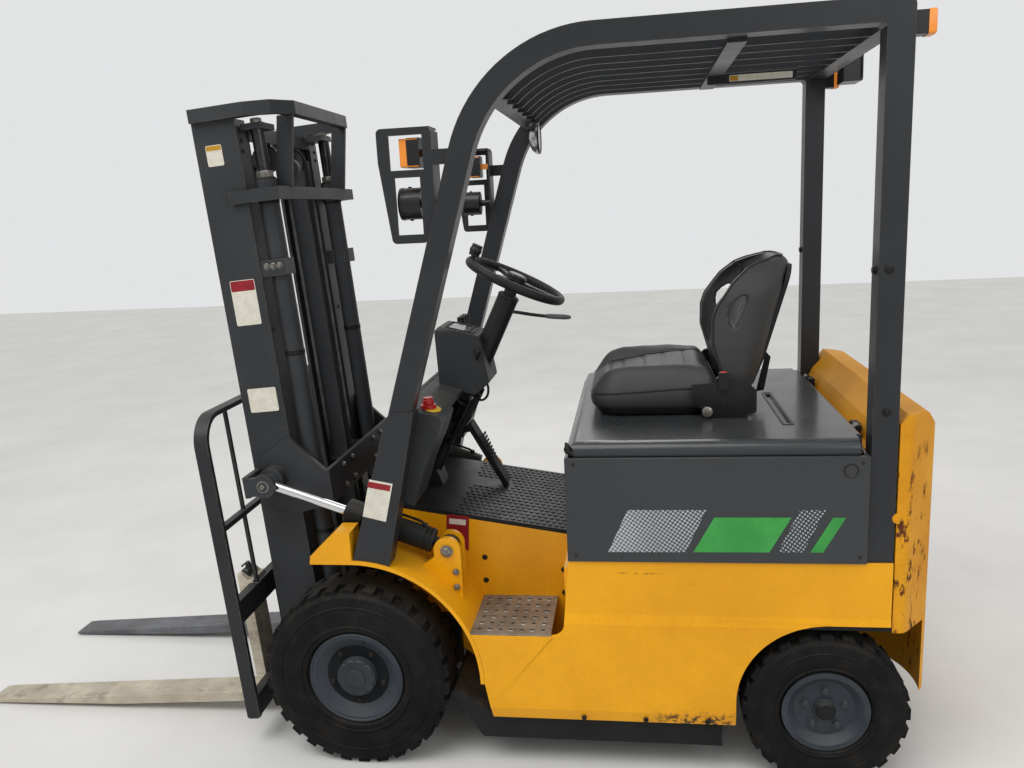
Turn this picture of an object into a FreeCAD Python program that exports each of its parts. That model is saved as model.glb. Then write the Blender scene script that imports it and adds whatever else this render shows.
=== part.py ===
import FreeCAD, Part
import math
import os
import re
import Sketcher

# Battery forklift truck with a two stage mast. The drawing frame has its origin on the ground under the
# front axle: X to the truck's left, Y to the rear, Z up, millimetres. Every sub-part is moved along Y
# at the end, so that the whole truck is centred over the origin.

SIZES = [
    # alias, value, meaning
    ("wheelbase", 1404, "front axle to rear axle"),
    ("front_r", 295, "front tyre radius"),
    ("front_x", 465, "front wheel centre from the middle"),
    ("front_tread", 76, "front tread half width"),
    ("front_wide", 90, "front tyre half width at the bulge"),
    ("front_seat", 138, "front rim seat radius"),
    ("front_bead", 68, "front bead half width"),
    ("front_flange", 12, "front rim flange height"),
    ("front_dish", 95, "front dish foot radius"),
    ("front_hub", 62, "front hub cap radius"),
    ("front_nose", 29, "front hub nose radius"),
    ("front_stub", 45, "front hub bore radius"),
    ("front_lug", 13, "front lug depth"),
    ("front_band", 30, "front unbroken centre band, half width"),
    ("front_lugs", 30, "front lugs on one shoulder"),
    ("front_lug_long", 34, "front lug length round the tyre"),
    ("rear_r", 233, "rear tyre radius"),
    ("rear_x", 485, "rear wheel centre from the middle"),
    ("rear_tread", 56, "rear tread half width"),
    ("rear_wide", 68, "rear tyre half width at the bulge"),
    ("rear_seat", 112, "rear rim seat radius"),
    ("rear_bead", 48, "rear bead half width"),
    ("rear_flange", 12, "rear rim flange height"),
    ("rear_dish", 86, "rear dish foot radius"),
    ("rear_hub", 31, "rear hub cap radius"),
    ("rear_nose", 20, "rear hub nose radius"),
    ("rear_stub", 24, "rear hub bore radius"),
    ("rear_lug", 11, "rear lug depth"),
    ("rear_band", 20, "rear unbroken centre band, half width"),
    ("rear_lugs", 24, "rear lugs on one shoulder"),
    ("rear_lug_long", 34, "rear lug length round the tyre"),
    ("rim_wall", 8, "rim barrel wall"),
    ("disc_wall", 14, "rim disc wall"),
    ("gap", 0.3, "running gap at pins, rods and pads"),
    ("body_half", 546, "half width over the side panels"),
    ("side_sheet", 14, "side panel thickness"),
    ("wall_out", 285, "outer face of the foot well walls"),
    ("wall_sheet", 12, "foot well wall thickness"),
    ("wall_front", 112, "front edge of the foot well walls"),
    ("sill_bottom", 175, "lower edge of the side sills"),
    ("sill_top", 692, "upper edge of the side sills"),
    ("sill_rear", 1573, "rear end of the side sills"),
    ("sill_step", 6, "set-back of the side sills above their crease"),
    ("crease_z", 525, "height of the crease along the side sills"),
    ("panel_front", 675, "front face of the battery box"),
    ("panel_rear", 1502, "rear end of the battery box"),
    ("panel_top", 1002, "upper edge of the battery box"),
    ("panel_sheet", 12, "battery box wall"),
    ("arch_y", 395, "front arch rear face"),
    ("arch_top", 674, "front arch underside"),
    ("arch_foot", 290, "front arch lower end"),
    ("arch_front", -110, "front end of the fender"),
    ("fender_sheet", 12, "fender plate thickness"),
    ("nose_in", 455, "inner face of the fender nose box"),
    ("nose_top", 774, "top of the fender nose box"),
    ("nose_rear", 22, "rear face of the fender nose box"),
    ("rear_arch_front", 1152, "rear arch front edge"),
    ("rear_arch_top", 502, "rear arch upper edge"),
    ("rear_arch_r", 250, "rear arch radius"),
    ("step_z", 458, "top of the step"),
    ("step_sheet", 5, "step plate thickness"),
    ("step_rear", 652, "rear end of the step"),
    ("floor_front", 96, "front edge of the floor"),
    ("floor_rear", 656, "point where the floor height is held"),
    ("floor_z", 683, "height of the floor mat at that point"),
    ("floor_run", 0.162, "rise of the floor per length"),
    ("floor_sheet", 6, "floor plate thickness"),
    ("mat_sheet", 6, "floor mat thickness"),
    ("tray_half", 520, "battery tray half width"),
    ("tray_front", 389, "battery tray front face"),
    ("tray_rear", 1114, "battery tray rear face"),
    ("tray_bottom", 95, "battery tray underside"),
    ("deck_top", 500, "top of the rear deck"),
    ("deck_sheet", 16, "rear deck plate thickness"),
    ("battery_half", 400, "battery half width"),
    ("battery_front", 700, "battery front face"),
    ("battery_rear", 1090, "battery rear face"),
    ("battery_top", 950, "battery top"),
    ("hood_half", 530, "hood half width"),
    ("hood_front", 682, "hood front face"),
    ("hood_rear", 1498, "hood rear face"),
    ("hood_top", 1042, "hood top"),
    ("hood_sheet", 12, "hood wall"),
    ("hood_round", 34, "hood edge rounding"),
    ("hinge_y", 1510, "hood hinge pin along the truck"),
    ("hinge_z", 1034, "hood hinge pin height"),
    ("eye_play", 2.6, "play of the tilt rod's eye on the mast pin"),
    ("hinge_r", 6, "hood hinge pin radius"),
    ("hinge_x", 320, "hood hinge bracket from the middle"),
    ("slot_y", 1320, "hood slot along the truck"),
    ("slot_wide", 16, "hood slot width"),
    ("cw_half", 532, "counterweight half width"),
    ("cw_rear", 1735, "counterweight rear face"),
    ("cw_top", 1110, "counterweight top"),
    ("cw_bottom", 254, "counterweight underside"),
    ("cw_lower", 1578, "counterweight front face below the deck and beside the posts"),
    ("sweep_r", 285, "space for the steered wheel round its kingpin"),
    ("tow_y", 1700, "towing bore along the truck"),
    ("tow_r", 16, "towing bore radius"),
    ("tow_high", 680, "top of the upper towing lip"),
    ("tow_slot", 60, "height of the towing slot"),
    ("post_in", 470, "inner face of the guard sides"),
    ("post_out", 532, "outer face of the guard sides"),
    ("post_front", 1506, "rear post front face"),
    ("post_rear", 1573, "rear post rear face"),
    ("guard_top", 2160, "top of the overhead guard"),
    ("guard_deep", 60, "guard rail depth"),
    ("guard_bend", 412, "outer radius of the guard bend"),
    ("pillar_y", 30, "pillar front edge at its foot"),
    ("pillar_z", 685, "height of the pillar foot"),
    ("pillar_run", 0.3087, "run of the pillar per height"),
    ("pillar_deep", 68, "pillar depth along the truck"),
    ("sleeve_out", 540, "outer face of the pillar sleeve"),
    ("sleeve_top", 1140, "top of the pillar sleeve"),
    ("bar_wide", 8, "roof bar thickness"),
    ("bar_deep", 50, "roof bar depth"),
    ("bar_pitch", 117, "roof bar spacing"),
    ("front_bar_y", 508, "front guard cross bar along the truck"),
    ("front_bar_z", 2016, "front guard cross bar height"),
    ("rear_bar_z", 2098, "rear guard channel underside"),
    ("mid_bar_y", 1157, "middle roof bar along the truck"),
    ("lamp_plate_x", 512, "inner face of the lamp bracket plate"),
    ("lamp_plate", 6, "lamp bracket plate thickness"),
    ("lamp_front", 194, "lamp bracket front edge"),
    ("lamp_rear", 347, "lamp bracket rear edge"),
    ("lamp_low", 1620, "lamp bracket lower edge"),
    ("lamp_high", 1930, "lamp bracket upper edge"),
    ("lamp_x", 462, "lamp centres from the middle"),
    ("turn_z", 1864, "turn lamp centre height"),
    ("head_z", 1728, "head lamp centre height"),
    ("head_r", 44, "head lamp radius"),
    ("mirror_x", 390, "mirror centre from the middle"),
    ("mirror_y", 545, "mirror centre along the truck"),
    ("mirror_z", 1950, "mirror centre height"),
    ("mirror_r", 56, "mirror radius"),
    ("cowl_half", 300, "cowl front plate half width"),
    ("cowl_sheet", 12, "cowl wall"),
    ("cowl_foot_y", 60, "cowl front plate foot"),
    ("cowl_foot_z", 690, "height of that foot"),
    ("cowl_top", 1140, "top of the cowl front plate"),
    ("cowl_run", 0.2556, "run of the cowl front plate per height"),
    ("cowl_rear_top", 1105, "cowl top at its rear edge"),
    ("pod_half", 85, "half width of the display case"),
    ("wheel_y", 486, "steering wheel centre along the truck"),
    ("wheel_z", 1464, "steering wheel centre height"),
    ("wheel_lean", 26, "lean of the steering column, degrees"),
    ("wheel_r", 165, "steering wheel rim centre line radius"),
    ("wheel_grip", 15, "steering wheel rim thickness radius"),
    ("column_r", 22, "steering column radius"),
    ("axle_r", 60, "drive axle tube radius"),
    ("drum_r", 88, "brake drum radius"),
    ("gear_left", -60, "left face of the gear case"),
    ("gear_right", -130, "right face of the gear case"),
    ("motor_r", 95, "drive motor radius"),
    ("motor_y", 165, "drive motor axis along the truck"),
    ("motor_z", 330, "drive motor axis height"),
    ("motor_end", 230, "left end of the drive motor"),
    ("king_x", 400, "kingpin from the middle"),
    ("king_r", 16, "kingpin radius"),
    ("trunnion_r", 24, "steer axle trunnion radius"),
    ("axle_deep", 36, "steer axle half depth"),
    ("axle_high", 45, "steer axle half height"),
    ("axle_sheet", 10, "steer axle plate"),
    ("ram_r", 38, "steering cylinder radius"),
    ("ram_half", 150, "steering cylinder half length"),
    ("ram_rod", 17, "steering cylinder rod radius"),
    ("ram_reach", 262, "steering cylinder rod half length"),
    ("mast_lean", 3.98, "forward lean of the mast as parked, degrees"),
    ("mast_front", 316, "outer column front face ahead of the axle"),
    ("mast_back", 176, "outer column rear face ahead of the axle"),
    ("mast_in", 260, "outer column flange tips"),
    ("mast_out", 330, "outer column outer face"),
    ("mast_web", 12, "outer column web"),
    ("mast_flange", 14, "outer column flange"),
    ("mast_low", 120, "outer column lower end"),
    ("mast_high", 2024, "outer column upper end"),
    ("bow_high", 40, "top bow height"),
    ("pad_gap", 5, "clearance between the mast stages"),
    ("stage_web", 10, "inner column web"),
    ("stage_in", 205, "inner column inner flange tips"),
    ("stage_low", 150, "inner column lower end"),
    ("stage_high", 2012, "inner column upper end"),
    ("tie_z", 1774, "upper tie underside"),
    ("tie_high", 38, "upper tie height"),
    ("cross_z", 800, "rear cross plate lower edge"),
    ("cross_high", 115, "rear cross plate height"),
    ("cross_y", 70, "rear cross plate rear face ahead of the axle"),
    ("lift_x", 285, "lift cylinder from the middle"),
    ("lift_y", 128, "lift cylinder ahead of the axle"),
    ("lift_r", 30, "lift cylinder radius"),
    ("lift_rod", 20, "lift rod radius"),
    ("lift_low", 150, "lift cylinder lower end"),
    ("lift_high", 1830, "lift cylinder upper end"),
    ("clamp_z", 1546, "lift cylinder clamp underside"),
    ("clamp_high", 50, "lift cylinder clamp height"),
    ("chain_x", 110, "lift chain from the middle"),
    ("sheave_y", 190, "chain sheave ahead of the axle"),
    ("sheave_z", 1914, "chain sheave height"),
    ("sheave_r", 41, "chain sheave radius"),
    ("chain_wide", 24, "lift chain width"),
    ("chain_deep", 7, "lift chain thickness"),
    ("strand_low", 430, "lower end of the moving rear strand"),
    ("carriage_half", 469, "carriage bar half length"),
    ("carriage_front", 424, "carriage bar front face ahead of the axle"),
    ("carriage_bar", 32, "carriage bar thickness"),
    ("upper_low", 450, "upper carriage bar lower edge"),
    ("upper_high", 525, "upper carriage bar upper edge"),
    ("lower_low", 118, "lower carriage bar lower edge"),
    ("lower_high", 190, "lower carriage bar upper edge"),
    ("cheek_in", 150, "roller cheek inner face"),
    ("cheek_out", 190, "roller cheek outer face"),
    ("fork_x", 257, "fork from the middle"),
    ("fork_wide", 100, "fork width"),
    ("fork_sheet", 38, "fork thickness at the heel"),
    ("fork_tip", 12, "fork thickness at the tip"),
    ("fork_long", 1070, "fork length ahead of its face"),
    ("fork_top", 560, "top of the fork shank"),
    ("blade_z", 122, "top of the fork blade"),
    ("rest_out", 486, "backrest outer half width"),
    ("rest_post", 16, "backrest post thickness"),
    ("rest_low", 132, "backrest post lower end"),
    ("rest_high", 1150, "backrest top"),
    ("rest_round", 100, "backrest corner radius"),
    ("rest_rail", 780, "backrest middle rail height"),
    ("tilt_x", 405, "tilt cylinder from the middle"),
    ("tilt_ear", 15, "tilt cylinder ear thickness"),
    ("tilt_eye", 40, "tilt cylinder eye width"),
    ("tilt_pin", 15, "tilt cylinder pin radius"),
    ("lug_y", 293, "tilt cylinder lug pin along the truck"),
    ("lug_z", 678, "tilt cylinder lug pin height"),
    ("lug_r", 42, "tilt cylinder lug radius"),
    ("clevis_y", 242, "mast clevis pin ahead of the axle"),
    ("clevis_z", 904, "mast clevis pin height"),
    ("tilt_r", 37, "tilt cylinder barrel radius"),
    ("tilt_barrel", 335, "tilt cylinder barrel, pin to gland"),
    ("tilt_rod", 15, "tilt rod radius"),
    ("tilt_held", 120, "tilt rod length inside the barrel"),
    ("seat_half", 245, "seat cushion half width"),
    ("seat_front", 735, "seat cushion front"),
    ("seat_back_y", 1135, "seat cushion rear"),
    ("seat_low", 1062, "seat cushion underside"),
    ("seat_high", 1212, "seat cushion top"),
    ("back_half", 235, "seat back half width"),
    ("back_dish", 150, "seat back hollow half width"),
    ("back_high", 1527, "seat back top"),
]

# Places that follow from the sizes above.
DERIVED = {
    "wall_in": "wall_out - wall_sheet",
    "side_in": "body_half - side_sheet",
    "box_half": "body_half - side_sheet",
    "arch_r": "arch_top - arch_foot - 3",
    "hood_low": "panel_top + gap",
    "floor_end": "panel_front - 1",
    "pin_y": "-clevis_y*cos(mast_lean) - (clevis_z - front_r)*sin(mast_lean)",
    "pin_z": "front_r - clevis_y*sin(mast_lean) + (clevis_z - front_r)*cos(mast_lean)",
    "tilt_run": "lug_y - pin_y",
    "tilt_rise": "pin_z - lug_z",
    "tilt_long": "sqrt(tilt_run^2 + tilt_rise^2)",
    "tilt_up": "atan(tilt_rise/tilt_run)",
    "fork_face": "carriage_front + fork_sheet",
    "front_end": "-(fork_face + fork_long)*cos(mast_lean) - (blade_z - front_r)*sin(mast_lean)",
    "shift_y": "-(front_end + cw_rear)/2",
    "stage_out": "mast_out - mast_web - 1.4*pad_gap",
    "stage_front": "mast_front - mast_flange - pad_gap",
    "stage_back": "mast_back + mast_flange + pad_gap",
    "tie_back": "stage_back - 23",
    "slot_mid": "(stage_front + stage_back)/2",
}

VALUES = {alias: value for alias, value, _ in SIZES}
WORD = re.compile(r"[A-Za-z_][A-Za-z_0-9]*")
V = FreeCAD.Vector
X_AXIS = V(1, 0, 0)

doc = FreeCAD.newDocument("forklift")
sheet = doc.addObject("Spreadsheet::Sheet", "Sizes")
for line, (alias, value, meaning) in enumerate(SIZES, 1):
    sheet.set(f"A{line}", meaning)
    sheet.set(f"B{line}", str(value))
    sheet.setAlias(f"B{line}", alias)
doc.recompute()


def ex(text):
    """The expression of a formula, with each name looked up in the sheet."""

    def one(match):
        word = match.group(0)
        if word in DERIVED:
            return "(" + ex(DERIVED[word]) + ")"
        return "Sizes." + word if word in VALUES else word

    return WORD.sub(one, str(text))


def val(text):
    """The present value of a formula."""
    found = sheet.evalExpression(ex(text))
    return float(getattr(found, "Value", found))


def bind(thing, **formulas):
    """Bind properties; __ in a name stands for a dot."""
    for key, text in formulas.items():
        thing.setExpression(key.replace("__", "."), ex(text))
    return thing


def fresh(kind, name):
    thing = doc.addObject(kind, name)
    thing.Label = name
    return thing


def block(name, x, y, z):
    """A box between two formulas along each axis."""
    box = fresh("Part::Box", name)
    bind(box, Length=f"({x[1]}) - ({x[0]})", Width=f"({y[1]}) - ({y[0]})", Height=f"({z[1]}) - ({z[0]})")
    return bind(box, Placement__Base__x=x[0], Placement__Base__y=y[0], Placement__Base__z=z[0])


TURNS = {
    "X": FreeCAD.Rotation(V(0, 1, 0), 90),
    "Y": FreeCAD.Rotation(V(1, 0, 0), -90),
    "Z": FreeCAD.Rotation(V(0, 0, 1), 0),
}


def rod(name, axis, ends, centre, radius):
    """A cylinder along an axis between two formulas; centre gives the other two coordinates in order."""
    bar = fresh("Part::Cylinder", name)
    bar.Placement = FreeCAD.Placement(V(0, 0, 0), TURNS[axis])
    bind(bar, Radius=radius, Height=f"({ends[1]}) - ({ends[0]})")
    places = dict(zip([letter for letter in "xyz" if letter != axis.lower()], centre))
    places[axis.lower()] = ends[0]
    for letter, text in places.items():
        bar.setExpression(f"Placement.Base.{letter}", ex(text))
    return bar


def origin(body, role):
    """One of a body's own origin planes or axes."""
    return [item for item in body.Origin.OriginFeatures if item.Role == role][0]


def corner_arc(before, corner, after, radius):
    """Ends and middle of the arc that rounds a corner."""
    back = (V(*before, 0) - V(*corner, 0)).normalize()
    ahead = (V(*after, 0) - V(*corner, 0)).normalize()
    half = back.getAngle(ahead) / 2
    run = radius / math.tan(half)
    middle = (back + ahead).normalize()
    centre = V(*corner, 0) + middle * (radius / math.sin(half))
    return V(*corner, 0) + back * run, centre - middle * radius, V(*corner, 0) + ahead * run


def draw(sketch, corners):
    """A closed outline of lines; a third value rounds that corner. Every corner is held by formulas."""
    spots = [(val(c[0]), val(c[1])) for c in corners]
    count = len(spots)
    arcs = []
    for i, corner in enumerate(corners):
        arcs.append(None)
        if len(corner) > 2:
            arcs[i] = corner_arc(spots[i - 1], spots[i], spots[(i + 1) % count], val(corner[2]))
    lines = []
    for i in range(count):
        begin = arcs[i][2] if arcs[i] else V(*spots[i], 0)
        nxt = (i + 1) % count
        end = arcs[nxt][0] if arcs[nxt] else V(*spots[nxt], 0)
        lines.append(sketch.addGeometry(Part.LineSegment(begin, end), False))
    rules = []
    formulas = {}
    for i, corner in enumerate(corners):
        before, after = lines[i - 1], lines[i]
        if arcs[i]:
            begin, middle, end = arcs[i]
            forward = (middle - begin).cross(end - middle).z > 0
            arc = sketch.addGeometry(Part.Arc(*(arcs[i] if forward else arcs[i][::-1])), False)
            first, last = (1, 2) if forward else (2, 1)
            held = sketch.addGeometry(Part.Point(V(*spots[i], 0)), True)
            rules.append(Sketcher.Constraint("PointOnObject", held, 1, before))
            rules.append(Sketcher.Constraint("PointOnObject", held, 1, after))
            rules.append(Sketcher.Constraint("Tangent", before, 2, arc, first))
            rules.append(Sketcher.Constraint("Tangent", arc, last, after, 1))
            formulas[len(rules)] = corner[2]
            rules.append(Sketcher.Constraint("Radius", arc, val(corner[2])))
        else:
            held = after
            rules.append(Sketcher.Constraint("Coincident", before, 2, after, 1))
        for kind, place, text in (("DistanceX", spots[i][0], corner[0]), ("DistanceY", spots[i][1], corner[1])):
            formulas[len(rules)] = text
            rules.append(Sketcher.Constraint(kind, -1, 1, held, 1, place))
    sketch.addConstraint(rules)
    for number, text in formulas.items():
        sketch.setExpression(f"Constraints[{number}]", ex(text))


def outline_on(body, name, role, height, corners):
    """A sketch on one of the body's origin planes, lifted by a formula."""
    sketch = body.newObject("Sketcher::SketchObject", name)
    sketch.AttachmentSupport = [(origin(body, role), "")]
    sketch.MapMode = "FlatFace"
    bind(sketch, AttachmentOffset__Base__z=height)
    draw(sketch, corners)
    return sketch


def plate(name, plane, span, corners):
    """An outline in a plane, padded between two formulas along the plane's axis."""
    body = fresh("PartDesign::Body", name)
    low, high = span
    height = f"-({high})" if plane == "XZ" else low
    sketch = outline_on(body, name + "_outline", plane + "_Plane", height, corners)
    pad = body.newObject("PartDesign::Pad", name + "_pad")
    pad.Profile = sketch
    bind(pad, Length=f"({high}) - ({low})")
    return body


def turned(name, corners):
    """A profile of (along X, radius) corners turned about the X axis."""
    body = fresh("PartDesign::Body", name)
    sketch = outline_on(body, name + "_profile", "XY_Plane", "0", corners)
    turn = body.newObject("PartDesign::Revolution", name + "_turn")
    turn.Profile = sketch
    turn.ReferenceAxis = (sketch, ["H_Axis"])
    turn.Angle = 360
    return body


def cut(name, base, *tools):
    tool = tools[0] if len(tools) == 1 else group(name + "_tools", *tools)
    made = fresh("Part::Cut", name)
    made.Base, made.Tool = base, tool
    return made


def fuse(name, *pieces):
    made = fresh("Part::MultiFuse", name)
    made.Shapes = list(pieces)
    made.Refine = True
    return made


def common(name, *pieces):
    made = fresh("Part::MultiCommon", name)
    made.Shapes = list(pieces)
    return made


def group(name, *pieces):
    made = fresh("Part::Compound", name)
    made.Links = list(pieces)
    return made


def mirror(name, source):
    made = fresh("Part::Mirroring", name)
    made.Source = source
    made.Normal = X_AXIS
    return made


def both(piece):
    """A left-hand piece and its right-hand image."""
    return [piece, mirror(piece.Label + "_right", piece)]


NODES = {}


def node(name, *pieces):
    """A finished sub-part on the chassis."""
    made = group(name, *pieces)
    bind(made, Placement__Base__y="shift_y")
    NODES[name] = made
    return made


def leaned(name, *pieces):
    """A sub-part of the mast, drawn upright and leaned about the front axle."""
    made = group(name, *pieces)
    made.Placement = FreeCAD.Placement(V(0, 0, 0), FreeCAD.Rotation(X_AXIS, 1))
    bind(
        made,
        Placement__Rotation__Angle="mast_lean",
        Placement__Base__y="shift_y + front_r*sin(mast_lean)",
        Placement__Base__z="front_r - front_r*cos(mast_lean)",
    )
    NODES[name] = made
    return made


def aimed(name, y, z, angle, *pieces, x="0"):
    """A sub-part drawn about its own origin, turned by minus the angle about X and set at a point."""
    made = group(name, *pieces)
    made.Placement = FreeCAD.Placement(V(0, 0, 0), FreeCAD.Rotation(V(-1, 0, 0), 1))
    bind(made, Placement__Rotation__Angle=angle)
    bind(made, Placement__Base__x=x, Placement__Base__y=f"shift_y + {y}", Placement__Base__z=z)
    NODES[name] = made
    return made


def floor_at(y, drop="0"):
    """Height of the floor mat's top at a place along the truck."""
    return f"floor_z + (floor_rear - ({y}))*floor_run - ({drop})"


def pillar_at(z, back="0"):
    """Place of the pillar's front face along the truck at a height."""
    return f"pillar_y + (({z}) - pillar_z)*pillar_run + ({back})"


def cowl_at(z, back="0"):
    """Place of the cowl's front face along the truck at a height."""
    return f"cowl_foot_y + (({z}) - cowl_foot_z)*cowl_run + ({back})"


# Wheels. The tyre profile runs from the bead over the side wall to the tread; the shoulders carry lugs.
def tyre(prefix):
    def p(text):
        return text.replace("w_", prefix + "_")

    half = [
        ("w_bead", "w_seat + gap"),
        ("w_bead", "w_seat + w_flange + 1"),
        ("w_wide - 6", "w_seat + w_flange + 10"),
        ("w_wide", "w_seat + (w_r - w_seat)*0.5"),
        ("w_wide - 5", "w_r - w_lug - 10"),
        ("w_tread", "w_r - w_lug"),
        ("w_band", "w_r - w_lug"),
        ("w_band", "w_r - 0.2"),
    ]
    right = [(p(a), p(b)) for a, b in half]
    left = [(f"-({a})", b) for a, b in reversed(right)]
    body = turned(prefix + "_tyre_form", right + left)
    # The two rows stand half a pitch apart, so the inner row's corners are what meets the ground.
    tip = p("(w_r/cos(180 deg/w_lugs - atan(w_lug_long/(2*w_r))))")
    flat = p(f"sqrt({tip}^2 - (w_lug_long/2)^2)")
    for side, low, high in (("outer", "w_band - 1", "w_tread - 1"), ("inner", "1 - w_tread", "1 - w_band")):
        corners = [
            (p("-w_lug_long/2"), "-" + flat),
            (p("w_lug_long/2"), "-" + flat),
            (p("w_lug_long/2 + 2"), p("-(w_r - w_lug - 4)")),
            (p("-w_lug_long/2 - 2"), p("-(w_r - w_lug - 4)")),
        ]
        sketch = outline_on(body, f"{prefix}_{side}_lug_outline", "YZ_Plane", p(low), corners)
        if side == "inner":
            sketch.AttachmentOffset = FreeCAD.Placement(V(0, 0, 0), FreeCAD.Rotation(V(0, 0, 1), 1))
            bind(sketch, AttachmentOffset__Rotation__Angle=p("180/w_lugs"), AttachmentOffset__Base__z=p(low))
        pad = body.newObject("PartDesign::Pad", f"{prefix}_{side}_lug")
        pad.Profile = sketch
        bind(pad, Length=f"({p(high)}) - ({p(low)})")
        doc.recompute()
        ring = body.newObject("PartDesign::PolarPattern", f"{prefix}_{side}_lugs")
        ring.Originals = [pad]
        ring.Axis = (origin(body, "X_Axis"), [""])
        ring.Angle = 360
        bind(ring, Occurrences=prefix + "_lugs")
        body.Tip = ring
        doc.recompute()
    return body


def rim(prefix, dish_in, cap_out, bore_end):
    """Rim, disc and hub cap. The lengths are measured from the wheel's middle, outward."""

    def p(text):
        return text.replace("w_", prefix + "_")

    corners = [
        ("-(w_bead + gap + 10)", "w_seat - rim_wall"),
        ("-(w_bead + gap + 10)", "w_seat + w_flange"),
        ("-(w_bead + gap)", "w_seat + w_flange"),
        ("-(w_bead + gap)", "w_seat"),
        ("w_bead + gap", "w_seat"),
        ("w_bead + gap", "w_seat + w_flange"),
        ("w_bead + gap + 10", "w_seat + w_flange"),
        ("w_bead + gap + 10", "w_seat - 4"),
        (dish_in, "w_dish"),
        (dish_in, "w_hub"),
        (cap_out, "w_hub"),
        (cap_out, "w_nose"),
        (f"{cap_out} + 7", "w_nose"),
        (f"{cap_out} + 7", "0"),
        (bore_end, "0"),
        (bore_end, "w_stub + gap"),
        (f"{dish_in} - disc_wall", "w_stub + gap"),
        (f"{dish_in} - disc_wall", "w_seat - rim_wall - 6"),
        (f"{dish_in} - disc_wall - 8", "w_seat - rim_wall"),
    ]
    return turned(prefix + "_rim_form", [(p(a), p(b)) for a, b in corners])


def wheel(prefix, y, dish_in, cap_out, bore_end):
    """Tyre and rim on both sides of the truck."""
    forms = {"tyre": tyre(prefix), "rim": rim(prefix, dish_in, cap_out, bore_end)}
    for kind, form in forms.items():
        placed = group(f"{kind}_{prefix}_left", form)
        bind(placed, Placement__Base__x=prefix + "_x", Placement__Base__z=prefix + "_r")
        bind(placed, Placement__Base__y=f"{y} + shift_y")
        NODES[placed.Label] = placed
        image = mirror(f"{kind}_{prefix}_right", placed)
        NODES[image.Label] = image


wheel("front", "0", "front_bead - 16", "front_bead + 6", "front_bead - 2")
wheel("rear", "wheelbase", "rear_bead - 12", "rear_bead + 2", "rear_bead - 6")

# Front fenders: one bent plate, a box at the nose and the ears of the tilt cylinder.
arch_corners = [
    ("arch_y", "arch_foot"),
    ("arch_y", "arch_top", "arch_r"),
    ("arch_front", "arch_top"),
    ("arch_front", "arch_top + fender_sheet"),
    ("arch_y + fender_sheet", "arch_top + fender_sheet", "arch_r + fender_sheet"),
    ("arch_y + fender_sheet", "arch_foot"),
]
fender_sheet_form = plate("fender_plate", "YZ", ("wall_out", "body_half"), arch_corners)
mast_room = block(
    "fender_mast_room",
    ("wall_out - 1", "mast_out + 6"),
    ("arch_front - 1", "-lift_y + lift_r + 93"),
    ("arch_top - 1", "arch_top + fender_sheet + 1"),
)
fender = cut("fender_cut", fender_sheet_form, mast_room)
nose = plate(
    "fender_nose",
    "YZ",
    ("nose_in", "body_half"),
    [
        ("arch_front + 2", "arch_top + 4"),
        ("arch_front + 2", "arch_top + 25"),
        ("nose_rear - 50", "nose_top"),
        ("nose_rear", "nose_top"),
        ("nose_rear", "arch_top + 4"),
    ],
)


def ear(name, low, high):
    corners = [
        ("lug_y + lug_r", "lug_z - 173"),
        ("lug_y + lug_r", "lug_z + lug_r", "lug_r - 1"),
        ("lug_y - lug_r", "lug_z + lug_r", "lug_r - 1"),
        ("lug_y - lug_r", "lug_z - 22"),
        ("lug_y - lug_r - 46", "lug_z - 53"),
        ("lug_y - 23", "lug_z - 97"),
    ]
    return plate(name, "YZ", (low, high), corners)


inner_ear = ear("fender_ear_inner", "tilt_x - tilt_eye/2 - 2 - tilt_ear", "tilt_x - tilt_eye/2 - 2")
outer_ear = ear("fender_ear_outer", "tilt_x + tilt_eye/2 + 2", "tilt_x + tilt_eye/2 + 2 + tilt_ear")
pin_span = ("tilt_x - tilt_eye/2 - tilt_ear - 6", "tilt_x + tilt_eye/2 + tilt_ear + 6")
lug_pin = rod("fender_pin", "X", pin_span, ("lug_y", "lug_z"), "tilt_pin")
fender_left = fuse("fender_left", fender, nose, inner_ear, outer_ear, lug_pin)
node("fenders", *both(fender_left))

# The solid that fills the arch, used to end what stands on the fender.
arch_fill = plate(
    "arch_fill",
    "YZ",
    ("wall_out - 5", "body_half + 5"),
    [
        ("arch_y + fender_sheet", "arch_foot"),
        ("arch_y + fender_sheet", "arch_top + fender_sheet", "arch_r + fender_sheet"),
        ("arch_front", "arch_top + fender_sheet"),
        ("arch_front", "arch_foot"),
    ],
)

# Side sills, from the front arch under the battery box to the rear wheel arch.
sill = plate(
    "sill_sheet",
    "YZ",
    ("side_in", "body_half"),
    [
        ("arch_y + 32", "sill_bottom"),
        ("arch_y + fender_sheet", "arch_foot"),
        ("arch_y - 80", "step_z - step_sheet"),
        ("step_rear", "step_z - step_sheet", "38"),
        ("panel_front", "sill_top"),
        ("sill_rear", "sill_top"),
        ("sill_rear", "rear_arch_top"),
        ("rear_arch_front", "rear_arch_top", "rear_arch_r"),
        ("rear_arch_front", "sill_bottom"),
    ],
)
sill_section = plate(
    "sill_section",
    "XZ",
    ("arch_y - 100", "sill_rear + 1"),
    [
        ("side_in - 1", "sill_bottom - 1"),
        ("body_half - sill_step - 4", "sill_bottom - 1"),
        ("body_half", "sill_bottom + 38"),
        ("body_half", "crease_z - 30"),
        ("body_half - sill_step", "crease_z"),
        ("body_half - sill_step", "sill_top + 1"),
        ("side_in - 1", "sill_top + 1"),
    ],
)
node("side_sills", *both(common("sill_left", cut("sill_open", sill, arch_fill), sill_section)))

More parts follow.
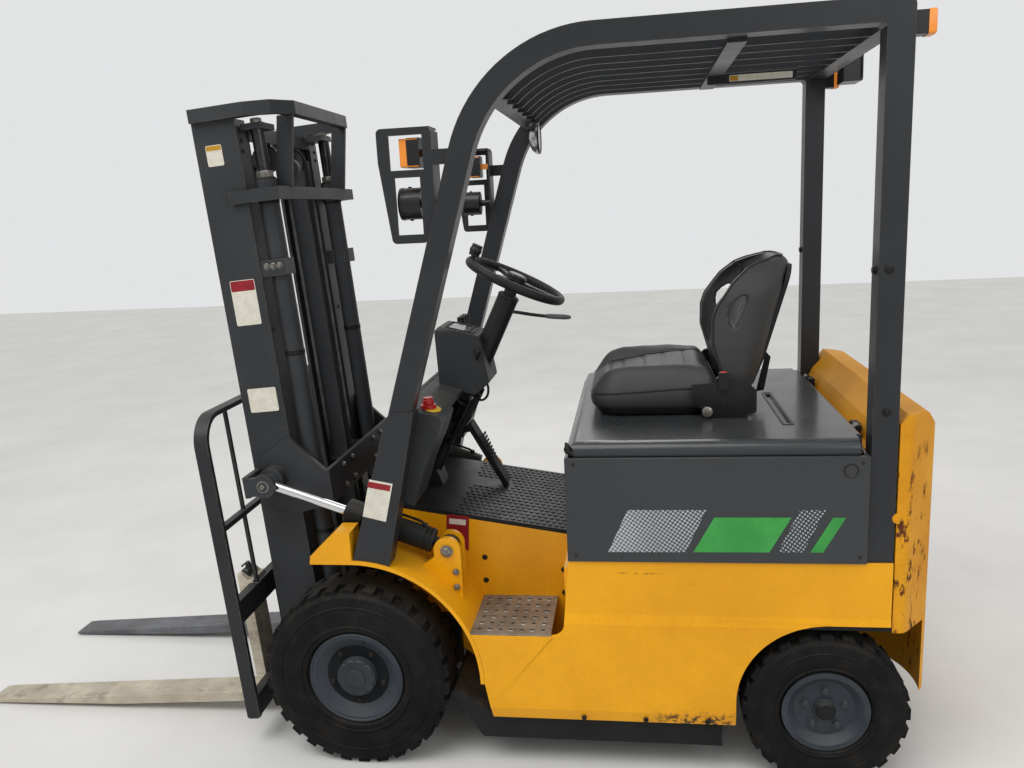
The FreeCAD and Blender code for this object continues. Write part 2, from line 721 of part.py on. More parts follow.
# Foot well: the walls beside the floor, the cross plates and the steps.
well = plate(
    "well_wall",
    "YZ",
    ("wall_in", "wall_out"),
    [
        ("wall_front", "axle_r + front_r + 60"),
        ("wall_front", floor_at("wall_front", "mat_sheet + floor_sheet")),
        ("floor_end", floor_at("floor_end", "mat_sheet + floor_sheet")),
        ("floor_end", "sill_bottom"),
        ("tray_front + 42", "sill_bottom"),
        ("tray_front - 84", "tray_bottom + 158"),
    ],
)
well_left = fuse(
    "well_left",
    well,
    block("well_shelf", ("wall_out - 2", "side_in"), ("arch_y + 34", "floor_end"), ("sill_bottom", "sill_bottom + 10")),
    block("axle_arm", ("wall_in", "wall_out"), ("wall_front - 4", "arch_y - 100"), ("front_r + 30", "front_r + 150")),
    block(
        "well_step_riser",
        ("wall_out - 2", "side_in"),
        ("floor_end - 12", "floor_end"),
        ("sill_bottom", floor_at("floor_end", "mat_sheet + floor_sheet")),
    ),
)
front_cross = block(
    "front_cross",
    ("-wall_in", "wall_in"),
    ("wall_front", "wall_front + wall_sheet"),
    ("front_r + axle_r + 100", floor_at("wall_front + wall_sheet", "mat_sheet + floor_sheet")),
)
rear_cross = block(
    "rear_cross",
    ("-wall_in", "wall_in"),
    ("floor_end - wall_sheet", "floor_end"),
    ("sill_bottom", floor_at("floor_end", "mat_sheet + floor_sheet")),
)
node("frame", fuse("frame_weldment", well_left, mirror("well_right", well_left), front_cross, rear_cross))
step = block(
    "step_plate",
    ("wall_out", "body_half"),
    ("arch_y - 60", "step_rear - 36"),
    ("step_z - step_sheet", "step_z"),
)
node("steps", *both(cut("step_left", step, arch_fill)))

# Floor plate and mat, rising to the front.
def floor_sheet(name, half, front, top, bottom):
    corners = [
        (front, floor_at(front, bottom)),
        (front, floor_at(front, top)),
        ("floor_end", floor_at("floor_end", top)),
        ("floor_end", floor_at("floor_end", bottom)),
    ]
    return plate(name, "YZ", (f"-({half})", half), corners)


node("floor_plate", floor_sheet("floor_sheet_form", "wall_out", "floor_front", "mat_sheet", "mat_sheet + floor_sheet"))
node("floor_mat", floor_sheet("floor_mat_form", "wall_out - 4", "floor_front + 2", "0", "mat_sheet"))

# Underframe: axle arms, battery tray, rear bulkhead, rear deck and the hangers of the steer axle.
tray = plate(
    "tray_form",
    "YZ",
    ("-tray_half", "tray_half"),
    [
        ("tray_front - 94", "tray_bottom + 150"),
        ("tray_front", "tray_bottom"),
        ("tray_rear", "tray_bottom"),
        ("tray_rear", "sill_bottom"),
        ("tray_front + 40", "sill_bottom"),
        ("tray_front - 84", "tray_bottom + 156"),
    ],
)
arm_plate = block("arm_plate", ("wall_out", "mast_out - 18"), ("-axle_r", "290"), ("front_r - 70", "front_r + 100"))
arm_bore = rod("arm_bore", "X", ("wall_out - 5", "mast_out"), ("0", "front_r"), "axle_r + gap")
arm = cut("arm_left", arm_plate, arm_bore)
bulkhead = block(
    "rear_bulkhead", ("-side_in", "side_in"), ("tray_rear - 14", "tray_rear"), ("sill_bottom - 5", "deck_top")
)
deck = block("rear_deck", ("-side_in", "side_in"), ("tray_rear - 14", "cw_lower"), ("deck_top - deck_sheet", "deck_top"))
hanger_span = {
    "front": ("wheelbase - axle_deep - 31", "wheelbase - axle_deep - 15"),
    "rear": ("wheelbase + axle_deep + 15", "wheelbase + axle_deep + 31"),
}
hangers = [
    block(f"hanger_{side}", ("-58", "58"), span, ("rear_r - 40", "deck_top - 5")) for side, span in hanger_span.items()
]
trunnion = rod(
    "axle_trunnion", "Y", ("wheelbase - axle_deep - 40", "wheelbase + axle_deep + 40"), ("0", "rear_r"), "trunnion_r"
)
trunnion_bore = rod(
    "trunnion_bore",
    "Y",
    ("wheelbase - axle_deep - 50", "wheelbase + axle_deep + 50"),
    ("0", "rear_r"),
    "trunnion_r + gap",
)
spine = block("rear_spine", ("-105", "105"), ("tray_rear - 5", "cw_lower - 80"), ("deck_top - 90", "deck_top - 5"))
spine_cut = cut(
    "spine_form",
    spine,
    block("spine_room", ("-110", "110"), ("wheelbase - 60", "wheelbase + 60"), ("deck_top - 100", "deck_top - 60")),
)
node(
    "underframe",
    cut("underframe_bored", fuse("underframe_weldment", tray, bulkhead, deck, *hangers, spine_cut), trunnion_bore),
    *both(arm),
)
node(
    "battery",
    block(
        "battery_block",
        ("-battery_half", "battery_half"),
        ("battery_front", "battery_rear"),
        ("sill_bottom", "battery_top"),
    ),
)

# Battery box: side panels and the two end walls.
panel = block(
    "panel_side",
    ("body_half - panel_sheet", "body_half"),
    ("panel_front", "panel_rear"),
    ("sill_top", "panel_top"),
)
front_wall = block(
    "panel_front_wall", ("-side_in", "side_in"), ("panel_front", "panel_front + panel_sheet"), ("deck_top", "panel_top")
)
front_cheek = block(
    "panel_front_cheek",
    ("side_in - 1", "body_half"),
    ("panel_front", "panel_front + panel_sheet"),
    ("sill_top", "panel_top"),
)
rear_wall = block(
    "panel_rear_wall", ("-side_in", "side_in"), ("panel_rear - panel_sheet", "panel_rear"), ("deck_top", "panel_top")
)
rear_cheek = block(
    "panel_rear_cheek",
    ("side_in - 1", "body_half"),
    ("panel_rear - panel_sheet", "panel_rear"),
    ("sill_top", "panel_top"),
)
panel_left = fuse("panel_left", panel, front_cheek, rear_cheek)
node("battery_panels", fuse("battery_box", panel_left, mirror("panel_right", panel_left), front_wall, rear_wall))

# Hood: a shallow lid with rounded edges, hinged at its rear edge.
hood_plan = plate(
    "hood_plan",
    "XY",
    ("hood_low", "hood_top"),
    [
        ("-hood_half", "hood_front", "hood_round"),
        ("hood_half", "hood_front", "hood_round"),
        ("hood_half", "hood_rear - 18"),
        ("post_in - 6", "hood_rear - 18"),
        ("post_in - 6", "hood_rear"),
        ("6 - post_in", "hood_rear"),
        ("6 - post_in", "hood_rear - 18"),
        ("-hood_half", "hood_rear - 18"),
    ],
)
hood_across = plate(
    "hood_across",
    "XZ",
    ("hood_front", "hood_rear"),
    [
        ("-hood_half", "hood_low"),
        ("-hood_half", "hood_top", "hood_round"),
        ("hood_half", "hood_top", "hood_round"),
        ("hood_half", "hood_low"),
    ],
)
hood_along = plate(
    "hood_along",
    "YZ",
    ("-hood_half", "hood_half"),
    [
        ("hood_front", "hood_low"),
        ("hood_front", "hood_top", "hood_round"),
        ("hood_rear", "hood_top", "8"),
        ("hood_rear", "hood_low"),
    ],
)
hood_shell = cut(
    "hood_shell",
    common("hood_solid", hood_plan, hood_across, hood_along),
    block(
        "hood_room",
        ("-hood_half + 2*hood_sheet", "hood_half - 2*hood_sheet"),
        ("hood_front + 2*hood_sheet", "hood_rear - hood_sheet"),
        ("hood_low - 1", "hood_top - hood_sheet"),
    ),
    block("hood_slot", ("-57", "335"), ("slot_y - slot_wide/2", "slot_y + slot_wide/2"), ("hood_top - 7", "hood_top + 5")),
)
barrel_bore = rod(
    "hood_barrel_bore", "X", ("hinge_x + 20", "hinge_x + 60"), ("hinge_y", "hinge_z"), "hinge_r + gap"
)
barrel_left = cut(
    "hood_barrel_left",
    fuse(
        "hood_barrel_form",
        rod("hood_barrel", "X", ("hinge_x + 25", "hinge_x + 55"), ("hinge_y", "hinge_z"), "hinge_r + 5"),
        block("hood_tongue", ("hinge_x + 25", "hinge_x + 55"), ("hood_rear - 4", "hinge_y"), ("hinge_z - 5", "hinge_z + 5")),
    ),
    barrel_bore,
)
node("hood", fuse("hood_lid", hood_shell, barrel_left, mirror("hood_barrel_right", barrel_left)))

# Counterweight: the side profile met with the plan, with room for the steered wheels and the posts.
cw_side = plate(
    "cw_side",
    "YZ",
    ("-cw_half", "cw_half"),
    [
        ("panel_rear + 1", "deck_top"),
        ("panel_rear + 1", "panel_top"),
        ("panel_rear + 23", "panel_top"),
        ("panel_rear + 46", "panel_top + 48"),
        ("panel_rear + 98", "cw_top"),
        ("cw_rear - 70", "cw_top", "30"),
        ("cw_rear - 25", "cw_top - 63", "60"),
        ("cw_rear", "cw_top - 150", "60"),
        ("cw_rear", "cw_bottom + 30"),
        ("cw_rear - 35", "cw_bottom"),
        ("cw_lower", "cw_bottom"),
        ("cw_lower", "deck_top"),
    ],
)
cw_plan = plate(
    "cw_plan",
    "XY",
    ("cw_bottom", "cw_top"),
    [
        ("-cw_half", "panel_rear"),
        ("cw_half", "panel_rear"),
        ("cw_half", "cw_rear - 125", "30"),
        ("430", "cw_rear - 35", "60"),
        ("250", "cw_rear", "80"),
        ("-250", "cw_rear", "80"),
        ("-430", "cw_rear - 35", "60"),
        ("-cw_half", "cw_rear - 125", "30"),
    ],
)
post_room = block(
    "cw_post_room", ("post_in - 5", "cw_half + 1"), ("panel_rear - 1", "cw_lower"), ("deck_top - 1", "cw_top + 1")
)
sweep = rod("cw_sweep", "Z", ("cw_bottom - 1", "deck_top - 20"), ("king_x", "wheelbase"), "sweep_r")
slot_low = "(tow_high - 60 - tow_slot)"
counterweight = cut(
    "counterweight_form",
    common("cw_solid", cw_side, cw_plan),
    *both(post_room),
    *both(sweep),
    block("tow_gap", ("-60", "60"), ("tow_y - 35", "cw_rear + 1"), (slot_low, slot_low + " + tow_slot")),
    block("tow_above", ("-60", "60"), ("tow_y - 30", "cw_rear + 1"), ("tow_high", "tow_high + 70")),
    rod("tow_bore", "Z", ("cw_bottom - 1", "tow_high + 1"), ("0", "tow_y"), "tow_r"),
)
bracket = block(
    "hinge_bracket", ("hinge_x - 20", "hinge_x + 20"), ("hinge_y - 7", "hinge_y + 15"), ("panel_top", "hinge_z + 6")
)
hinge_pin = rod("hinge_pin", "X", ("hinge_x - 10", "hinge_x + 60"), ("hinge_y", "hinge_z"), "hinge_r")
node("counterweight", counterweight)
node("hood_hinges", *both(fuse("hinge_left", bracket, hinge_pin)))

# Overhead guard: each side is one bent tube from the pillar foot over the roof to the rear post.
guard_corners = [
    (pillar_at("arch_top - 40"), "arch_top - 40"),
    (pillar_at("guard_top"), "guard_top", "guard_bend"),
    ("post_rear", "guard_top", "25"),
    ("post_rear", "deck_top"),
    ("post_front", "deck_top"),
    ("post_front", "guard_top - guard_deep", "12"),
    (pillar_at("guard_top - guard_deep", "pillar_deep"), "guard_top - guard_deep", "guard_bend - guard_deep"),
    (pillar_at("arch_top - 40", "pillar_deep"), "arch_top - 40"),
]
guard_tube = plate("guard_tube", "YZ", ("post_in", "post_out"), guard_corners)
sleeve = plate(
    "guard_sleeve",
    "YZ",
    ("post_in", "sleeve_out"),
    [
        (pillar_at("arch_top - 40", "-5"), "arch_top - 40"),
        (pillar_at("sleeve_top - 20", "-5"), "sleeve_top - 20"),
        (pillar_at("sleeve_top", "5"), "sleeve_top"),
        (pillar_at("sleeve_top", "pillar_deep + 8"), "sleeve_top"),
        (pillar_at("arch_top - 40", "pillar_deep + 46"), "arch_top - 40"),
    ],
)
guard_left = cut("guard_left", fuse("guard_side_form", guard_tube, sleeve), arch_fill)
node("guard_sides", *both(guard_left))

# Roof: cross members and seven bars that follow the bend of the sides.
bar_form = plate(
    "roof_bar_form",
    "YZ",
    ("-bar_wide/2", "bar_wide/2"),
    [
        (pillar_at("guard_top - 290", "13"), "guard_top - 290"),
        (pillar_at("guard_top - 12", "13"), "guard_top - 12", "guard_bend - 12"),
        ("post_front + 20", "guard_top - 12"),
        ("post_front + 20", "guard_top - 12 - bar_deep"),
        (
            pillar_at("guard_top - 12 - bar_deep", "13 + bar_deep*1.047"),
            "guard_top - 12 - bar_deep",
            "guard_bend - 12 - bar_deep",
        ),
        (pillar_at("guard_top - 290", "13 + bar_deep*1.047"), "guard_top - 290"),
    ],
)
bar_keep = block(
    "roof_bar_keep", ("-post_in", "post_in"), ("pillar_y", "post_front + 12"), ("front_bar_z - 12", "guard_top")
)
roof_bar = common("roof_bar", bar_form, bar_keep)
bars = [roof_bar]
for number in (-3, -2, -1, 1, 2, 3):
    copy = group(f"roof_bar_{number + 4}", roof_bar)
    bind(copy, Placement__Base__x=f"{number}*bar_pitch")
    bars.append(copy)
front_bar = plate(
    "roof_front_bar",
    "YZ",
    ("-post_in", "post_in"),
    [
        ("front_bar_y - 34", "front_bar_z - 10", "6"),
        ("front_bar_y - 10", "front_bar_z - 34", "6"),
        ("front_bar_y + 34", "front_bar_z + 10", "6"),
        ("front_bar_y + 10", "front_bar_z + 34", "6"),
    ],
)
rear_bar = block(
    "roof_rear_bar", ("-post_in", "post_in"), ("post_front + 8", "post_rear"), ("rear_bar_z", "rear_bar_z + 44")
)
mid_bar = block(
    "roof_mid_bar",
    ("-post_in", "post_in"),
    ("mid_bar_y - 25", "mid_bar_y + 25"),
    ("guard_top - 12 - bar_deep - 8", "guard_top - 10 - bar_deep"),
)
node("guard_roof", fuse("roof_weldment", front_bar, rear_bar, mid_bar, *bars))

# Lamp brackets on the pillars, with two openings each, and the lamps behind them.
lamp_side = plate(
    "lamp_side",
    "YZ",
    ("lamp_plate_x", "lamp_plate_x + lamp_plate"),
    [
        ("lamp_front + 26", "lamp_low", "14"),
        (pillar_at("lamp_low", "-gap"), "lamp_low", "14"),
        ("lamp_rear", "pillar_z + (lamp_rear + gap - pillar_y)/pillar_run"),
        ("lamp_rear", "lamp_high", "14"),
        ("lamp_front", "lamp_high", "14"),
        ("lamp_front", "lamp_high - 90", "14"),
    ],
)
lamp_windows = [
    block(
        "lamp_window_high",
        ("lamp_plate_x - 5", "lamp_plate_x + lamp_plate + 5"),
        ("lamp_front + 34", "lamp_rear - 26"),
        ("turn_z - 46", "lamp_high - 20"),
    ),
    block(
        "lamp_window_low",
        ("lamp_plate_x - 5", "lamp_plate_x + lamp_plate + 5"),
        ("lamp_front + 44", "lamp_rear - 38"),
        ("lamp_low + 24", "turn_z - 66"),
    ),
]
lamp_back = block(
    "lamp_back",
    ("lamp_x - 30", "lamp_plate_x + 2"),
    ("lamp_rear - 6", "lamp_rear"),
    ("lamp_low + 94", "lamp_high - 10"),
)
lamp_lip = block(
    "lamp_lip", ("lamp_x - 30", "lamp_plate_x + lamp_plate"), ("lamp_front + 14", "lamp_rear - 4"), ("lamp_high - 6", "lamp_high")
)
lamp_arm = plate(
    "lamp_arm",
    "YZ",
    ("lamp_plate_x - 18", "lamp_plate_x + lamp_plate"),
    [
        ("lamp_rear - 4", "turn_z - 35"),
        (pillar_at("turn_z - 35", "-gap"), "turn_z - 35"),
        (pillar_at("turn_z + 5", "-gap"), "turn_z + 5"),
        ("lamp_rear - 4", "turn_z + 5"),
    ],
)
lamp_bracket = fuse("lamp_bracket", cut("lamp_side_cut", lamp_side, *lamp_windows), lamp_back, lamp_lip, lamp_arm)
node("lamp_brackets", *both(lamp_bracket))
turn_lamp = block(
    "turn_lamp",
    ("lamp_x - 26", "lamp_x + 44"),
    ("lamp_rear - 94", "lamp_rear - 40"),
    ("turn_z - 38", "turn_z + 38"),
)
turn_stem = block(
    "turn_stem", ("lamp_x - 8", "lamp_x + 8"), ("lamp_rear - 41", "lamp_rear - 6"), ("turn_z - 10", "turn_z + 10")
)
node("turn_lamps", *both(fuse("turn_lamp_left", turn_lamp, turn_stem)))
head_lamp = rod("head_lamp", "Y", ("lamp_rear - 106", "lamp_rear - 46"), ("lamp_x", "head_z"), "head_r")
head_stem = rod("head_stem", "Y", ("lamp_rear - 48", "lamp_rear - 6"), ("lamp_x", "head_z"), "12")
rear_light = fuse(
    "rear_work_light",
    block("rear_light_case", ("-398", "-302"), ("post_rear + 24", "post_rear + 84"), ("rear_bar_z - 33", "rear_bar_z + 60")),
    block("rear_light_arm", ("-362", "-338"), ("post_rear", "post_rear + 26"), ("rear_bar_z + 6", "rear_bar_z + 30")),
)
node("work_lamps", *both(fuse("head_lamp_left", head_lamp, head_stem)), rear_light)
rear_lamp = block(
    "rear_lamp", ("post_in + 8", "post_out - 8"), ("post_rear", "post_rear + 48"), ("guard_top - 92", "guard_top - 36")
)
node("rear_lamps", *both(rear_lamp))

# Round mirror under the front bar on the right.
mirror_head = turned(
    "mirror_head",
    [
        ("0", "0"),
        ("0", "mirror_r"),
        ("10", "mirror_r"),
        ("26", "mirror_r*0.75"),
        ("34", "mirror_r*0.4"),
        ("36", "0"),
    ],
)
mirror_placed = group("mirror_placed", mirror_head)
mirror_placed.Placement = FreeCAD.Placement(V(0, 0, 0), FreeCAD.Rotation(V(0, 0, 1), -90))
bind(mirror_placed, Placement__Base__x="-mirror_x", Placement__Base__y="mirror_y", Placement__Base__z="mirror_z")
mirror_stem = block(
    "mirror_stem",
    ("-mirror_x - 6", "-mirror_x + 6"),
    ("mirror_y - 30", "mirror_y - 18"),
    ("mirror_z", "front_bar_z - 4"),
)
node("mirror", cut("mirror_seated", fuse("mirror_form", mirror_placed, mirror_stem), front_bar))

# Cowl between the pillars: front plate, top shelf and a cheek at each side.
cowl_plate = plate(
    "cowl_plate",
    "YZ",
    ("-cowl_half", "cowl_half"),
    [
        ("cowl_foot_y", "cowl_foot_z"),
        (cowl_at("cowl_top"), "cowl_top"),
        (cowl_at("cowl_top", "cowl_sheet"), "cowl_top"),
        ("cowl_foot_y + cowl_sheet", "cowl_foot_z"),
    ],
)
cowl_shelf = plate(
    "cowl_shelf",
    "YZ",
    ("-cowl_half", "cowl_half"),
    [
        (cowl_at("cowl_top - cowl_sheet", "3"), "cowl_top - cowl_sheet"),
        (cowl_at("cowl_top", "3"), "cowl_top"),
        (cowl_at("cowl_top", "125"), "cowl_rear_top + 6"),
        (cowl_at("cowl_top", "125"), "cowl_rear_top - 6"),
    ],
)


def column_room(name, radius):
    """The space of a cylinder along the steering column's axis."""
    form = group(name, rod(name + "_form", "Z", ("-800", "-28"), ("0", "0"), radius))
    form.Placement = FreeCAD.Placement(V(0, 0, 0), FreeCAD.Rotation(V(-1, 0, 0), 1))
    return bind(form, Placement__Rotation__Angle="wheel_lean", Placement__Base__y="wheel_y", Placement__Base__z="wheel_z")


cowl_cheek = plate(
    "cowl_cheek",
    "YZ",
    ("cowl_half - 2", "post_in"),
    [
        (cowl_at("875"), "875"),
        (cowl_at("cowl_top"), "cowl_top"),
        (cowl_at("cowl_top", "125"), "cowl_rear_top + 6", "20"),
        (cowl_at("cowl_top", "136"), "cowl_rear_top - 10"),
        (cowl_at("cowl_top", "116"), "cowl_rear_top - 67"),
        (cowl_at("cowl_top", "72"), "cowl_rear_top - 161"),
        (cowl_at("cowl_top", "33"), "833"),
    ],
)
shelf_cut = cut("cowl_shelf_cut", cowl_shelf, column_room("cowl_column_room", "column_r + 3"))
node("cowl", fuse("cowl_form", cowl_plate, shelf_cut, cowl_cheek, mirror("cowl_cheek_right", cowl_cheek)))

# Steering column with its foot and the display, all about the column's own axis.
column = rod("column_tube", "Z", ("-760", "-27 - gap"), ("0", "0"), "column_r")
cover = rod("column_cover", "Z", ("-300", "-60"), ("0", "0"), "column_r + 14")
aimed("steering_column", "wheel_y", "wheel_z", "wheel_lean", fuse("column_form", column, cover))
display = plate(
    "display_case",
    "YZ",
    ("-pod_half", "pod_half"),
    [
        ("wheel_y - 272", "wheel_z - 152", "10"),
        ("wheel_y - 257", "wheel_z - 138", "10"),
        ("wheel_y - 121", "wheel_z - 174", "14"),
        ("wheel_y - 93", "wheel_z - 334", "14"),
        ("wheel_y - 146", "wheel_z - 374", "10"),
        ("wheel_y - 228", "wheel_z - 350"),
        ("wheel_y - 266", "wheel_z - 336", "10"),
    ],
)
pod_top = plate(
    "pod_top",
    "XZ",
    ("wheel_y - 280", "wheel_y - 80"),
    [
        ("-pod_half", "wheel_z - 376"),
        ("pod_half", "wheel_z - 376"),
        ("pod_half", "wheel_z - 136", "24"),
        ("-pod_half", "wheel_z - 136", "24"),
    ],
)
display_form = common("display_form", display, pod_top)
node("display", cut("display_cut", display_form, column_room("display_column_room", "column_r + 14 + gap"), cowl_shelf))
foot = plate(
    "column_foot_form",
    "YZ",
    ("-46", "46"),
    [
        ("floor_front + 10", floor_at("floor_front + 10", "-gap")),
        ("floor_front + 10", "wheel_z - 652"),
        ("floor_front + 84", "wheel_z - 652"),
        ("floor_front + 104", floor_at("floor_front + 104", "-gap")),
    ],
)
node("column_foot", cut("column_foot_cut", foot, column_room("foot_column_room", "column_r + gap")))

# Steering wheel: rim, hub, three spokes and a knob.
wheel_ring = fresh("Part::Torus", "wheel_ring")
bind(wheel_ring, Radius1="wheel_r", Radius2="wheel_grip")
hub = rod("wheel_hub", "Z", ("-27", "14"), ("0", "0"), "34")
spokes = []
for number, angle in enumerate((90, 210, 330)):
    spoke = block(f"wheel_spoke_{number}", ("20", "wheel_r"), ("-14", "14"), ("-8", "4"))
    turned_spoke = group(f"wheel_spoke_turned_{number}", spoke)
    turned_spoke.Placement = FreeCAD.Placement(V(0, 0, 0), FreeCAD.Rotation(V(0, 0, 1), angle))
    spokes.append(turned_spoke)
knob_stem = rod("wheel_knob_stem", "Z", ("0", "26"), ("40", "-wheel_r + 8"), "7")
knob = rod("wheel_knob", "Z", ("25", "62"), ("40", "-wheel_r + 8"), "18")
wheel_form = fuse("wheel_form", wheel_ring, hub, *spokes, knob_stem, knob)
aimed("steering_wheel", "wheel_y", "wheel_z", "wheel_lean", wheel_form)

# Small controls: the pedal, the levers and the switch on the cheek.
pedal = plate(
    "pedal_pad",
    "YZ",
    ("-95", "-30"),
    [
        ("wheel_y - 206", "951"),
        ("wheel_y - 190", "961"),
        ("wheel_y - 66", floor_at("wheel_y - 66", "-14")),
        ("wheel_y - 82", floor_at("wheel_y - 82", "-gap")),
    ],
)
pedal_arm = plate(
    "pedal_arm",
    "YZ",
    ("-72", "-52"),
    [
        (cowl_at("905", "cowl_sheet"), "905"),
        (cowl_at("925", "cowl_sheet"), "925"),
        ("wheel_y - 196", "945"),
        ("wheel_y - 190", "925"),
    ],
)
levers = []
for number in range(3):
    place = f"-(125 + {number}*42)"
    shelf_y = cowl_at("cowl_top", "90")
    stem = rod(f"lever_stem_{number}", "Z", ("cowl_rear_top + 8", "1290"), (place, shelf_y), "6")
    grip = rod(f"lever_grip_{number}", "Z", ("1285", "1330"), (place, shelf_y), "14")
    shoe = block(
        f"lever_shoe_{number}",
        (place + " - 16", place + " + 16"),
        (f"{shelf_y} - 18", f"{shelf_y} + 18"),
        ("cowl_rear_top + 10", "cowl_rear_top + 34"),
    )
    levers.append(cut(f"lever_{number}", fuse(f"lever_form_{number}", stem, grip, shoe), cowl_shelf))
node("controls", fuse("pedal", pedal, pedal_arm), *levers)
switch = fuse(
    "switch_form",
    rod("switch_base", "Z", ("cowl_rear_top + 8", "cowl_rear_top + 28"), ("400", cowl_at("cowl_top", "82")), "24"),
    rod("switch_knob", "Z", ("cowl_rear_top + 27", "cowl_rear_top + 50"), ("400", cowl_at("cowl_top", "82")), "15"),
)
node("stop_switch", cut("switch_seated", switch, cowl_cheek))

# Drive axle with its gear case and motor, and the stubs that carry the wheels.
drive_parts = [
    rod("drive_tube", "X", ("-front_x + 80", "front_x - 80"), ("0", "front_r"), "axle_r"),
    block(
        "gear_case",
        ("gear_right", "gear_left"),
        ("-110", "motor_y + motor_r + 10"),
        ("front_r - 105", "motor_z + 110"),
    ),
    rod("drive_motor", "X", ("gear_left - 5", "motor_end"), ("motor_y", "motor_z"), "motor_r"),
]
drum = rod("drive_drum", "X", ("front_x - 80", "front_x + front_bead - 36"), ("0", "front_r"), "drum_r")
stub = rod("drive_stub", "X", ("front_x + front_bead - 40", "front_x + front_bead - 3"), ("0", "front_r"), "front_stub")
drum_form = fuse("drum_left", drum, stub)
drive_parts += [drum_form, mirror("drum_right", drum_form)]
node("drive_axle", fuse("drive_axle_form", *drive_parts))

# Steer axle, its cylinder and the plates that hold the kingpins.
axle_top = block(
    "axle_top",
    ("-king_x + 40", "king_x + 25"),
    ("wheelbase - axle_deep", "wheelbase + axle_deep"),
    ("rear_r + axle_high - axle_sheet", "rear_r + axle_high"),
)
axle_low = block(
    "axle_low",
    ("-king_x + 40", "king_x + 25"),
    ("wheelbase - axle_deep", "wheelbase + axle_deep"),
    ("rear_r - axle_high", "rear_r - axle_high + axle_sheet"),
)
axle_half = fuse("axle_half_left", axle_top, axle_low)
king_bore = rod("king_bore", "Z", ("rear_r - 80", "rear_r + 80"), ("king_x", "wheelbase"), "king_r + gap")
axle_beam = cut(
    "axle_beam",
    fuse("axle_halves", axle_half, mirror("axle_half_right", axle_half)),
    *both(king_bore),
)
axle_ends = [
    block(
        f"axle_wall_{side}",
        span,
        ("wheelbase - axle_deep", "wheelbase + axle_deep"),
        ("rear_r - axle_high + 1", "rear_r + axle_high - 1"),
    )
    for side, span in (("left", ("ram_half - 12", "ram_half")), ("right", ("-ram_half", "12 - ram_half")))
]
ram = rod("ram_barrel", "X", ("-ram_half", "ram_half"), ("wheelbase", "rear_r"), "ram_r - 4")
ram_bore = rod("ram_bore", "X", ("-ram_half - 5", "ram_half + 5"), ("wheelbase", "rear_r"), "ram_rod + gap")
axle_form = cut("axle_form", fuse("axle_weldment", axle_beam, ram, *axle_ends), ram_bore)
node("steer_axle", fuse("steer_axle_form", axle_form, cut("trunnion_form", trunnion, ram_bore)))
node("steer_rod", rod("steer_rod_form", "X", ("-ram_reach", "ram_reach"), ("wheelbase", "rear_r"), "ram_rod"))

# Knuckles: a block round the kingpin, the spindle and the steering arm.
knuckle = fuse(
    "knuckle_form",
    rod(
        "knuckle_block",
        "Z",
        ("rear_r - axle_high + axle_sheet + gap", "rear_r + axle_high - axle_sheet - gap"),
        ("king_x", "wheelbase"),
        "30",
    ),
    rod("king_pin", "Z", ("rear_r - axle_high - 8", "rear_r + axle_high + 8"), ("king_x", "wheelbase"), "king_r"),
    rod("spindle", "X", ("king_x", "rear_x + rear_bead - 7"), ("wheelbase", "rear_r"), "rear_stub"),
    block(
        "knuckle_arm",
        ("king_x - 20", "king_x + 8"),
        ("wheelbase - 92", "wheelbase"),
        ("rear_r - 12", "rear_r + 12"),
    ),
)
NODES["knuckle_left"] = group("knuckle_left", knuckle)
bind(NODES["knuckle_left"], Placement__Base__y="shift_y")
NODES["knuckle_right"] = mirror("knuckle_right", NODES["knuckle_left"])

# Outer mast: two channels, the top bow, the ties, the feet round the axle and the tilt clevises.
channel = plate(
    "mast_channel",
    "XY",
    ("mast_low", "mast_high"),
    [
        ("mast_in", "-mast_front"),
        ("mast_out", "-mast_front"),
        ("mast_out", "-mast_back"),
        ("mast_in", "-mast_back"),
        ("mast_in", "-mast_back - mast_flange"),
        ("mast_out - mast_web", "-mast_back - mast_flange"),
        ("mast_out - mast_web", "-mast_front + mast_flange"),
        ("mast_in", "-mast_front + mast_flange"),
    ],
)
wear_pad = block(
    "mast_wear_pad",
    ("stage_out + gap", "mast_out - mast_web + 2"),
    ("-stage_front + 12", "-stage_back - 12"),
    ("mast_high - 170", "mast_high - 60"),
)
foot_plate = plate(
    "mast_foot_plate",
    "YZ",
    ("mast_out - 13", "mast_out + 15"),
    [
        ("-mast_back - 4", "mast_low + 20"),
        ("-mast_back - 4", "front_r + 190"),
        ("-mast_back + 20", "front_r + 190"),
        ("-20", "front_r + axle_r + 33"),
        ("20", "front_r + axle_r + 20"),
        ("20", "front_r - axle_r - 20"),
        ("-20", "front_r - axle_r - 33"),
        ("-mast_back + 20", "mast_low + 20"),
    ],
)
foot_ring = rod("mast_foot_ring", "X", ("mast_out - 13", "mast_out + 15"), ("0", "front_r"), "axle_r + 35")
foot_bore = rod("mast_foot_bore", "X", ("mast_out - 20", "mast_out + 25"), ("0", "front_r"), "axle_r + gap")
gusset = plate(
    "mast_gusset",
    "YZ",
    ("mast_out - 2", "mast_out + 15"),
    [
        ("-mast_front + 14", "clevis_z - 81"),
        ("-mast_front + 36", "clevis_z + 70"),
        ("-mast_back - 3", "clevis_z + 130"),
        ("-mast_back + 39", "clevis_z + 84"),
        ("-cross_y", "cross_z + cross_high"),
        ("-cross_y", "cross_z"),
        ("-mast_back", "cross_z - 20"),
    ],
)
clevis_inner = plate(
    "mast_clevis_inner",
    "YZ",
    ("mast_out + 10", "tilt_x - tilt_eye/2 - 2"),
    [
        ("-clevis_y - 40", "clevis_z - 40", "36"),
        ("-clevis_y + 40", "clevis_z - 40", "36"),
        ("-clevis_y + 40", "clevis_z + 40", "36"),
        ("-clevis_y - 40", "clevis_z + 40", "36"),
    ],
)
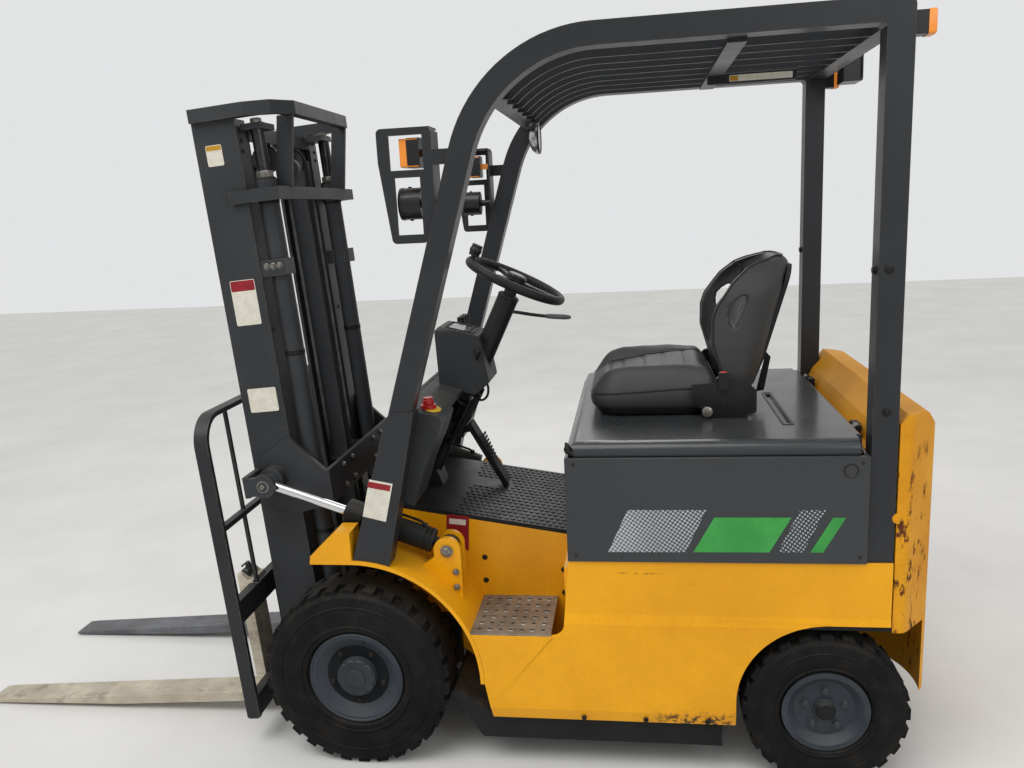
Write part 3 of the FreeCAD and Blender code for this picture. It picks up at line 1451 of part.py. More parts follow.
clevis_pin = rod("mast_clevis_pin", "X", ("tilt_x - tilt_eye/2 - 10", "tilt_x + tilt_eye/2 + 22"), ("-clevis_y", "clevis_z"), "tilt_pin")
clevis_cap = rod(
    "mast_clevis_cap", "X", ("tilt_x + tilt_eye/2 + 2", "tilt_x + tilt_eye/2 + 2 + tilt_ear"), ("-clevis_y", "clevis_z"), "38"
)
clevis_strap = plate(
    "mast_clevis_strap",
    "YZ",
    ("mast_out + 10", "tilt_x + tilt_eye/2 + 2 + tilt_ear"),
    [
        ("-clevis_y - 64", "clevis_z - 34"),
        ("-clevis_y - 64", "clevis_z + 34"),
        ("-clevis_y - 46", "clevis_z + 34"),
        ("-clevis_y - 46", "clevis_z - 34"),
    ],
)
cap_web = block(
    "mast_clevis_web",
    ("tilt_x + tilt_eye/2 + 2", "tilt_x + tilt_eye/2 + 2 + tilt_ear"),
    ("-clevis_y - 60", "-clevis_y"),
    ("clevis_z - 30", "clevis_z + 30"),
)
tie_side = block("mast_tie_side", ("mast_out - 1", "mast_out + 15"), ("-mast_back - 53", "-cross_y + 5"), ("tie_z", "tie_z + tie_high"))
clamp_block = cut(
    "mast_clamp",
    block(
        "mast_clamp_block",
        ("mast_in + 2", "mast_out - 4"),
        ("-mast_back - 1", "-lift_y + lift_r + 8"),
        ("clamp_z", "clamp_z + clamp_high"),
    ),
    rod("mast_clamp_bore", "Z", ("clamp_z - 5", "clamp_z + clamp_high + 5"), ("lift_x", "-lift_y"), "lift_r + gap/2"),
)
seat_plate = block(
    "mast_lift_seat",
    ("mast_in", "mast_out"),
    ("-mast_back - 1", "-lift_y + lift_r + 10"),
    ("lift_low - 24", "lift_low"),
)
column_left = cut(
    "mast_column_left",
    fuse(
        "mast_column_form",
        channel,
        wear_pad,
        foot_plate,
        foot_ring,
        gusset,
        clevis_inner,
        clevis_pin,
        clevis_cap,
        clevis_strap,
        cap_web,
        tie_side,
        clamp_block,
        seat_plate,
    ),
    foot_bore,
)
bow = plate(
    "mast_bow",
    "XY",
    ("mast_high", "mast_high + bow_high"),
    [
        ("mast_out - mast_web", "-mast_front"),
        ("mast_out + 20", "-mast_front + 4"),
        ("mast_out + 25", "-lift_y - 6"),
        ("mast_out - 3", "-lift_y + 69", "20"),
        ("mast_out - 87", "-14", "20"),
        ("-mast_out + 87", "-14", "20"),
        ("-mast_out + 3", "-lift_y + 69", "20"),
        ("-mast_out - 25", "-lift_y - 6"),
        ("-mast_out - 20", "-mast_front + 4"),
        ("-mast_out + mast_web", "-mast_front"),
        ("-mast_out + mast_web", "-lift_y + 28"),
        ("-mast_out + 40", "-lift_y + 68"),
        ("-mast_out + 100", "-45"),
        ("mast_out - 100", "-45"),
        ("mast_out - 40", "-lift_y + 68"),
        ("mast_out - mast_web", "-lift_y + 28"),
    ],
)
tie_back = block(
    "mast_tie_back", ("-mast_out - 15", "mast_out + 15"), ("-cross_y - 10", "-cross_y + 5"), ("tie_z", "tie_z + tie_high")
)
cross_plate = block(
    "mast_cross_plate",
    ("-mast_out - 15", "mast_out + 15"),
    ("-cross_y - 2", "-cross_y + 12"),
    ("cross_z", "cross_z + cross_high"),
)
base_tie = block(
    "mast_base_tie", ("-mast_in - 2", "mast_in + 2"), ("-mast_back - 1", "-lift_y + 30"), ("lift_low - 24", "lift_low")
)
leaned(
    "mast_outer",
    fuse("mast_outer_form", column_left, mirror("mast_column_right", column_left), bow, tie_back, cross_plate, base_tie),
)

# Lift cylinders on the outer mast, and their rods on the inner mast.
lift_barrel = cut(
    "lift_barrel",
    fuse(
        "lift_barrel_form",
        rod("lift_tube", "Z", ("lift_low", "lift_high"), ("lift_x", "-lift_y"), "lift_r"),
        rod("lift_gland", "Z", ("lift_high - 40", "lift_high + 8"), ("lift_x", "-lift_y"), "lift_r + 4"),
    ),
    rod("lift_bore", "Z", ("lift_low + 100", "lift_high + 20"), ("lift_x", "-lift_y"), "lift_rod + gap"),
)
leaned("lift_cylinders", *both(lift_barrel))
lift_rod_form = rod("lift_rod_form", "Z", ("lift_low + 110", "stage_high - 22"), ("lift_x", "-lift_y"), "lift_rod")
leaned("lift_rods", *both(lift_rod_form))

# Inner mast: two rolled columns, ties at the back, crossheads over the rods and the chain sheaves.
stage_column = plate(
    "stage_column",
    "XY",
    ("stage_low", "stage_high"),
    [
        ("stage_in", "-stage_front"),
        ("stage_out", "-stage_front"),
        ("stage_out", "-stage_front + 10"),
        ("(stage_in + stage_out)/2 + stage_web/2", "-stage_front + 10"),
        ("(stage_in + stage_out)/2 + stage_web/2", "-stage_back - 10"),
        ("stage_out", "-stage_back - 10"),
        ("stage_out", "-stage_back"),
        ("stage_in", "-stage_back"),
        ("stage_in", "-stage_back - 10"),
        ("(stage_in + stage_out)/2 - stage_web/2", "-stage_back - 10"),
        ("(stage_in + stage_out)/2 - stage_web/2", "-stage_front + 10"),
        ("stage_in", "-stage_front + 10"),
    ],
)
crosshead = block(
    "stage_crosshead",
    ("mast_in - 22", "lift_x + lift_rod + 3"),
    ("-mast_back + pad_gap", "-lift_y + lift_rod + 3"),
    ("stage_high - 22", "stage_high - 4"),
)
crosshead_root = block(
    "stage_crosshead_root",
    ("stage_in", "mast_in - pad_gap"),
    ("-stage_back - 6", "-lift_y + lift_rod + 3"),
    ("stage_high - 22", "stage_high - 4"),
)
stage_left = fuse("stage_left", stage_column, crosshead, crosshead_root)


def stage_tie(name, low, high):
    return block(name, ("-mast_in + 6", "mast_in - 6"), ("-stage_back - 2", "-tie_back"), (low, high))


sheave_parts = []
for side in ("inner", "outer"):
    sign = "-1" if side == "inner" else "1"
    sheave_parts.append(
        block(
            f"sheave_cheek_{side}",
            (f"chain_x + {sign}*(chain_wide/2 + 6) - 4", f"chain_x + {sign}*(chain_wide/2 + 6) + 4"),
            ("-sheave_y - 14", "-sheave_y + 14"),
            ("sheave_z - 18", "stage_high - 40"),
        )
    )
sheave = fuse(
    "sheave_left",
    rod(
        "sheave_disc",
        "X",
        ("chain_x - chain_wide/2 - 1", "chain_x + chain_wide/2 + 1"),
        ("-sheave_y", "sheave_z"),
        "sheave_r",
    ),
    rod(
        "sheave_pin",
        "X",
        ("chain_x - chain_wide/2 - 12", "chain_x + chain_wide/2 + 12"),
        ("-sheave_y", "sheave_z"),
        "9",
    ),
    *sheave_parts,
)
pulley = fuse(
    "hose_pulley_form",
    rod("hose_pulley", "X", ("16", "44"), ("-sheave_y + 44", "sheave_z - 32"), "34"),
    block("hose_pulley_stay", ("8", "17"), ("-sheave_y - 4", "-sheave_y + 56"), ("sheave_z - 44", "sheave_z - 20")),
    block("hose_pulley_hanger", ("8", "17"), ("-sheave_y - 10", "-sheave_y + 14"), ("sheave_z - 44", "stage_high - 40")),
)
leaned(
    "mast_inner",
    fuse(
        "mast_inner_form",
        stage_left,
        mirror("stage_right", stage_left),
        stage_tie("stage_tie_low", "stage_low + 60", "stage_low + 150"),
        stage_tie("stage_tie_high", "stage_high - 46", "stage_high - 2"),
        sheave,
        mirror("sheave_right", sheave),
        pulley,
    ),
)

# Chains: the front run to the carriage and the rear run, made of two strands that pass each other.
chain_front = block(
    "chain_front_run",
    ("chain_x - chain_wide/2", "chain_x + chain_wide/2"),
    ("-sheave_y - sheave_r - chain_deep - gap", "-sheave_y - sheave_r - gap"),
    ("upper_low + 8", "sheave_z"),
)
leaned("chain_front", *both(chain_front))
strand_y = "-sheave_y + sheave_r + gap"
moving = block(
    "chain_moving_run",
    ("chain_x - chain_wide/2", "chain_x + chain_wide/2"),
    (strand_y, f"{strand_y} + chain_deep"),
    ("strand_low", "sheave_z"),
)
over = cut(
    "chain_over",
    common(
        "chain_over_part",
        rod(
            "chain_over_form",
            "X",
            ("chain_x - chain_wide/2", "chain_x + chain_wide/2"),
            ("-sheave_y", "sheave_z"),
            "sheave_r + gap + chain_deep",
        ),
        block(
            "chain_over_keep",
            ("chain_x - chain_wide/2 - 1", "chain_x + chain_wide/2 + 1"),
            ("-sheave_y - 80", "-sheave_y + 80"),
            ("sheave_z", "sheave_z + 80"),
        ),
    ),
    rod(
        "chain_over_bore",
        "X",
        ("chain_x - chain_wide/2 - 5", "chain_x + chain_wide/2 + 5"),
        ("-sheave_y", "sheave_z"),
        "sheave_r + gap",
    ),
)
leaned("chain_moving", *both(fuse("chain_moving_form", moving, over)))
fixed = block(
    "chain_fixed_run",
    ("chain_x - chain_wide/2", "chain_x + chain_wide/2"),
    (f"{strand_y} + chain_deep + gap", f"{strand_y} + 2*chain_deep + gap"),
    ("cross_z + 20", "sheave_z"),
)
anchor = block(
    "chain_anchor",
    ("chain_x - chain_wide/2 - 6", "chain_x + chain_wide/2 + 6"),
    (f"{strand_y} + 2*chain_deep + gap - 1", "-cross_y - 2"),
    ("cross_z + 20", "cross_z + 90"),
)
leaned("chain_fixed", *both(fuse("chain_fixed_form", fixed, anchor)))

# Carriage: two bars, the roller cheeks and the chain crosspiece.
carriage_parts = [
    block(
        f"carriage_bar_{name}",
        ("-carriage_half", "carriage_half"),
        ("-carriage_front", "-carriage_front + carriage_bar"),
        (low, high),
    )
    for name, low, high in (("upper", "upper_low", "upper_high"), ("lower", "lower_low", "lower_high"))
]
cheek = block(
    "carriage_cheek",
    ("cheek_in", "cheek_out"),
    ("-carriage_front + carriage_bar - 1", "-stage_back - 17"),
    ("lower_low", "upper_high"),
)
roller_r = "(stage_front - stage_back)/2 - 10 - gap"
rollers = [
    rod(f"carriage_roller_{name}", "X", ("cheek_out - 2", "(stage_in + stage_out)/2 - stage_web/2 - 5"), ("-slot_mid", z), roller_r)
    for name, z in (("low", "lower_low + 82"), ("high", "upper_high - 65"))
]
cheek_left = fuse("carriage_side_left", cheek, *rollers)
chain_shelf = block(
    "carriage_shelf",
    ("-cheek_in - 1", "cheek_in + 1"),
    ("-sheave_y - sheave_r - 30", "-sheave_y - sheave_r - pad_gap"),
    ("upper_low - 25", "upper_low"),
)
chain_lug = block(
    "carriage_chain_lug",
    ("chain_x - chain_wide/2", "chain_x + chain_wide/2"),
    ("-sheave_y - sheave_r - chain_deep - gap", "-sheave_y - sheave_r - gap"),
    ("upper_low - 1", "upper_low + 8"),
)
leaned(
    "carriage",
    fuse(
        "carriage_form",
        *carriage_parts,
        cheek_left,
        mirror("carriage_side_right", cheek_left),
        chain_shelf,
        *both(chain_lug),
    ),
)

# Load backrest.
rest_span = ("-carriage_front + 4", "-carriage_front + 49")
rest_frame = plate(
    "rest_frame",
    "XZ",
    rest_span,
    [
        ("rest_out", "rest_low"),
        ("rest_out", "rest_high", "rest_round"),
        ("-rest_out", "rest_high", "rest_round"),
        ("-rest_out", "rest_low"),
        ("-rest_out + rest_post", "rest_low"),
        ("-rest_out + rest_post", "rest_high - rest_post", "rest_round - rest_post"),
        ("rest_out - rest_post", "rest_high - rest_post", "rest_round - rest_post"),
        ("rest_out - rest_post", "rest_low"),
    ],
)
rest_rail = block(
    "rest_rail",
    ("-rest_out + 4", "rest_out - 4"),
    ("-carriage_front + 14", "-carriage_front + 40"),
    ("rest_rail - 9", "rest_rail + 9"),
)
rest_bars = [
    block(
        f"rest_bar_{number}",
        (f"{place} - 7", f"{place} + 7"),
        ("-carriage_front + 21", "-carriage_front + carriage_bar"),
        ("upper_high", "rest_high - 4"),
    )
    for number, place in enumerate(("-300", "-100", "100", "300"))
]
leaned("backrest", fuse("backrest_form", rest_frame, rest_rail, *rest_bars))

# Forks, with a hook over the upper bar and one under the lower bar.
fork = plate(
    "fork_form",
    "YZ",
    ("fork_x - fork_wide/2", "fork_x + fork_wide/2"),
    [
        ("-carriage_front - gap", "fork_top - 24"),
        ("-carriage_front - fork_sheet*0.6", "fork_top"),
        ("-fork_face", "fork_top"),
        ("-fork_face", "blade_z", "18"),
        ("-fork_face - fork_long + 30", "blade_z"),
        ("-fork_face - fork_long", "blade_z - 2"),
        ("-fork_face - fork_long", "blade_z - fork_tip + 2"),
        ("-fork_face - fork_long*0.5", "blade_z - fork_sheet + 4"),
        ("-carriage_front - gap", "blade_z - fork_sheet", "40"),
    ],
)
fork_hook = plate(
    "fork_hook",
    "YZ",
    ("fork_x - fork_wide/2", "fork_x + fork_wide/2"),
    [
        ("-carriage_front - 2", "upper_high + gap"),
        ("-carriage_front - 2", "fork_top - 24"),
        ("-carriage_front + 15", "fork_top - 24"),
        ("-carriage_front + 15", "upper_high + gap"),
    ],
)
fork_left = fuse("fork_left_form", fork, fork_hook)
leaned("fork_left", fork_left)
leaned("fork_right", mirror("fork_right_form", fork_left))

# Tilt cylinders, drawn along minus Y from the lug pin.
half_eye = ("-tilt_eye/2", "tilt_eye/2")
barrel = cut(
    "tilt_barrel_form",
    fuse(
        "tilt_barrel_solid",
        rod("tilt_tube", "Y", ("-tilt_barrel", "-50"), ("0", "0"), "tilt_r"),
        rod("tilt_neck", "Y", ("-52", "-20"), ("0", "0"), "16"),
        rod("tilt_gland", "Y", ("-tilt_barrel - 4", "-tilt_barrel + 50"), ("0", "0"), "tilt_r + 5"),
        rod("tilt_end_eye", "X", half_eye, ("0", "0"), "32"),
    ),
    rod("tilt_bore", "Y", ("-tilt_barrel - 10", "-tilt_barrel + 270"), ("0", "0"), "tilt_rod + gap"),
    rod("tilt_end_bore", "X", ("-tilt_eye", "tilt_eye"), ("0", "0"), "tilt_pin + gap"),
)
rod_form = cut(
    "tilt_rod_form",
    fuse(
        "tilt_rod_solid",
        rod("tilt_rod_bar", "Y", ("-tilt_long + 20", "-tilt_barrel + tilt_held"), ("0", "0"), "tilt_rod"),
        rod("tilt_rod_eye", "X", half_eye, ("-tilt_long", "0"), "30"),
    ),
    rod("tilt_rod_bore", "X", ("-tilt_eye", "tilt_eye"), ("-tilt_long", "0"), "tilt_pin + eye_play"),
)
for side, place in (("left", "tilt_x"), ("right", "-tilt_x")):
    aimed(f"tilt_barrel_{side}", "lug_y", "lug_z", "tilt_up", barrel, x=place)
    aimed(f"tilt_rod_{side}", "lug_y", "lug_z", "tilt_up", rod_form, x=place)

# Seat on the hood: rails and side covers, cushion, back and buckle.
rail = block("seat_rail", ("130", "170"), ("790", "1240"), ("hood_top + gap", "seat_low - gap"))
seat_pan = block("seat_pan", ("-171", "171"), ("820", "1100"), ("seat_low - 10", "seat_low - gap"))
cover_left = plate(
    "seat_cover",
    "YZ",
    ("seat_half + 2", "seat_half + 18"),
    [
        ("1092", "seat_low + 4", "12"),
        ("1242", "seat_low - 8", "12"),
        ("1242", "seat_low + 70", "20"),
        ("1130", "seat_low + 112", "20"),
        ("1089", "seat_low + 60", "12"),
    ],
)
cover_stay = block("seat_cover_stay", ("168", "seat_half + 4"), ("1150", "1220"), ("seat_low - 12", "seat_low - 4"))
cover_rise = block("seat_cover_rise", ("seat_half + 2", "seat_half + 4"), ("1150", "1220"), ("seat_low - 12", "seat_low + 10"))
cover_boss = rod(
    "seat_cover_boss", "X", ("back_half + gap", "seat_half + 4"), ("seat_back_y + 30", "seat_low + 72"), "14"
)
seat_side = fuse("seat_side_left", rail, cover_left, cover_stay, cover_rise, cover_boss)
node("seat_base", fuse("seat_base_form", seat_side, mirror("seat_side_right", seat_side), seat_pan))
cushion_side = plate(
    "cushion_side",
    "YZ",
    ("-seat_half", "seat_half"),
    [
        ("seat_front + 14", "seat_low"),
        ("seat_front", "seat_low + 56", "24"),
        ("seat_front + 30", "seat_high - 16", "40"),
        ("seat_front + 130", "seat_high", "60"),
        ("seat_back_y - 60", "seat_high - 44", "60"),
        ("seat_back_y", "seat_high - 34", "14"),
        ("seat_back_y", "seat_low"),
    ],
)
cushion_plan = plate(
    "cushion_plan",
    "XY",
    ("seat_low", "seat_high"),
    [
        ("-seat_half", "seat_front", "90"),
        ("seat_half", "seat_front", "90"),
        ("seat_half", "seat_back_y", "30"),
        ("-seat_half", "seat_back_y", "30"),
    ],
)
node("seat_cushion", common("cushion_form", cushion_side, cushion_plan))
back_side = plate(
    "back_side",
    "YZ",
    ("-back_half", "back_half"),
    [
        ("seat_back_y + 6", "seat_low + 60"),
        ("seat_back_y + 3", "seat_low + 122"),
        ("seat_back_y - 16", "seat_low + 170", "40"),
        ("seat_back_y - 58", "seat_low + 312", "60"),
        ("seat_back_y + 20", "back_high - 40", "90"),
        ("seat_back_y + 95", "back_high", "40"),
        ("seat_back_y + 216", "back_high - 8", "30"),
        ("seat_back_y + 222", "back_high - 53"),
        ("seat_back_y + 153", "seat_low + 174"),
        ("seat_back_y + 110", "seat_low + 40"),
    ],
)
back_face = plate(
    "back_face",
    "XZ",
    ("seat_back_y - 80", "seat_back_y + 240"),
    [
        ("-back_half", "seat_low + 30", "30"),
        ("-back_half", "seat_low + 200", "60"),
        ("-back_half + 26", "back_high", "120"),
        ("back_half - 26", "back_high", "120"),
        ("back_half", "seat_low + 200", "60"),
        ("back_half", "seat_low + 30", "30"),
    ],
)
back_hollow = plate(
    "back_hollow",
    "YZ",
    ("-back_dish", "back_dish"),
    [
        ("seat_back_y - 100", "seat_low + 20"),
        ("seat_back_y + 52", "seat_low + 20"),
        ("seat_back_y + 130", "back_high - 92", "60"),
        ("seat_back_y + 60", "back_high - 20", "30"),
        ("seat_back_y - 100", "back_high + 10"),
    ],
)
slits = []
for number, (low_y, low_z) in enumerate((("seat_back_y + 24", "seat_low + 248"), ("seat_back_y + 66", "seat_low + 226"))):
    slits.append(
        plate(
            f"back_slit_{number}",
            "YZ",
            ("-back_half - 5", "back_half + 5"),
            [
                (low_y, low_z),
                (f"{low_y} + 16", f"{low_z} - 4"),
                (f"{low_y} + 60", f"{low_z} + 96"),
                (f"{low_y} + 44", f"{low_z} + 104"),
            ],
        )
    )
node("seat_back", cut("back_form", common("back_solid", back_side, back_face), back_hollow, *slits))
node(
    "seat_buckle",
    fuse(
        "buckle_form",
        block("buckle_head", ("seat_half + 18 + gap", "seat_half + 36"), ("1128", "1158"), ("seat_low + 70", "seat_low + 124")),
        block("buckle_stalk", ("seat_half + 18 + gap", "seat_half + 24"), ("1134", "1152"), ("seat_low + 20", "seat_low + 74")),
    ),
)

doc.recompute()

faults = []
for thing in doc.Objects:
    if "Invalid" in thing.State or "Error" in thing.State:
        faults.append(f"{thing.Label}: {thing.State}")
for label, thing in NODES.items():
    if thing.Shape.isNull() or not thing.Shape.isValid() or not thing.Shape.Solids:
        faults.append(f"{label}: shape is null, not valid or has no solid")
if faults:
    raise SystemExit("the model has faults\n" + "\n".join(faults))

os.makedirs("parts", exist_ok=True)
for label, thing in sorted(NODES.items()):
    thing.Shape.exportStep(f"parts/{label}.step")
    box = thing.Shape.BoundBox
    corners = f"{box.XMin:.0f} {box.YMin:.0f} {box.ZMin:.1f} to {box.XMax:.0f} {box.YMax:.0f} {box.ZMax:.0f}"
    print(f"{label}: {len(thing.Shape.Solids)} solids, {thing.Shape.Volume / 1e6:.3f} litres, {corners}")
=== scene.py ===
"""Dresses a battery forklift truck: finishes, small pieces and the soft seat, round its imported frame."""

import logging
import math
import random
from dataclasses import dataclass, field
from enum import Enum
from typing import Callable, Sequence

import bmesh
import bpy
from mathutils import Matrix, Vector, noise
from mathutils.geometry import tessellate_polygon


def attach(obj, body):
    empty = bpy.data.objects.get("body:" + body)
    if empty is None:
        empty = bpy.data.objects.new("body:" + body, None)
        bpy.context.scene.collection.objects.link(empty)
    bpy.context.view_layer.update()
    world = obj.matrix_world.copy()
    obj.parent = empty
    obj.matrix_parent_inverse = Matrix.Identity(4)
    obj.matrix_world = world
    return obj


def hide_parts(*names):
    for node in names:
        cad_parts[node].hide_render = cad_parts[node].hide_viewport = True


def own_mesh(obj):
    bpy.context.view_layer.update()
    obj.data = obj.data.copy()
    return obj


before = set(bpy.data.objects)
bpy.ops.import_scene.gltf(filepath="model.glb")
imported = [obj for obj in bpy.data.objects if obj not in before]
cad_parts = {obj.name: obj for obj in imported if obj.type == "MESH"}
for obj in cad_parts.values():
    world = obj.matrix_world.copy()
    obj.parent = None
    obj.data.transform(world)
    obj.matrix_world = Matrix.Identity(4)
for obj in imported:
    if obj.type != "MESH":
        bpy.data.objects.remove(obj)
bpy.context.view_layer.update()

Colour = tuple[float, float, float]
Point = Sequence[float]
Socket = bpy.types.NodeSocket

LOG = logging.getLogger("forklift")
SHIFT_Y = -109.351146
LEAN = math.radians(3.98)
AXLE_Z = 295.0
COLUMN_LEAN = math.radians(26.0)
TILT_UP = math.radians(20.3)
# Millimetres from the middle of the front axle's track, into the row frame's metres.
TRUCK = Matrix.Scale(0.001, 4) @ Matrix.Translation((0, SHIFT_Y, 0))
# The same for the mast, which is drawn upright and leans forward as it is parked.
MAST = (
    TRUCK
    @ Matrix.Translation((0, 0, AXLE_Z))
    @ Matrix.Rotation(LEAN, 4, "X")
    @ Matrix.Translation((0, 0, -AXLE_Z))
)
# The steering wheel's own axis, with the wheel's middle as zero.
COLUMN = TRUCK @ Matrix.Translation((0, 486, 1464)) @ Matrix.Rotation(-COLUMN_LEAN, 4, "X")


class Axis(Enum):
    """The direction that a shape is drawn along."""

    X = "X"
    Y = "Y"
    Z = "Z"

    def spot(self, along: float, first: float, second: float) -> Vector:
        """The point with that place along the axis and those two places across it."""
        if self is Axis.X:
            return Vector((along, first, second))
        if self is Axis.Y:
            return Vector((first, along, second))
        return Vector((first, second, along))


def linear(colour: Colour) -> tuple[float, float, float, float]:
    """Turns a colour as seen, 0 to 255 a channel, into the shader's linear values.

    Args:
        colour: Red, green and blue as seen.

    Returns:
        The linear colour with full cover.
    """
    parts = []
    for part in colour:
        share = part / 255
        parts.append(share / 12.92 if share <= 0.04045 else ((share + 0.055) / 1.055) ** 2.4)
    return (parts[0], parts[1], parts[2], 1.0)


def between(value: float, table: Sequence[tuple[float, float]]) -> float:
    """Reads a table of pairs at a value, smoothly between its rows.

    Args:
        value: Where the table is read.
        table: Pairs of place and result, in rising order of place.

    Returns:
        The result at that value.
    """
    if value <= table[0][0]:
        return table[0][1]
    for (low, first), (high, second) in zip(table, table[1:]):
        if value <= high:
            share = (value - low) / (high - low)
            return first + (second - first) * share
    return table[-1][1]


class Shader:
    """A node tree that a finish fills in."""

    def __init__(self, name: str) -> None:
        """Starts a material of that name with one surface shader."""
        self.material = bpy.data.materials.new(name)
        self.material.use_nodes = True
        self.tree = self.material.node_tree
        self.tree.nodes.clear()
        self.surface = self.tree.nodes.new("ShaderNodeBsdfPrincipled")
        output = self.tree.nodes.new("ShaderNodeOutputMaterial")
        self.tree.links.new(self.surface.outputs[0], output.inputs[0])
        self.place = self.tree.nodes.new("ShaderNodeTexCoord").outputs["Object"]
        self.normal = self.tree.nodes.new("ShaderNodeNewGeometry").outputs["Normal"]

    def add(self, kind: str, inputs: dict, output: int | str = 0, **settings: object) -> Socket:
        """Adds a node and feeds its sockets.

        Args:
            kind: The node's type.
            inputs: Socket name or number, and a value or a socket for it.
            output: The output that is handed back.
            **settings: Properties of the node itself.

        Returns:
            That output socket.
        """
        node = self.tree.nodes.new(kind)
        for key, value in settings.items():
            setattr(node, key, value)
        for key, value in inputs.items():
            if isinstance(value, bpy.types.NodeSocket):
                self.tree.links.new(value, node.inputs[key])
            else:
                node.inputs[key].default_value = value
        return node.outputs[output]

    def noise(self, scale: float, detail: float = 3.0, rough: float = 0.55, stretch: Point = (1, 1, 1)) -> Socket:
        """Cloudy noise over the piece.

        Args:
            scale: Clouds to the metre.
            detail: Layers of finer noise.
            rough: Strength of the finer layers.
            stretch: Scale of each direction.

        Returns:
            The noise, near 0.3 to 0.7.
        """
        place = self.place
        if tuple(stretch) != (1, 1, 1):
            place = self.add("ShaderNodeMapping", {"Vector": place, "Scale": tuple(stretch)})
        return self.add("ShaderNodeTexNoise", {"Vector": place, "Scale": scale, "Detail": detail, "Roughness": rough})

    def span(self, value: Socket, low: float, high: float, start: float = 0.0, end: float = 1.0) -> Socket:
        """Maps low..high to start..end, held at both ends.

        Args:
            value: The socket that is read.
            low: Value that gives start.
            high: Value that gives end.
            start: Result at low.
            end: Result at high.

        Returns:
            The mapped value.
        """
        inputs = {"Value": value, "From Min": low, "From Max": high, "To Min": start, "To Max": end}
        return self.add("ShaderNodeMapRange", inputs)

    def times(self, first: Socket, second: Socket | float) -> Socket:
        """The product of two values."""
        return self.add("ShaderNodeMath", {0: first, 1: second}, operation="MULTIPLY")

    def most(self, first: Socket, second: Socket) -> Socket:
        """The larger of two values."""
        return self.add("ShaderNodeMath", {0: first, 1: second}, operation="MAXIMUM")

    def part(self, name: str) -> Socket:
        """The place along X, Y or Z, in metres."""
        return self.add("ShaderNodeSeparateXYZ", {0: self.place}, name)

    def within(self, name: str, low: float, high: float, soft: float) -> Socket:
        """One where the place along an axis is between two values, and nought outside.

        Args:
            name: X, Y or Z.
            low: Start of the zone, in metres.
            high: End of the zone.
            soft: Width over which it fades.

        Returns:
            The zone as a mask.
        """
        place = self.part(name)
        rise = self.span(place, low - soft, low)
        return self.times(rise, self.span(place, high, high + soft, 1.0, 0.0))

    def mix(self, share: Socket | float, first: object, second: object) -> Socket:
        """Mixes two colours.

        Args:
            share: Share of the second.
            first: Colour or socket.
            second: Colour or socket.

        Returns:
            The mixed colour.
        """
        return self.add("ShaderNodeMix", {0: share, 6: first, 7: second}, 2, data_type="RGBA")

    def blend(self, share: Socket, first: Socket | float, second: Socket | float) -> Socket:
        """Mixes two values by a share of the second."""
        return self.add("ShaderNodeMix", {0: share, 2: first, 3: second}, 0, data_type="FLOAT")

    def upward(self) -> Socket:
        """One on faces that look up, where dust settles."""
        return self.span(self.add("ShaderNodeSeparateXYZ", {0: self.normal}, "Z"), 0.35, 0.95)

    def edges(self, radius: float) -> Socket:
        """One along edges within a radius in metres."""
        rounded = self.add("ShaderNodeBevel", {"Radius": radius}, samples=3)
        facing = self.add("ShaderNodeVectorMath", {0: rounded, 1: self.normal}, "Value", operation="DOT_PRODUCT")
        return self.span(facing, 0.99, 0.86)


@dataclass
class Coat:
    """What a finish has worked out so far: colour, roughness, metal and height."""

    colour: Socket
    rough: Socket
    metal: Socket | float
    height: Socket


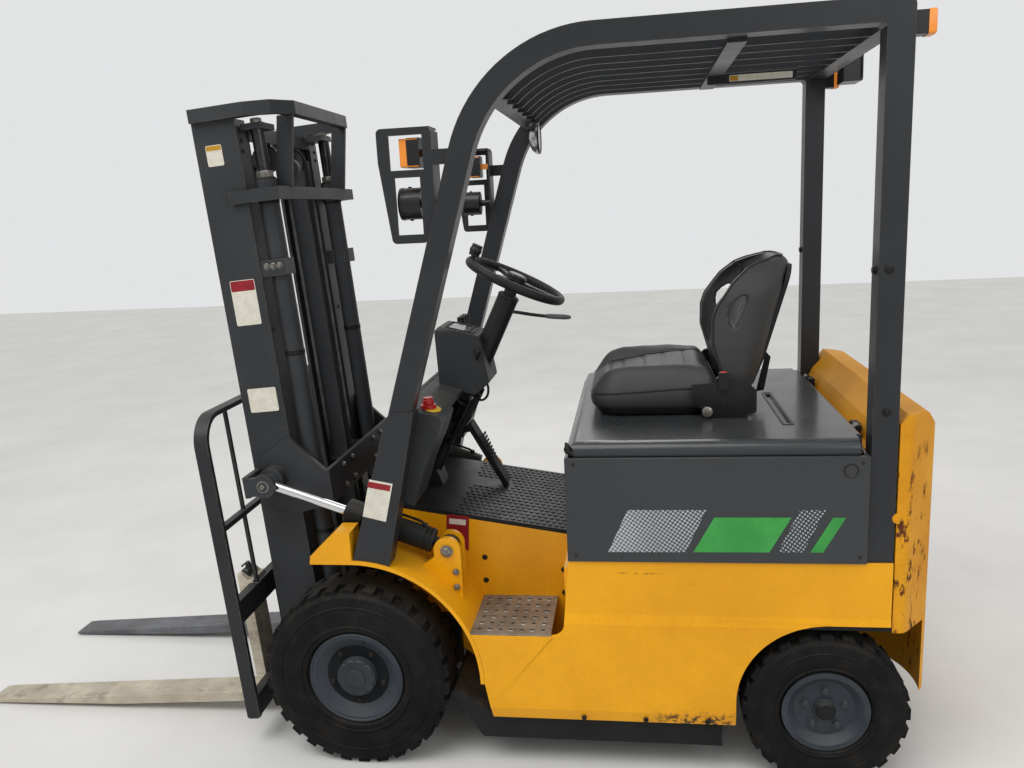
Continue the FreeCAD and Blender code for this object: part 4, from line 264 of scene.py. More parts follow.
@dataclass(frozen=True)
class Finish:
    """A finish with cloudy colour, fine grain, settled dust and worn edges."""

    name: str
    slot: str
    colour: Colour
    shade: Colour
    rough: float = 0.42
    metal: float = 0.0
    coat: float = 0.0
    patch: float = 3.0
    grain: float = 300.0
    relief: float = 0.12
    dust: float = 0.18
    dust_colour: Colour = (128, 121, 108)
    wear: float = 0.0
    bare: Colour = (148, 144, 136)
    clear: float = 0.0
    shine: float = 0.3

    def material(self) -> bpy.types.Material:
        """The material of this finish, made once."""
        return bpy.data.materials.get(self.name) or self.make()

    def make(self) -> bpy.types.Material:
        """Builds the node tree.

        Returns:
            The new material.
        """
        shader = Shader(self.name)
        cloud = shader.noise(self.patch, 4.0, 0.62)
        fine = shader.noise(self.grain, 2.0, 0.6)
        colour = shader.mix(shader.span(cloud, 0.36, 0.68), linear(self.colour), linear(self.shade))
        dark = linear((self.shade[0] * 0.78, self.shade[1] * 0.78, self.shade[2] * 0.78))
        colour = shader.mix(shader.span(fine, 0.4, 0.72, 0.0, 0.35), colour, dark)
        rough = shader.span(cloud, 0.32, 0.7, max(self.rough - 0.08, 0.03), min(self.rough + 0.1, 1.0))
        coat = self.detail(shader, Coat(colour, rough, self.metal, fine))
        if self.dust > 0:
            settled = shader.times(shader.upward(), shader.span(shader.noise(9.0, 3.0, 0.7), 0.38, 0.66, 0.25, 1.0))
            settled = shader.times(settled, self.dust)
            coat.colour = shader.mix(settled, coat.colour, linear(self.dust_colour))
            coat.rough = shader.blend(settled, coat.rough, 0.85)
        if self.wear > 0:
            rubbed = shader.times(shader.edges(0.0035), shader.span(shader.noise(38.0, 3.0, 0.7), 0.42, 0.56))
            rubbed = shader.times(rubbed, self.wear)
            coat.colour = shader.mix(rubbed, coat.colour, linear(self.bare))
            coat.metal = shader.span(rubbed, 0.0, 1.0, self.metal, 0.85)
        bump = {"Strength": 1.0, "Distance": self.relief * 0.001, "Height": coat.height}
        sockets = {
            "Base Color": coat.colour,
            "Roughness": coat.rough,
            "Metallic": coat.metal,
            "Normal": shader.add("ShaderNodeBump", bump),
            "Coat Weight": self.coat,
            "Coat Roughness": 0.12,
            "Transmission Weight": self.clear,
            "Specular IOR Level": self.shine,
        }
        for name, value in sockets.items():
            socket = shader.surface.inputs[name]
            if isinstance(value, bpy.types.NodeSocket):
                shader.tree.links.new(value, socket)
            else:
                socket.default_value = value
        return shader.material

    def detail(self, shader: Shader, coat: Coat) -> Coat:
        """What a special finish adds; this plain one adds nothing."""
        return coat


@dataclass(frozen=True)
class CastPaint(Finish):
    """Paint over rough casting, with rust where the corner has been struck."""

    rust: Colour = (92, 48, 20)

    def detail(self, shader: Shader, coat: Coat) -> Coat:
        """Adds the casting's skin and the rust at the left rear corner.

        Args:
            shader: The tree.
            coat: The paint so far.

        Returns:
            The paint with its casting skin and rust.
        """
        corner = shader.times(shader.within("X", 0.36, 0.6, 0.06), shader.within("Y", 1.455, 1.60, 0.03))
        upper = shader.times(corner, shader.within("Z", 0.56, 0.98, 0.05))
        lower = shader.times(corner, shader.within("Z", 0.30, 0.50, 0.04))
        blotch = shader.span(shader.noise(30.0, 6.0, 0.68, (1, 1, 0.45)), 0.56, 0.61)
        marks = shader.times(shader.most(upper, lower), blotch)
        skin = shader.noise(34.0, 6.0, 0.7)
        coat.colour = shader.mix(marks, coat.colour, linear(self.rust))
        coat.rough = shader.blend(marks, coat.rough, 0.9)
        coat.height = shader.add("ShaderNodeMath", {0: coat.height, 1: skin}, operation="ADD")
        return coat


@dataclass(frozen=True)
class ScratchedPaint(Finish):
    """Gloss paint with long scratches, scuffs and a rusty lower edge."""

    scratch: Colour = (70, 52, 26)

    def detail(self, shader: Shader, coat: Coat) -> Coat:
        """Adds the scratches in the places where boots and pallets rub.

        Args:
            shader: The tree.
            coat: The paint so far.

        Returns:
            The paint with its marks.
        """
        lines = shader.span(shader.noise(30.0, 3.0, 0.6, (1, 0.05, 2.6)), 0.655, 0.69)
        broken = shader.span(shader.noise(16.0, 3.0, 0.6), 0.5, 0.58)
        upper = shader.times(shader.within("Y", 0.57, 0.92, 0.05), shader.within("Z", 0.585, 0.668, 0.012))
        lower = shader.times(shader.within("Y", 0.72, 1.02, 0.05), shader.within("Z", 0.345, 0.372, 0.004))
        long = shader.times(shader.times(lines, broken), shader.most(upper, lower))
        foot = shader.times(shader.within("Z", 0.1, 0.198, 0.03), shader.within("Y", 0.86, 1.1, 0.08))
        foot = shader.times(foot, shader.span(shader.noise(42.0, 5.0, 0.7), 0.5, 0.58))
        marks = shader.most(shader.times(long, 0.9), foot)
        coat.colour = shader.mix(marks, coat.colour, linear(self.scratch))
        coat.rough = shader.blend(marks, coat.rough, 0.75)
        return coat


@dataclass(frozen=True)
class GrainedVinyl(Finish):
    """Vinyl with a fine leather grain."""

    def detail(self, shader: Shader, coat: Coat) -> Coat:
        """Swaps the height for leather cells and soft creases.

        Args:
            shader: The tree.
            coat: The vinyl so far.

        Returns:
            The grained vinyl.
        """
        cells = shader.add("ShaderNodeTexVoronoi", {"Vector": shader.place, "Scale": 420.0}, "Distance")
        crease = shader.noise(22.0, 4.0, 0.6, (1, 1, 2))
        coat.height = shader.add("ShaderNodeMath", {0: cells, 1: crease}, operation="ADD")
        return coat


@dataclass(frozen=True)
class DustyRubber(Finish):
    """Tyre rubber, browner where the road has rubbed it."""

    def detail(self, shader: Shader, coat: Coat) -> Coat:
        """Adds brown road dust in the tread and on the side.

        Args:
            shader: The tree.
            coat: The rubber so far.

        Returns:
            The dusty rubber.
        """
        dust = shader.span(shader.noise(14.0, 6.0, 0.72), 0.46, 0.78, 0.0, 0.3)
        coat.colour = shader.mix(dust, coat.colour, linear((62, 57, 49)))
        coat.rough = shader.blend(dust, coat.rough, 0.95)
        return coat


@dataclass(frozen=True)
class StreakedSteel(Finish):
    """Bare steel rubbed along its length."""

    along: tuple[float, float, float] = (1, 0.04, 1)
    stain: Colour = (92, 76, 58)

    def detail(self, shader: Shader, coat: Coat) -> Coat:
        """Adds streaks along the steel and brown stains.

        Args:
            shader: The tree.
            coat: The steel so far.

        Returns:
            The streaked steel.
        """
        streak = shader.noise(170.0, 3.0, 0.6, self.along)
        stain = shader.span(shader.noise(11.0, 5.0, 0.7), 0.52, 0.7, 0.0, 0.6)
        coat.colour = shader.mix(shader.span(streak, 0.4, 0.66, 0.0, 0.5), coat.colour, linear(self.shade))
        coat.colour = shader.mix(stain, coat.colour, linear(self.stain))
        coat.rough = shader.span(streak, 0.35, 0.7, self.rough - 0.06, self.rough + 0.16)
        coat.height = streak
        return coat


@dataclass(frozen=True)
class RibbedLens(Finish):
    """A coloured lens with fine upright ribs."""

    def detail(self, shader: Shader, coat: Coat) -> Coat:
        """Swaps the height for ribs.

        Args:
            shader: The tree.
            coat: The lens so far.

        Returns:
            The ribbed lens.
        """
        inputs = {"Vector": shader.place, "Scale": 46.0, "Distortion": 0.2}
        coat.height = shader.add("ShaderNodeTexWave", inputs, bands_direction="X")
        return coat


@dataclass(frozen=True)
class DottedFilm(Finish):
    """Printed film: a field of round dots that thins out along its length."""

    pitch: float = 0.0095
    ground: Colour = (62, 66, 70)

    def detail(self, shader: Shader, coat: Coat) -> Coat:
        """Lays the dots over the ground colour.

        Args:
            shader: The tree.
            coat: The film so far.

        Returns:
            The dotted film.
        """
        turned = shader.add("ShaderNodeMapping", {"Vector": shader.place, "Rotation": (0.6, 0.0, 0.0)})
        cell = shader.add(
            "ShaderNodeVectorMath", {0: turned, 1: (self.pitch,) * 3}, "Vector", operation="MODULO"
        )
        cell = shader.add("ShaderNodeVectorMath", {0: cell, 1: (0, self.pitch / 2, self.pitch / 2)}, operation="SUBTRACT")
        flat = shader.add("ShaderNodeVectorMath", {0: cell, 1: (0, 1, 1)}, operation="MULTIPLY")
        reach = shader.add("ShaderNodeVectorMath", {0: flat}, "Value", operation="LENGTH")
        fade = shader.span(shader.part("Y"), 0.62, 1.28, 0.0046, 0.0024)
        dot = shader.add("ShaderNodeMath", {0: reach, 1: fade}, operation="LESS_THAN")
        coat.colour = shader.mix(dot, linear(self.ground), coat.colour)
        return coat


YELLOW = ScratchedPaint("yellow_gloss", "yellow_paint", (238, 168, 6), (222, 152, 4), 0.4, coat=0.12, dust=0.12)
CAST_YELLOW = CastPaint("yellow_cast", "yellow_paint", (230, 160, 14), (206, 138, 8), 0.55, relief=0.9, dust=0.15)
GREY = Finish("slate_grey", "dark_grey_paint", (50, 53, 56), (42, 45, 48), 0.42, dust=0.12)
GLOSS_GREY = Finish("slate_gloss", "dark_grey_paint", (50, 53, 56), (43, 46, 49), 0.26, coat=0.35, patch=2.0, dust=0.08)
MAST_GREY = Finish("mast_grey", "dark_grey_paint", (52, 54, 57), (42, 44, 46), 0.5, dust=0.12, wear=0.35)
BLACK = Finish("chassis_black", "black_paint", (28, 29, 30), (20, 21, 22), 0.5, dust=0.25, shine=0.2)
RAIL_BLACK = Finish("rail_black", "black_paint", (44, 45, 48), (32, 33, 36), 0.45, dust=0.15, wear=0.6)
BLACK_SATIN = Finish("guard_slate", "black_paint", (42, 44, 47), (34, 36, 39), 0.4, coat=0.1, dust=0.15, wear=0.2)
GLASS_DARK = Finish("screen_glass", "lamp_black", (30, 36, 38), (24, 29, 31), 0.08, coat=1.0, relief=0.02, dust=0.05)
GRIP_GREY = Finish("grip_grey", "cowl_plastic", (104, 106, 106), (86, 88, 88), 0.5, grain=700.0, relief=0.2, dust=0.1)
WHEEL_GREY = Finish("wheel_grey", "wheel_blue_grey", (54, 60, 67), (42, 48, 55), 0.46, dust=0.2, patch=9.0)
# Painted shade for the deep dish of the front rims.
WHEEL_PAINTED_SHADE = Finish("wheel_shadow", "wheel_blue_grey", (22, 25, 28), (15, 17, 20), 0.6, dust=0.1, patch=9.0, shine=0.15)
RUBBER = DustyRubber("tyre_side", "tyre_rubber", (23, 23, 24), (17, 17, 18), 0.78, grain=180.0, relief=0.35, dust=0.1, shine=0.15)
MAT_RUBBER = Finish("floor_mat_rubber", "mat_rubber", (27, 28, 30), (19, 20, 22), 0.36, patch=14.0, relief=0.3, dust=0.1)
FORK_PALE = StreakedSteel("fork_worn", "fork_steel", (214, 204, 184), (170, 161, 144), 0.5, 0.35, patch=6.0, dust=0.1)
FORK_BLUE = StreakedSteel("fork_blued", "fork_steel", (124, 126, 130), (92, 93, 97), 0.46, 0.45, patch=6.0, dust=0.1)
STEP = Finish("step_plate", "step_steel", (168, 160, 148), (120, 108, 94), 0.46, 0.5, patch=12.0, dust=0.15)
CHROME = Finish("rod_chrome", "rod_chrome", (206, 208, 210), (180, 182, 186), 0.12, 1.0, dust=0.0, relief=0.02)
BRIGHT = Finish("plated_bolt", "rod_chrome", (150, 148, 140), (112, 109, 102), 0.36, 0.8, patch=60.0, dust=0.0)
HUB_GREY = Finish("hub_grey", "wheel_blue_grey", (44, 49, 55), (34, 39, 45), 0.46, dust=0.15, patch=9.0)
OILED = Finish("oiled_steel", "chain_steel", (48, 47, 46), (30, 29, 28), 0.42, 0.6, patch=30.0, dust=0.1)
PLASTIC = Finish("moulded_black", "black_plastic", (32, 32, 34), (25, 25, 27), 0.5, grain=700.0, relief=0.2, dust=0.12)
COWL = Finish("moulded_slate", "cowl_plastic", (46, 48, 50), (38, 40, 42), 0.5, grain=700.0, relief=0.2, dust=0.12)
VINYL = GrainedVinyl("seat_vinyl", "seat_vinyl", (25, 25, 27), (17, 17, 19), 0.3, coat=0.3, relief=0.5, dust=0.1, shine=0.4)
PIPING = GrainedVinyl("seat_piping", "seat_vinyl", (38, 38, 40), (28, 28, 30), 0.34, coat=0.2, relief=0.3, dust=0.1)
SHELL = Finish("seat_shell", "black_plastic", (27, 27, 29), (20, 20, 22), 0.36, grain=600.0, relief=0.15, dust=0.1)
AMBER = RibbedLens("amber_lens", "amber_lens", (206, 96, 26), (176, 66, 14), 0.16, coat=0.8, relief=0.8, clear=0.15)
DARK_CHROME = Finish("lift_rod_oiled", "rod_chrome", (70, 70, 72), (44, 44, 46), 0.3, 0.8, patch=20.0, dust=0.05)
CLEAR = RibbedLens("clear_lens", "lamp_black", (206, 210, 212), (186, 190, 194), 0.1, coat=1.0, relief=0.6, clear=0.35)
LAMP = Finish("lamp_case", "lamp_black", (26, 27, 29), (19, 20, 22), 0.36, coat=0.2, grain=500.0, dust=0.1)
SILVERED = Finish("mirror_face", "mirror_shell", (206, 208, 208), (180, 182, 182), 0.2, 0.85, relief=0.02, dust=0.05)
RED = Finish("red_knob", "red_plastic", (186, 30, 26), (160, 22, 20), 0.3, coat=0.5)
SWITCH_YELLOW = Finish("switch_yellow", "yellow_paint", (236, 196, 26), (220, 176, 18), 0.36, coat=0.3)
PLATE = Finish("plate_white", "cowl_plastic", (222, 218, 204), (204, 199, 184), 0.36, patch=30.0, relief=0.05)
PLATE_RED = Finish("plate_red", "red_plastic", (150, 34, 44), (128, 26, 36), 0.36, patch=30.0, relief=0.05)
PLATE_AMBER = Finish("plate_amber", "yellow_paint", (196, 150, 44), (176, 130, 36), 0.36, patch=30.0, relief=0.05)
# Dark rubber for seals, ribs and cables, also used as painted shade in the step's holes.
SEAL_AND_HOLE_SHADE = Finish("seal_rubber_and_hole_shade", "mat_rubber", (26, 26, 28), (20, 20, 22), 0.7, patch=20.0)
BATTERY = Finish("battery_case", "battery_case", (52, 54, 58), (40, 42, 46), 0.55)
SILVER_FILM = DottedFilm("silver_film", "step_steel", (186, 190, 192), (160, 164, 168), 0.4, 0.2, relief=0.04, dust=0.1)
GREEN_FILM = Finish("green_film", "cowl_plastic", (64, 158, 74), (52, 140, 62), 0.4, patch=9.0, relief=0.05, dust=0.1)


class Form:
    """A mesh under way, in millimetres, that grows from simple shapes."""

    def __init__(self) -> None:
        """Starts empty, with shapes placed as they are given."""
        self.mesh = bmesh.new()
        self.at = Matrix.Identity(4)

    def moved(self, matrix: Matrix) -> "Form":
        """Places the shapes that follow by this matrix."""
        self.at = matrix
        return self

    def skin(self, points: Sequence[Point], faces: Sequence[Sequence[int]]) -> None:
        """Adds points and the faces between them.

        Args:
            points: The corners.
            faces: Corner numbers of each face.
        """
        corners = [self.mesh.verts.new(self.at @ Vector(point)) for point in points]
        for face in faces:
            self.mesh.faces.new([corners[number] for number in face])

    def rings(self, rings: Sequence[Sequence[Point]], closed: bool = True, caps: bool = True, loop: bool = False) -> None:
        """Skins a row of outlines that have as many points each.

        Args:
            rings: The outlines in order.
            closed: Whether each outline is a closed one.
            caps: Whether the first and last are filled.
            loop: Whether the last joins the first.
        """
        count = len(rings[0])
        points = [point for ring in rings for point in ring]
        faces: list[list[int]] = []
        for row in range(len(rings) if loop else len(rings) - 1):
            low, high = row * count, ((row + 1) % len(rings)) * count
            for spot in range(count if closed else count - 1):
                nxt = (spot + 1) % count
                faces.append([low + spot, low + nxt, high + nxt, high + spot])
        if caps and not loop:
            faces.append(list(range(count))[::-1])
            faces.append([(len(rings) - 1) * count + spot for spot in range(count)])
        self.skin(points, faces)

    def box(self, low: Point, high: Point, soft: float = 1.0) -> None:
        """A block with softened edges.

        Args:
            low: Its lowest corner.
            high: Its highest corner.
            soft: Width of the edge softening.
        """
        spans = [(min(a, b), max(a, b)) for a, b in zip(low, high)]
        soft = min([soft] + [(b - a) * 0.4 for a, b in spans])
        (x0, x1), (y0, y1), (z0, z1) = spans
        outline = [
            (x0 + soft, y0), (x1 - soft, y0), (x1, y0 + soft), (x1, y1 - soft),
            (x1 - soft, y1), (x0 + soft, y1), (x0, y1 - soft), (x0, y0 + soft),
        ]
        mid = ((x0 + x1) / 2, (y0 + y1) / 2)

        def ring(inset: float, height: float) -> list[Point]:
            """The outline drawn in by an inset at a height."""
            rows = []
            for x, y in outline:
                rows.append((
                    x - math.copysign(inset, x - mid[0]),
                    y - math.copysign(inset, y - mid[1]),
                    height,
                ))
            return rows

        self.rings([ring(soft, z0), ring(0, z0 + soft), ring(0, z1 - soft), ring(soft, z1)])

    def prism(self, outline: Sequence[Point], axis: Axis, low: float, high: float, holes: Sequence = ()) -> None:
        """A flat outline, with holes in it, pushed along an axis.

        Args:
            outline: Its corners, as pairs.
            axis: The direction of the push.
            low: Where it starts.
            high: Where it ends.
            holes: Outlines of openings through it.
        """
        loops = [list(outline)] + [list(hole) for hole in holes]
        flat = [pair for loop in loops for pair in loop]
        triangles = tessellate_polygon([[Vector((a, b, 0)) for a, b in loop] for loop in loops])
        count = len(flat)
        points = [axis.spot(low, *pair) for pair in flat] + [axis.spot(high, *pair) for pair in flat]
        faces = [[a, b, c] for a, b, c in triangles] + [[count + c, count + b, count + a] for a, b, c in triangles]
        start = 0
        for loop in loops:
            for spot in range(len(loop)):
                nxt = start + (spot + 1) % len(loop)
                faces.append([start + spot, nxt, count + nxt, count + start + spot])
            start += len(loop)
        self.skin(points, faces)

    def turned(self, profile: Sequence[Point], axis: Axis, centre: Point, steps: int = 32, loop: bool = False) -> None:
        """A profile turned round an axis.

        Args:
            profile: Pairs of place along the axis and radius.
            axis: The axis.
            centre: A point on the axis; the profile's places count from it.
            steps: Sides round the axis.
            loop: Whether the profile is a closed ring section.
        """
        rings = []
        for along, radius in profile:
            ring = []
            for step in range(steps):
                angle = 2 * math.pi * step / steps
                across = (max(radius, 0.05) * math.cos(angle), max(radius, 0.05) * math.sin(angle))
                ring.append(axis.spot(along, *across) + Vector(centre))
            rings.append(ring)
        self.rings(rings, loop=loop)

    def tube(self, path: Sequence[Point], radius: float, steps: int = 10, ends: bool = True, loop: bool = False) -> None:
        """A round bar along a path.

        Args:
            path: The points that it follows.
            radius: Its radius.
            steps: Sides round it.
            ends: Whether its ends are filled.
            loop: Whether the path is closed.
        """
        line = [Vector(point) for point in path]
        side = Vector((0.31, 0.52, 0.79))
        rings = []
        for number, point in enumerate(line):
            before = line[number - 1] if number or loop else point
            after = line[(number + 1) % len(line)] if number + 1 < len(line) or loop else point
            run = (after - before).normalized()
            side = (side - run * side.dot(run)).normalized()
            other = run.cross(side)
            rings.append([
                point + (side * math.cos(a) + other * math.sin(a)) * radius
                for a in (2 * math.pi * step / steps for step in range(steps))
            ])
        self.rings(rings, caps=ends, loop=loop)

    def bolt(self, centre: Point, along: Point, radius: float, high: float) -> None:
        """A hexagon bolt head on a washer.

        Args:
            centre: Middle of the face that it sits on.
            along: Direction that it stands out in.
            radius: Corner radius of the head.
            high: Height of the head.
        """
        keep = self.at
        turn = Vector(along).to_track_quat("Z", "Y").to_matrix().to_4x4()
        self.at = keep @ Matrix.Translation(Vector(centre)) @ turn
        washer = [(-0.5, 0), (-0.5, radius * 1.32), (1.2, radius * 1.32), (1.8, radius * 1.2), (1.8, 0)]
        self.turned(washer, Axis.Z, (0, 0, 0), 18)
        head = [(1.6, 0), (1.6, radius), (high - 1.4, radius), (high, radius * 0.84), (high + 0.2, 0)]
        self.turned(head, Axis.Z, (0, 0, 0), 6)
        self.at = keep

    def piece(self, name: str, body: str, finish: Finish, place: Matrix = TRUCK, sharp: float = 32.0) -> bpy.types.Object:
        """Ends the mesh as an object that rides on a body.

        Args:
            name: The piece's name.
            body: The body that it moves with.
            finish: Its finish.
            place: Takes its millimetres to the row frame.
            sharp: Edges over this angle stay sharp, in degrees.

        Returns:
            The object.
        """
        bmesh.ops.transform(self.mesh, matrix=place, verts=self.mesh.verts)
        bmesh.ops.remove_doubles(self.mesh, verts=self.mesh.verts, dist=1e-6)
        bmesh.ops.recalc_face_normals(self.mesh, faces=self.mesh.faces)
        data = bpy.data.meshes.new(name)
        self.mesh.to_mesh(data)
        self.mesh.free()
        data.shade_smooth()
        data.set_sharp_from_angle(angle=math.radians(sharp))
        data.materials.append(finish.material())
        thing = bpy.data.objects.new(name, data)
        bpy.context.scene.collection.objects.link(thing)
        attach(thing, body)
        LOG.info("piece %s rides on %s, %d faces", name, body, len(data.polygons))
        return thing


def rounded(low: Point, high: Point, radius: float, steps: int = 5) -> list[tuple[float, float]]:
    """The outline of a rectangle with round corners.

    Args:
        low: Its lowest corner, a pair.
        high: Its highest corner.
        radius: Corner radius.
        steps: Points on each corner.

    Returns:
        The outline's points.
    """
    middles = [
        (high[0] - radius, high[1] - radius, 0.0),
        (low[0] + radius, high[1] - radius, 0.5),
        (low[0] + radius, low[1] + radius, 1.0),
        (high[0] - radius, low[1] + radius, 1.5),
    ]
    points = []
    for a, b, start in middles:
        for step in range(steps + 1):
            angle = math.pi * (start + 0.5 * step / steps)
            points.append((a + radius * math.cos(angle), b + radius * math.sin(angle)))
    return points


def smoothed(points: Sequence[Point], count: int = 8) -> list[Vector]:
    """A smooth line through a few points.

    Args:
        points: The points that it goes through.
        count: Parts between each two.

    Returns:
        The finer points.
    """
    line = [Vector(point) for point in points]
    result = []
    for number in range(len(line) - 1):
        before, start, end = line[max(number - 1, 0)], line[number], line[number + 1]
        after = line[min(number + 2, len(line) - 1)]
        for step in range(count):
            t = step / count
            result.append(
                start * (2 * t**3 - 3 * t**2 + 1)
                + end * (3 * t**2 - 2 * t**3)
                + (end - before) * 0.5 * (t**3 - 2 * t**2 + t)
                + (after - start) * 0.5 * (t**3 - t**2)
            )
    result.append(line[-1])
    return result


def dress(node: str, finish: Finish, soft: float = 1.5) -> None:
    """Gives a CAD node its finish and rounds its edges with modifiers.

    Args:
        node: The node's name.
        finish: Its finish.
        soft: Width of the rounding in millimetres; nought leaves the edges.
    """
    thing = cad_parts[node]
    for place in thing.material_slots:
        place.link = "OBJECT"
        place.material = finish.material()
    if soft:
        weld = thing.modifiers.new("Weld", "WELD")
        weld.merge_threshold = 0.00002
        edge = thing.modifiers.new("Edge", "BEVEL")
        edge.width = soft / 1000
        edge.segments = 2
        edge.limit_method = "ANGLE"
        edge.angle_limit = math.radians(34)
        smooth = thing.modifiers.new("Normals", "WEIGHTED_NORMAL")
        smooth.keep_sharp = True
    LOG.info("node %s is dressed in %s", node, finish.name)


@dataclass
class CameraRig:
    """The camera that stands where the photograph was taken."""

    place: tuple[float, float, float] = (2.8357, 0.77235, 1.6995)
    turn: float = 0.1489
    dip: float = 0.2037
    roll: float = -0.0513
    focal: float = 845.6
    frame_wide: float = 1024.0

    def build(self) -> None:
        """Makes the camera and sets it as the scene's."""
        ahead = Vector((
            -math.cos(self.dip) * math.cos(self.turn),
            -math.cos(self.dip) * math.sin(self.turn),
            -math.sin(self.dip),
        ))
        right = ahead.cross(Vector((0, 0, 1))).normalized()
        up = right.cross(ahead)
        across = right * math.cos(self.roll) + up * math.sin(self.roll)
        rise = up * math.cos(self.roll) - right * math.sin(self.roll)
        lens = bpy.data.cameras.new("camera")
        lens.sensor_width = 36.0
        lens.lens = 36.0 * self.focal / self.frame_wide
        lens.clip_end = 60.0
        camera = bpy.data.objects.new("camera", lens)
        matrix = Matrix((across, rise, -ahead)).transposed().to_4x4()
        camera.matrix_world = Matrix.Translation(self.place) @ matrix
        bpy.context.scene.collection.objects.link(camera)
        bpy.context.scene.camera = camera


@dataclass
class Studio:
    """A pale floor and soft light at a plain level."""

    half: float = 14.0
    pale: Colour = (212, 211, 208)
    sky: float = 0.62
    sun: float = 1.15
    lamps: tuple = (
        ((2.4, -2.2, 4.2), (0.0, 0.0, 0.9), 2.6, 48.0),
        ((3.6, 3.4, 3.4), (0.0, 0.3, 0.8), 2.4, 40.0),
        ((-3.4, 0.6, 3.6), (0.0, 0.2, 1.0), 2.4, 30.0),
    )

    def build(self) -> None:
        """Makes the floor, the world and the lamps."""
        self.floor()
        self.world()
        for number, (place, aim, size, power) in enumerate(self.lamps):
            light = bpy.data.lights.new(f"soft_box_{number}", "AREA")
            light.shape = "DISK"
            light.size = size
            light.energy = power
            lamp = bpy.data.objects.new(f"soft_box_{number}", light)
            turn = (Vector(aim) - Vector(place)).to_track_quat("-Z", "Y").to_matrix().to_4x4()
            lamp.matrix_world = Matrix.Translation(place) @ turn
            bpy.context.scene.collection.objects.link(lamp)
        light = bpy.data.lights.new("soft_sun", "SUN")
        light.angle = math.radians(38)
        light.energy = self.sun
        lamp = bpy.data.objects.new("soft_sun", light)
        lamp.rotation_euler = Vector((1.1, -0.5, 2.4)).to_track_quat("Z", "Y").to_euler()
        bpy.context.scene.collection.objects.link(lamp)

    def floor(self) -> None:
        """Makes the floor with its faint mottling."""
        data = bpy.data.meshes.new("floor")
        edge = self.half
        corners = [(-edge, -edge, 0), (edge, -edge, 0), (edge, edge, 0), (-edge, edge, 0)]
        data.from_pydata(corners, [], [(0, 1, 2, 3)])
        shader = Shader("studio_floor")
        cloud = shader.noise(1.6, 5.0, 0.6)
        dark = (self.pale[0] - 9, self.pale[1] - 9, self.pale[2] - 9)
        colour = shader.mix(shader.span(cloud, 0.35, 0.7), linear(self.pale), linear(dark))
        shader.tree.links.new(colour, shader.surface.inputs["Base Color"])
        shader.surface.inputs["Roughness"].default_value = 0.75
        data.materials.append(shader.material)
        floor = bpy.data.objects.new("floor", data)
        bpy.context.scene.collection.objects.link(floor)

    def world(self) -> None:
        """Lights the object evenly and shows a pale ground behind it."""
        world = bpy.data.worlds.new("studio")
        world.use_nodes = True
        tree = world.node_tree
        tree.nodes.clear()
        rays = tree.nodes.new("ShaderNodeLightPath")
        light = tree.nodes.new("ShaderNodeBackground")
        light.inputs["Color"].default_value = (1, 1, 1, 1)
        light.inputs["Strength"].default_value = self.sky
        seen = tree.nodes.new("ShaderNodeBackground")
        seen.inputs["Color"].default_value = linear((226, 227, 228))
        seen.inputs["Strength"].default_value = 1.0
        choose = tree.nodes.new("ShaderNodeMixShader")
        output = tree.nodes.new("ShaderNodeOutputWorld")
        tree.links.new(rays.outputs["Is Camera Ray"], choose.inputs[0])
        tree.links.new(light.outputs[0], choose.inputs[1])
        tree.links.new(seen.outputs[0], choose.inputs[2])
        tree.links.new(choose.outputs[0], output.inputs[0])
        bpy.context.scene.world = world
        bpy.context.scene.view_settings.view_transform = "Standard"


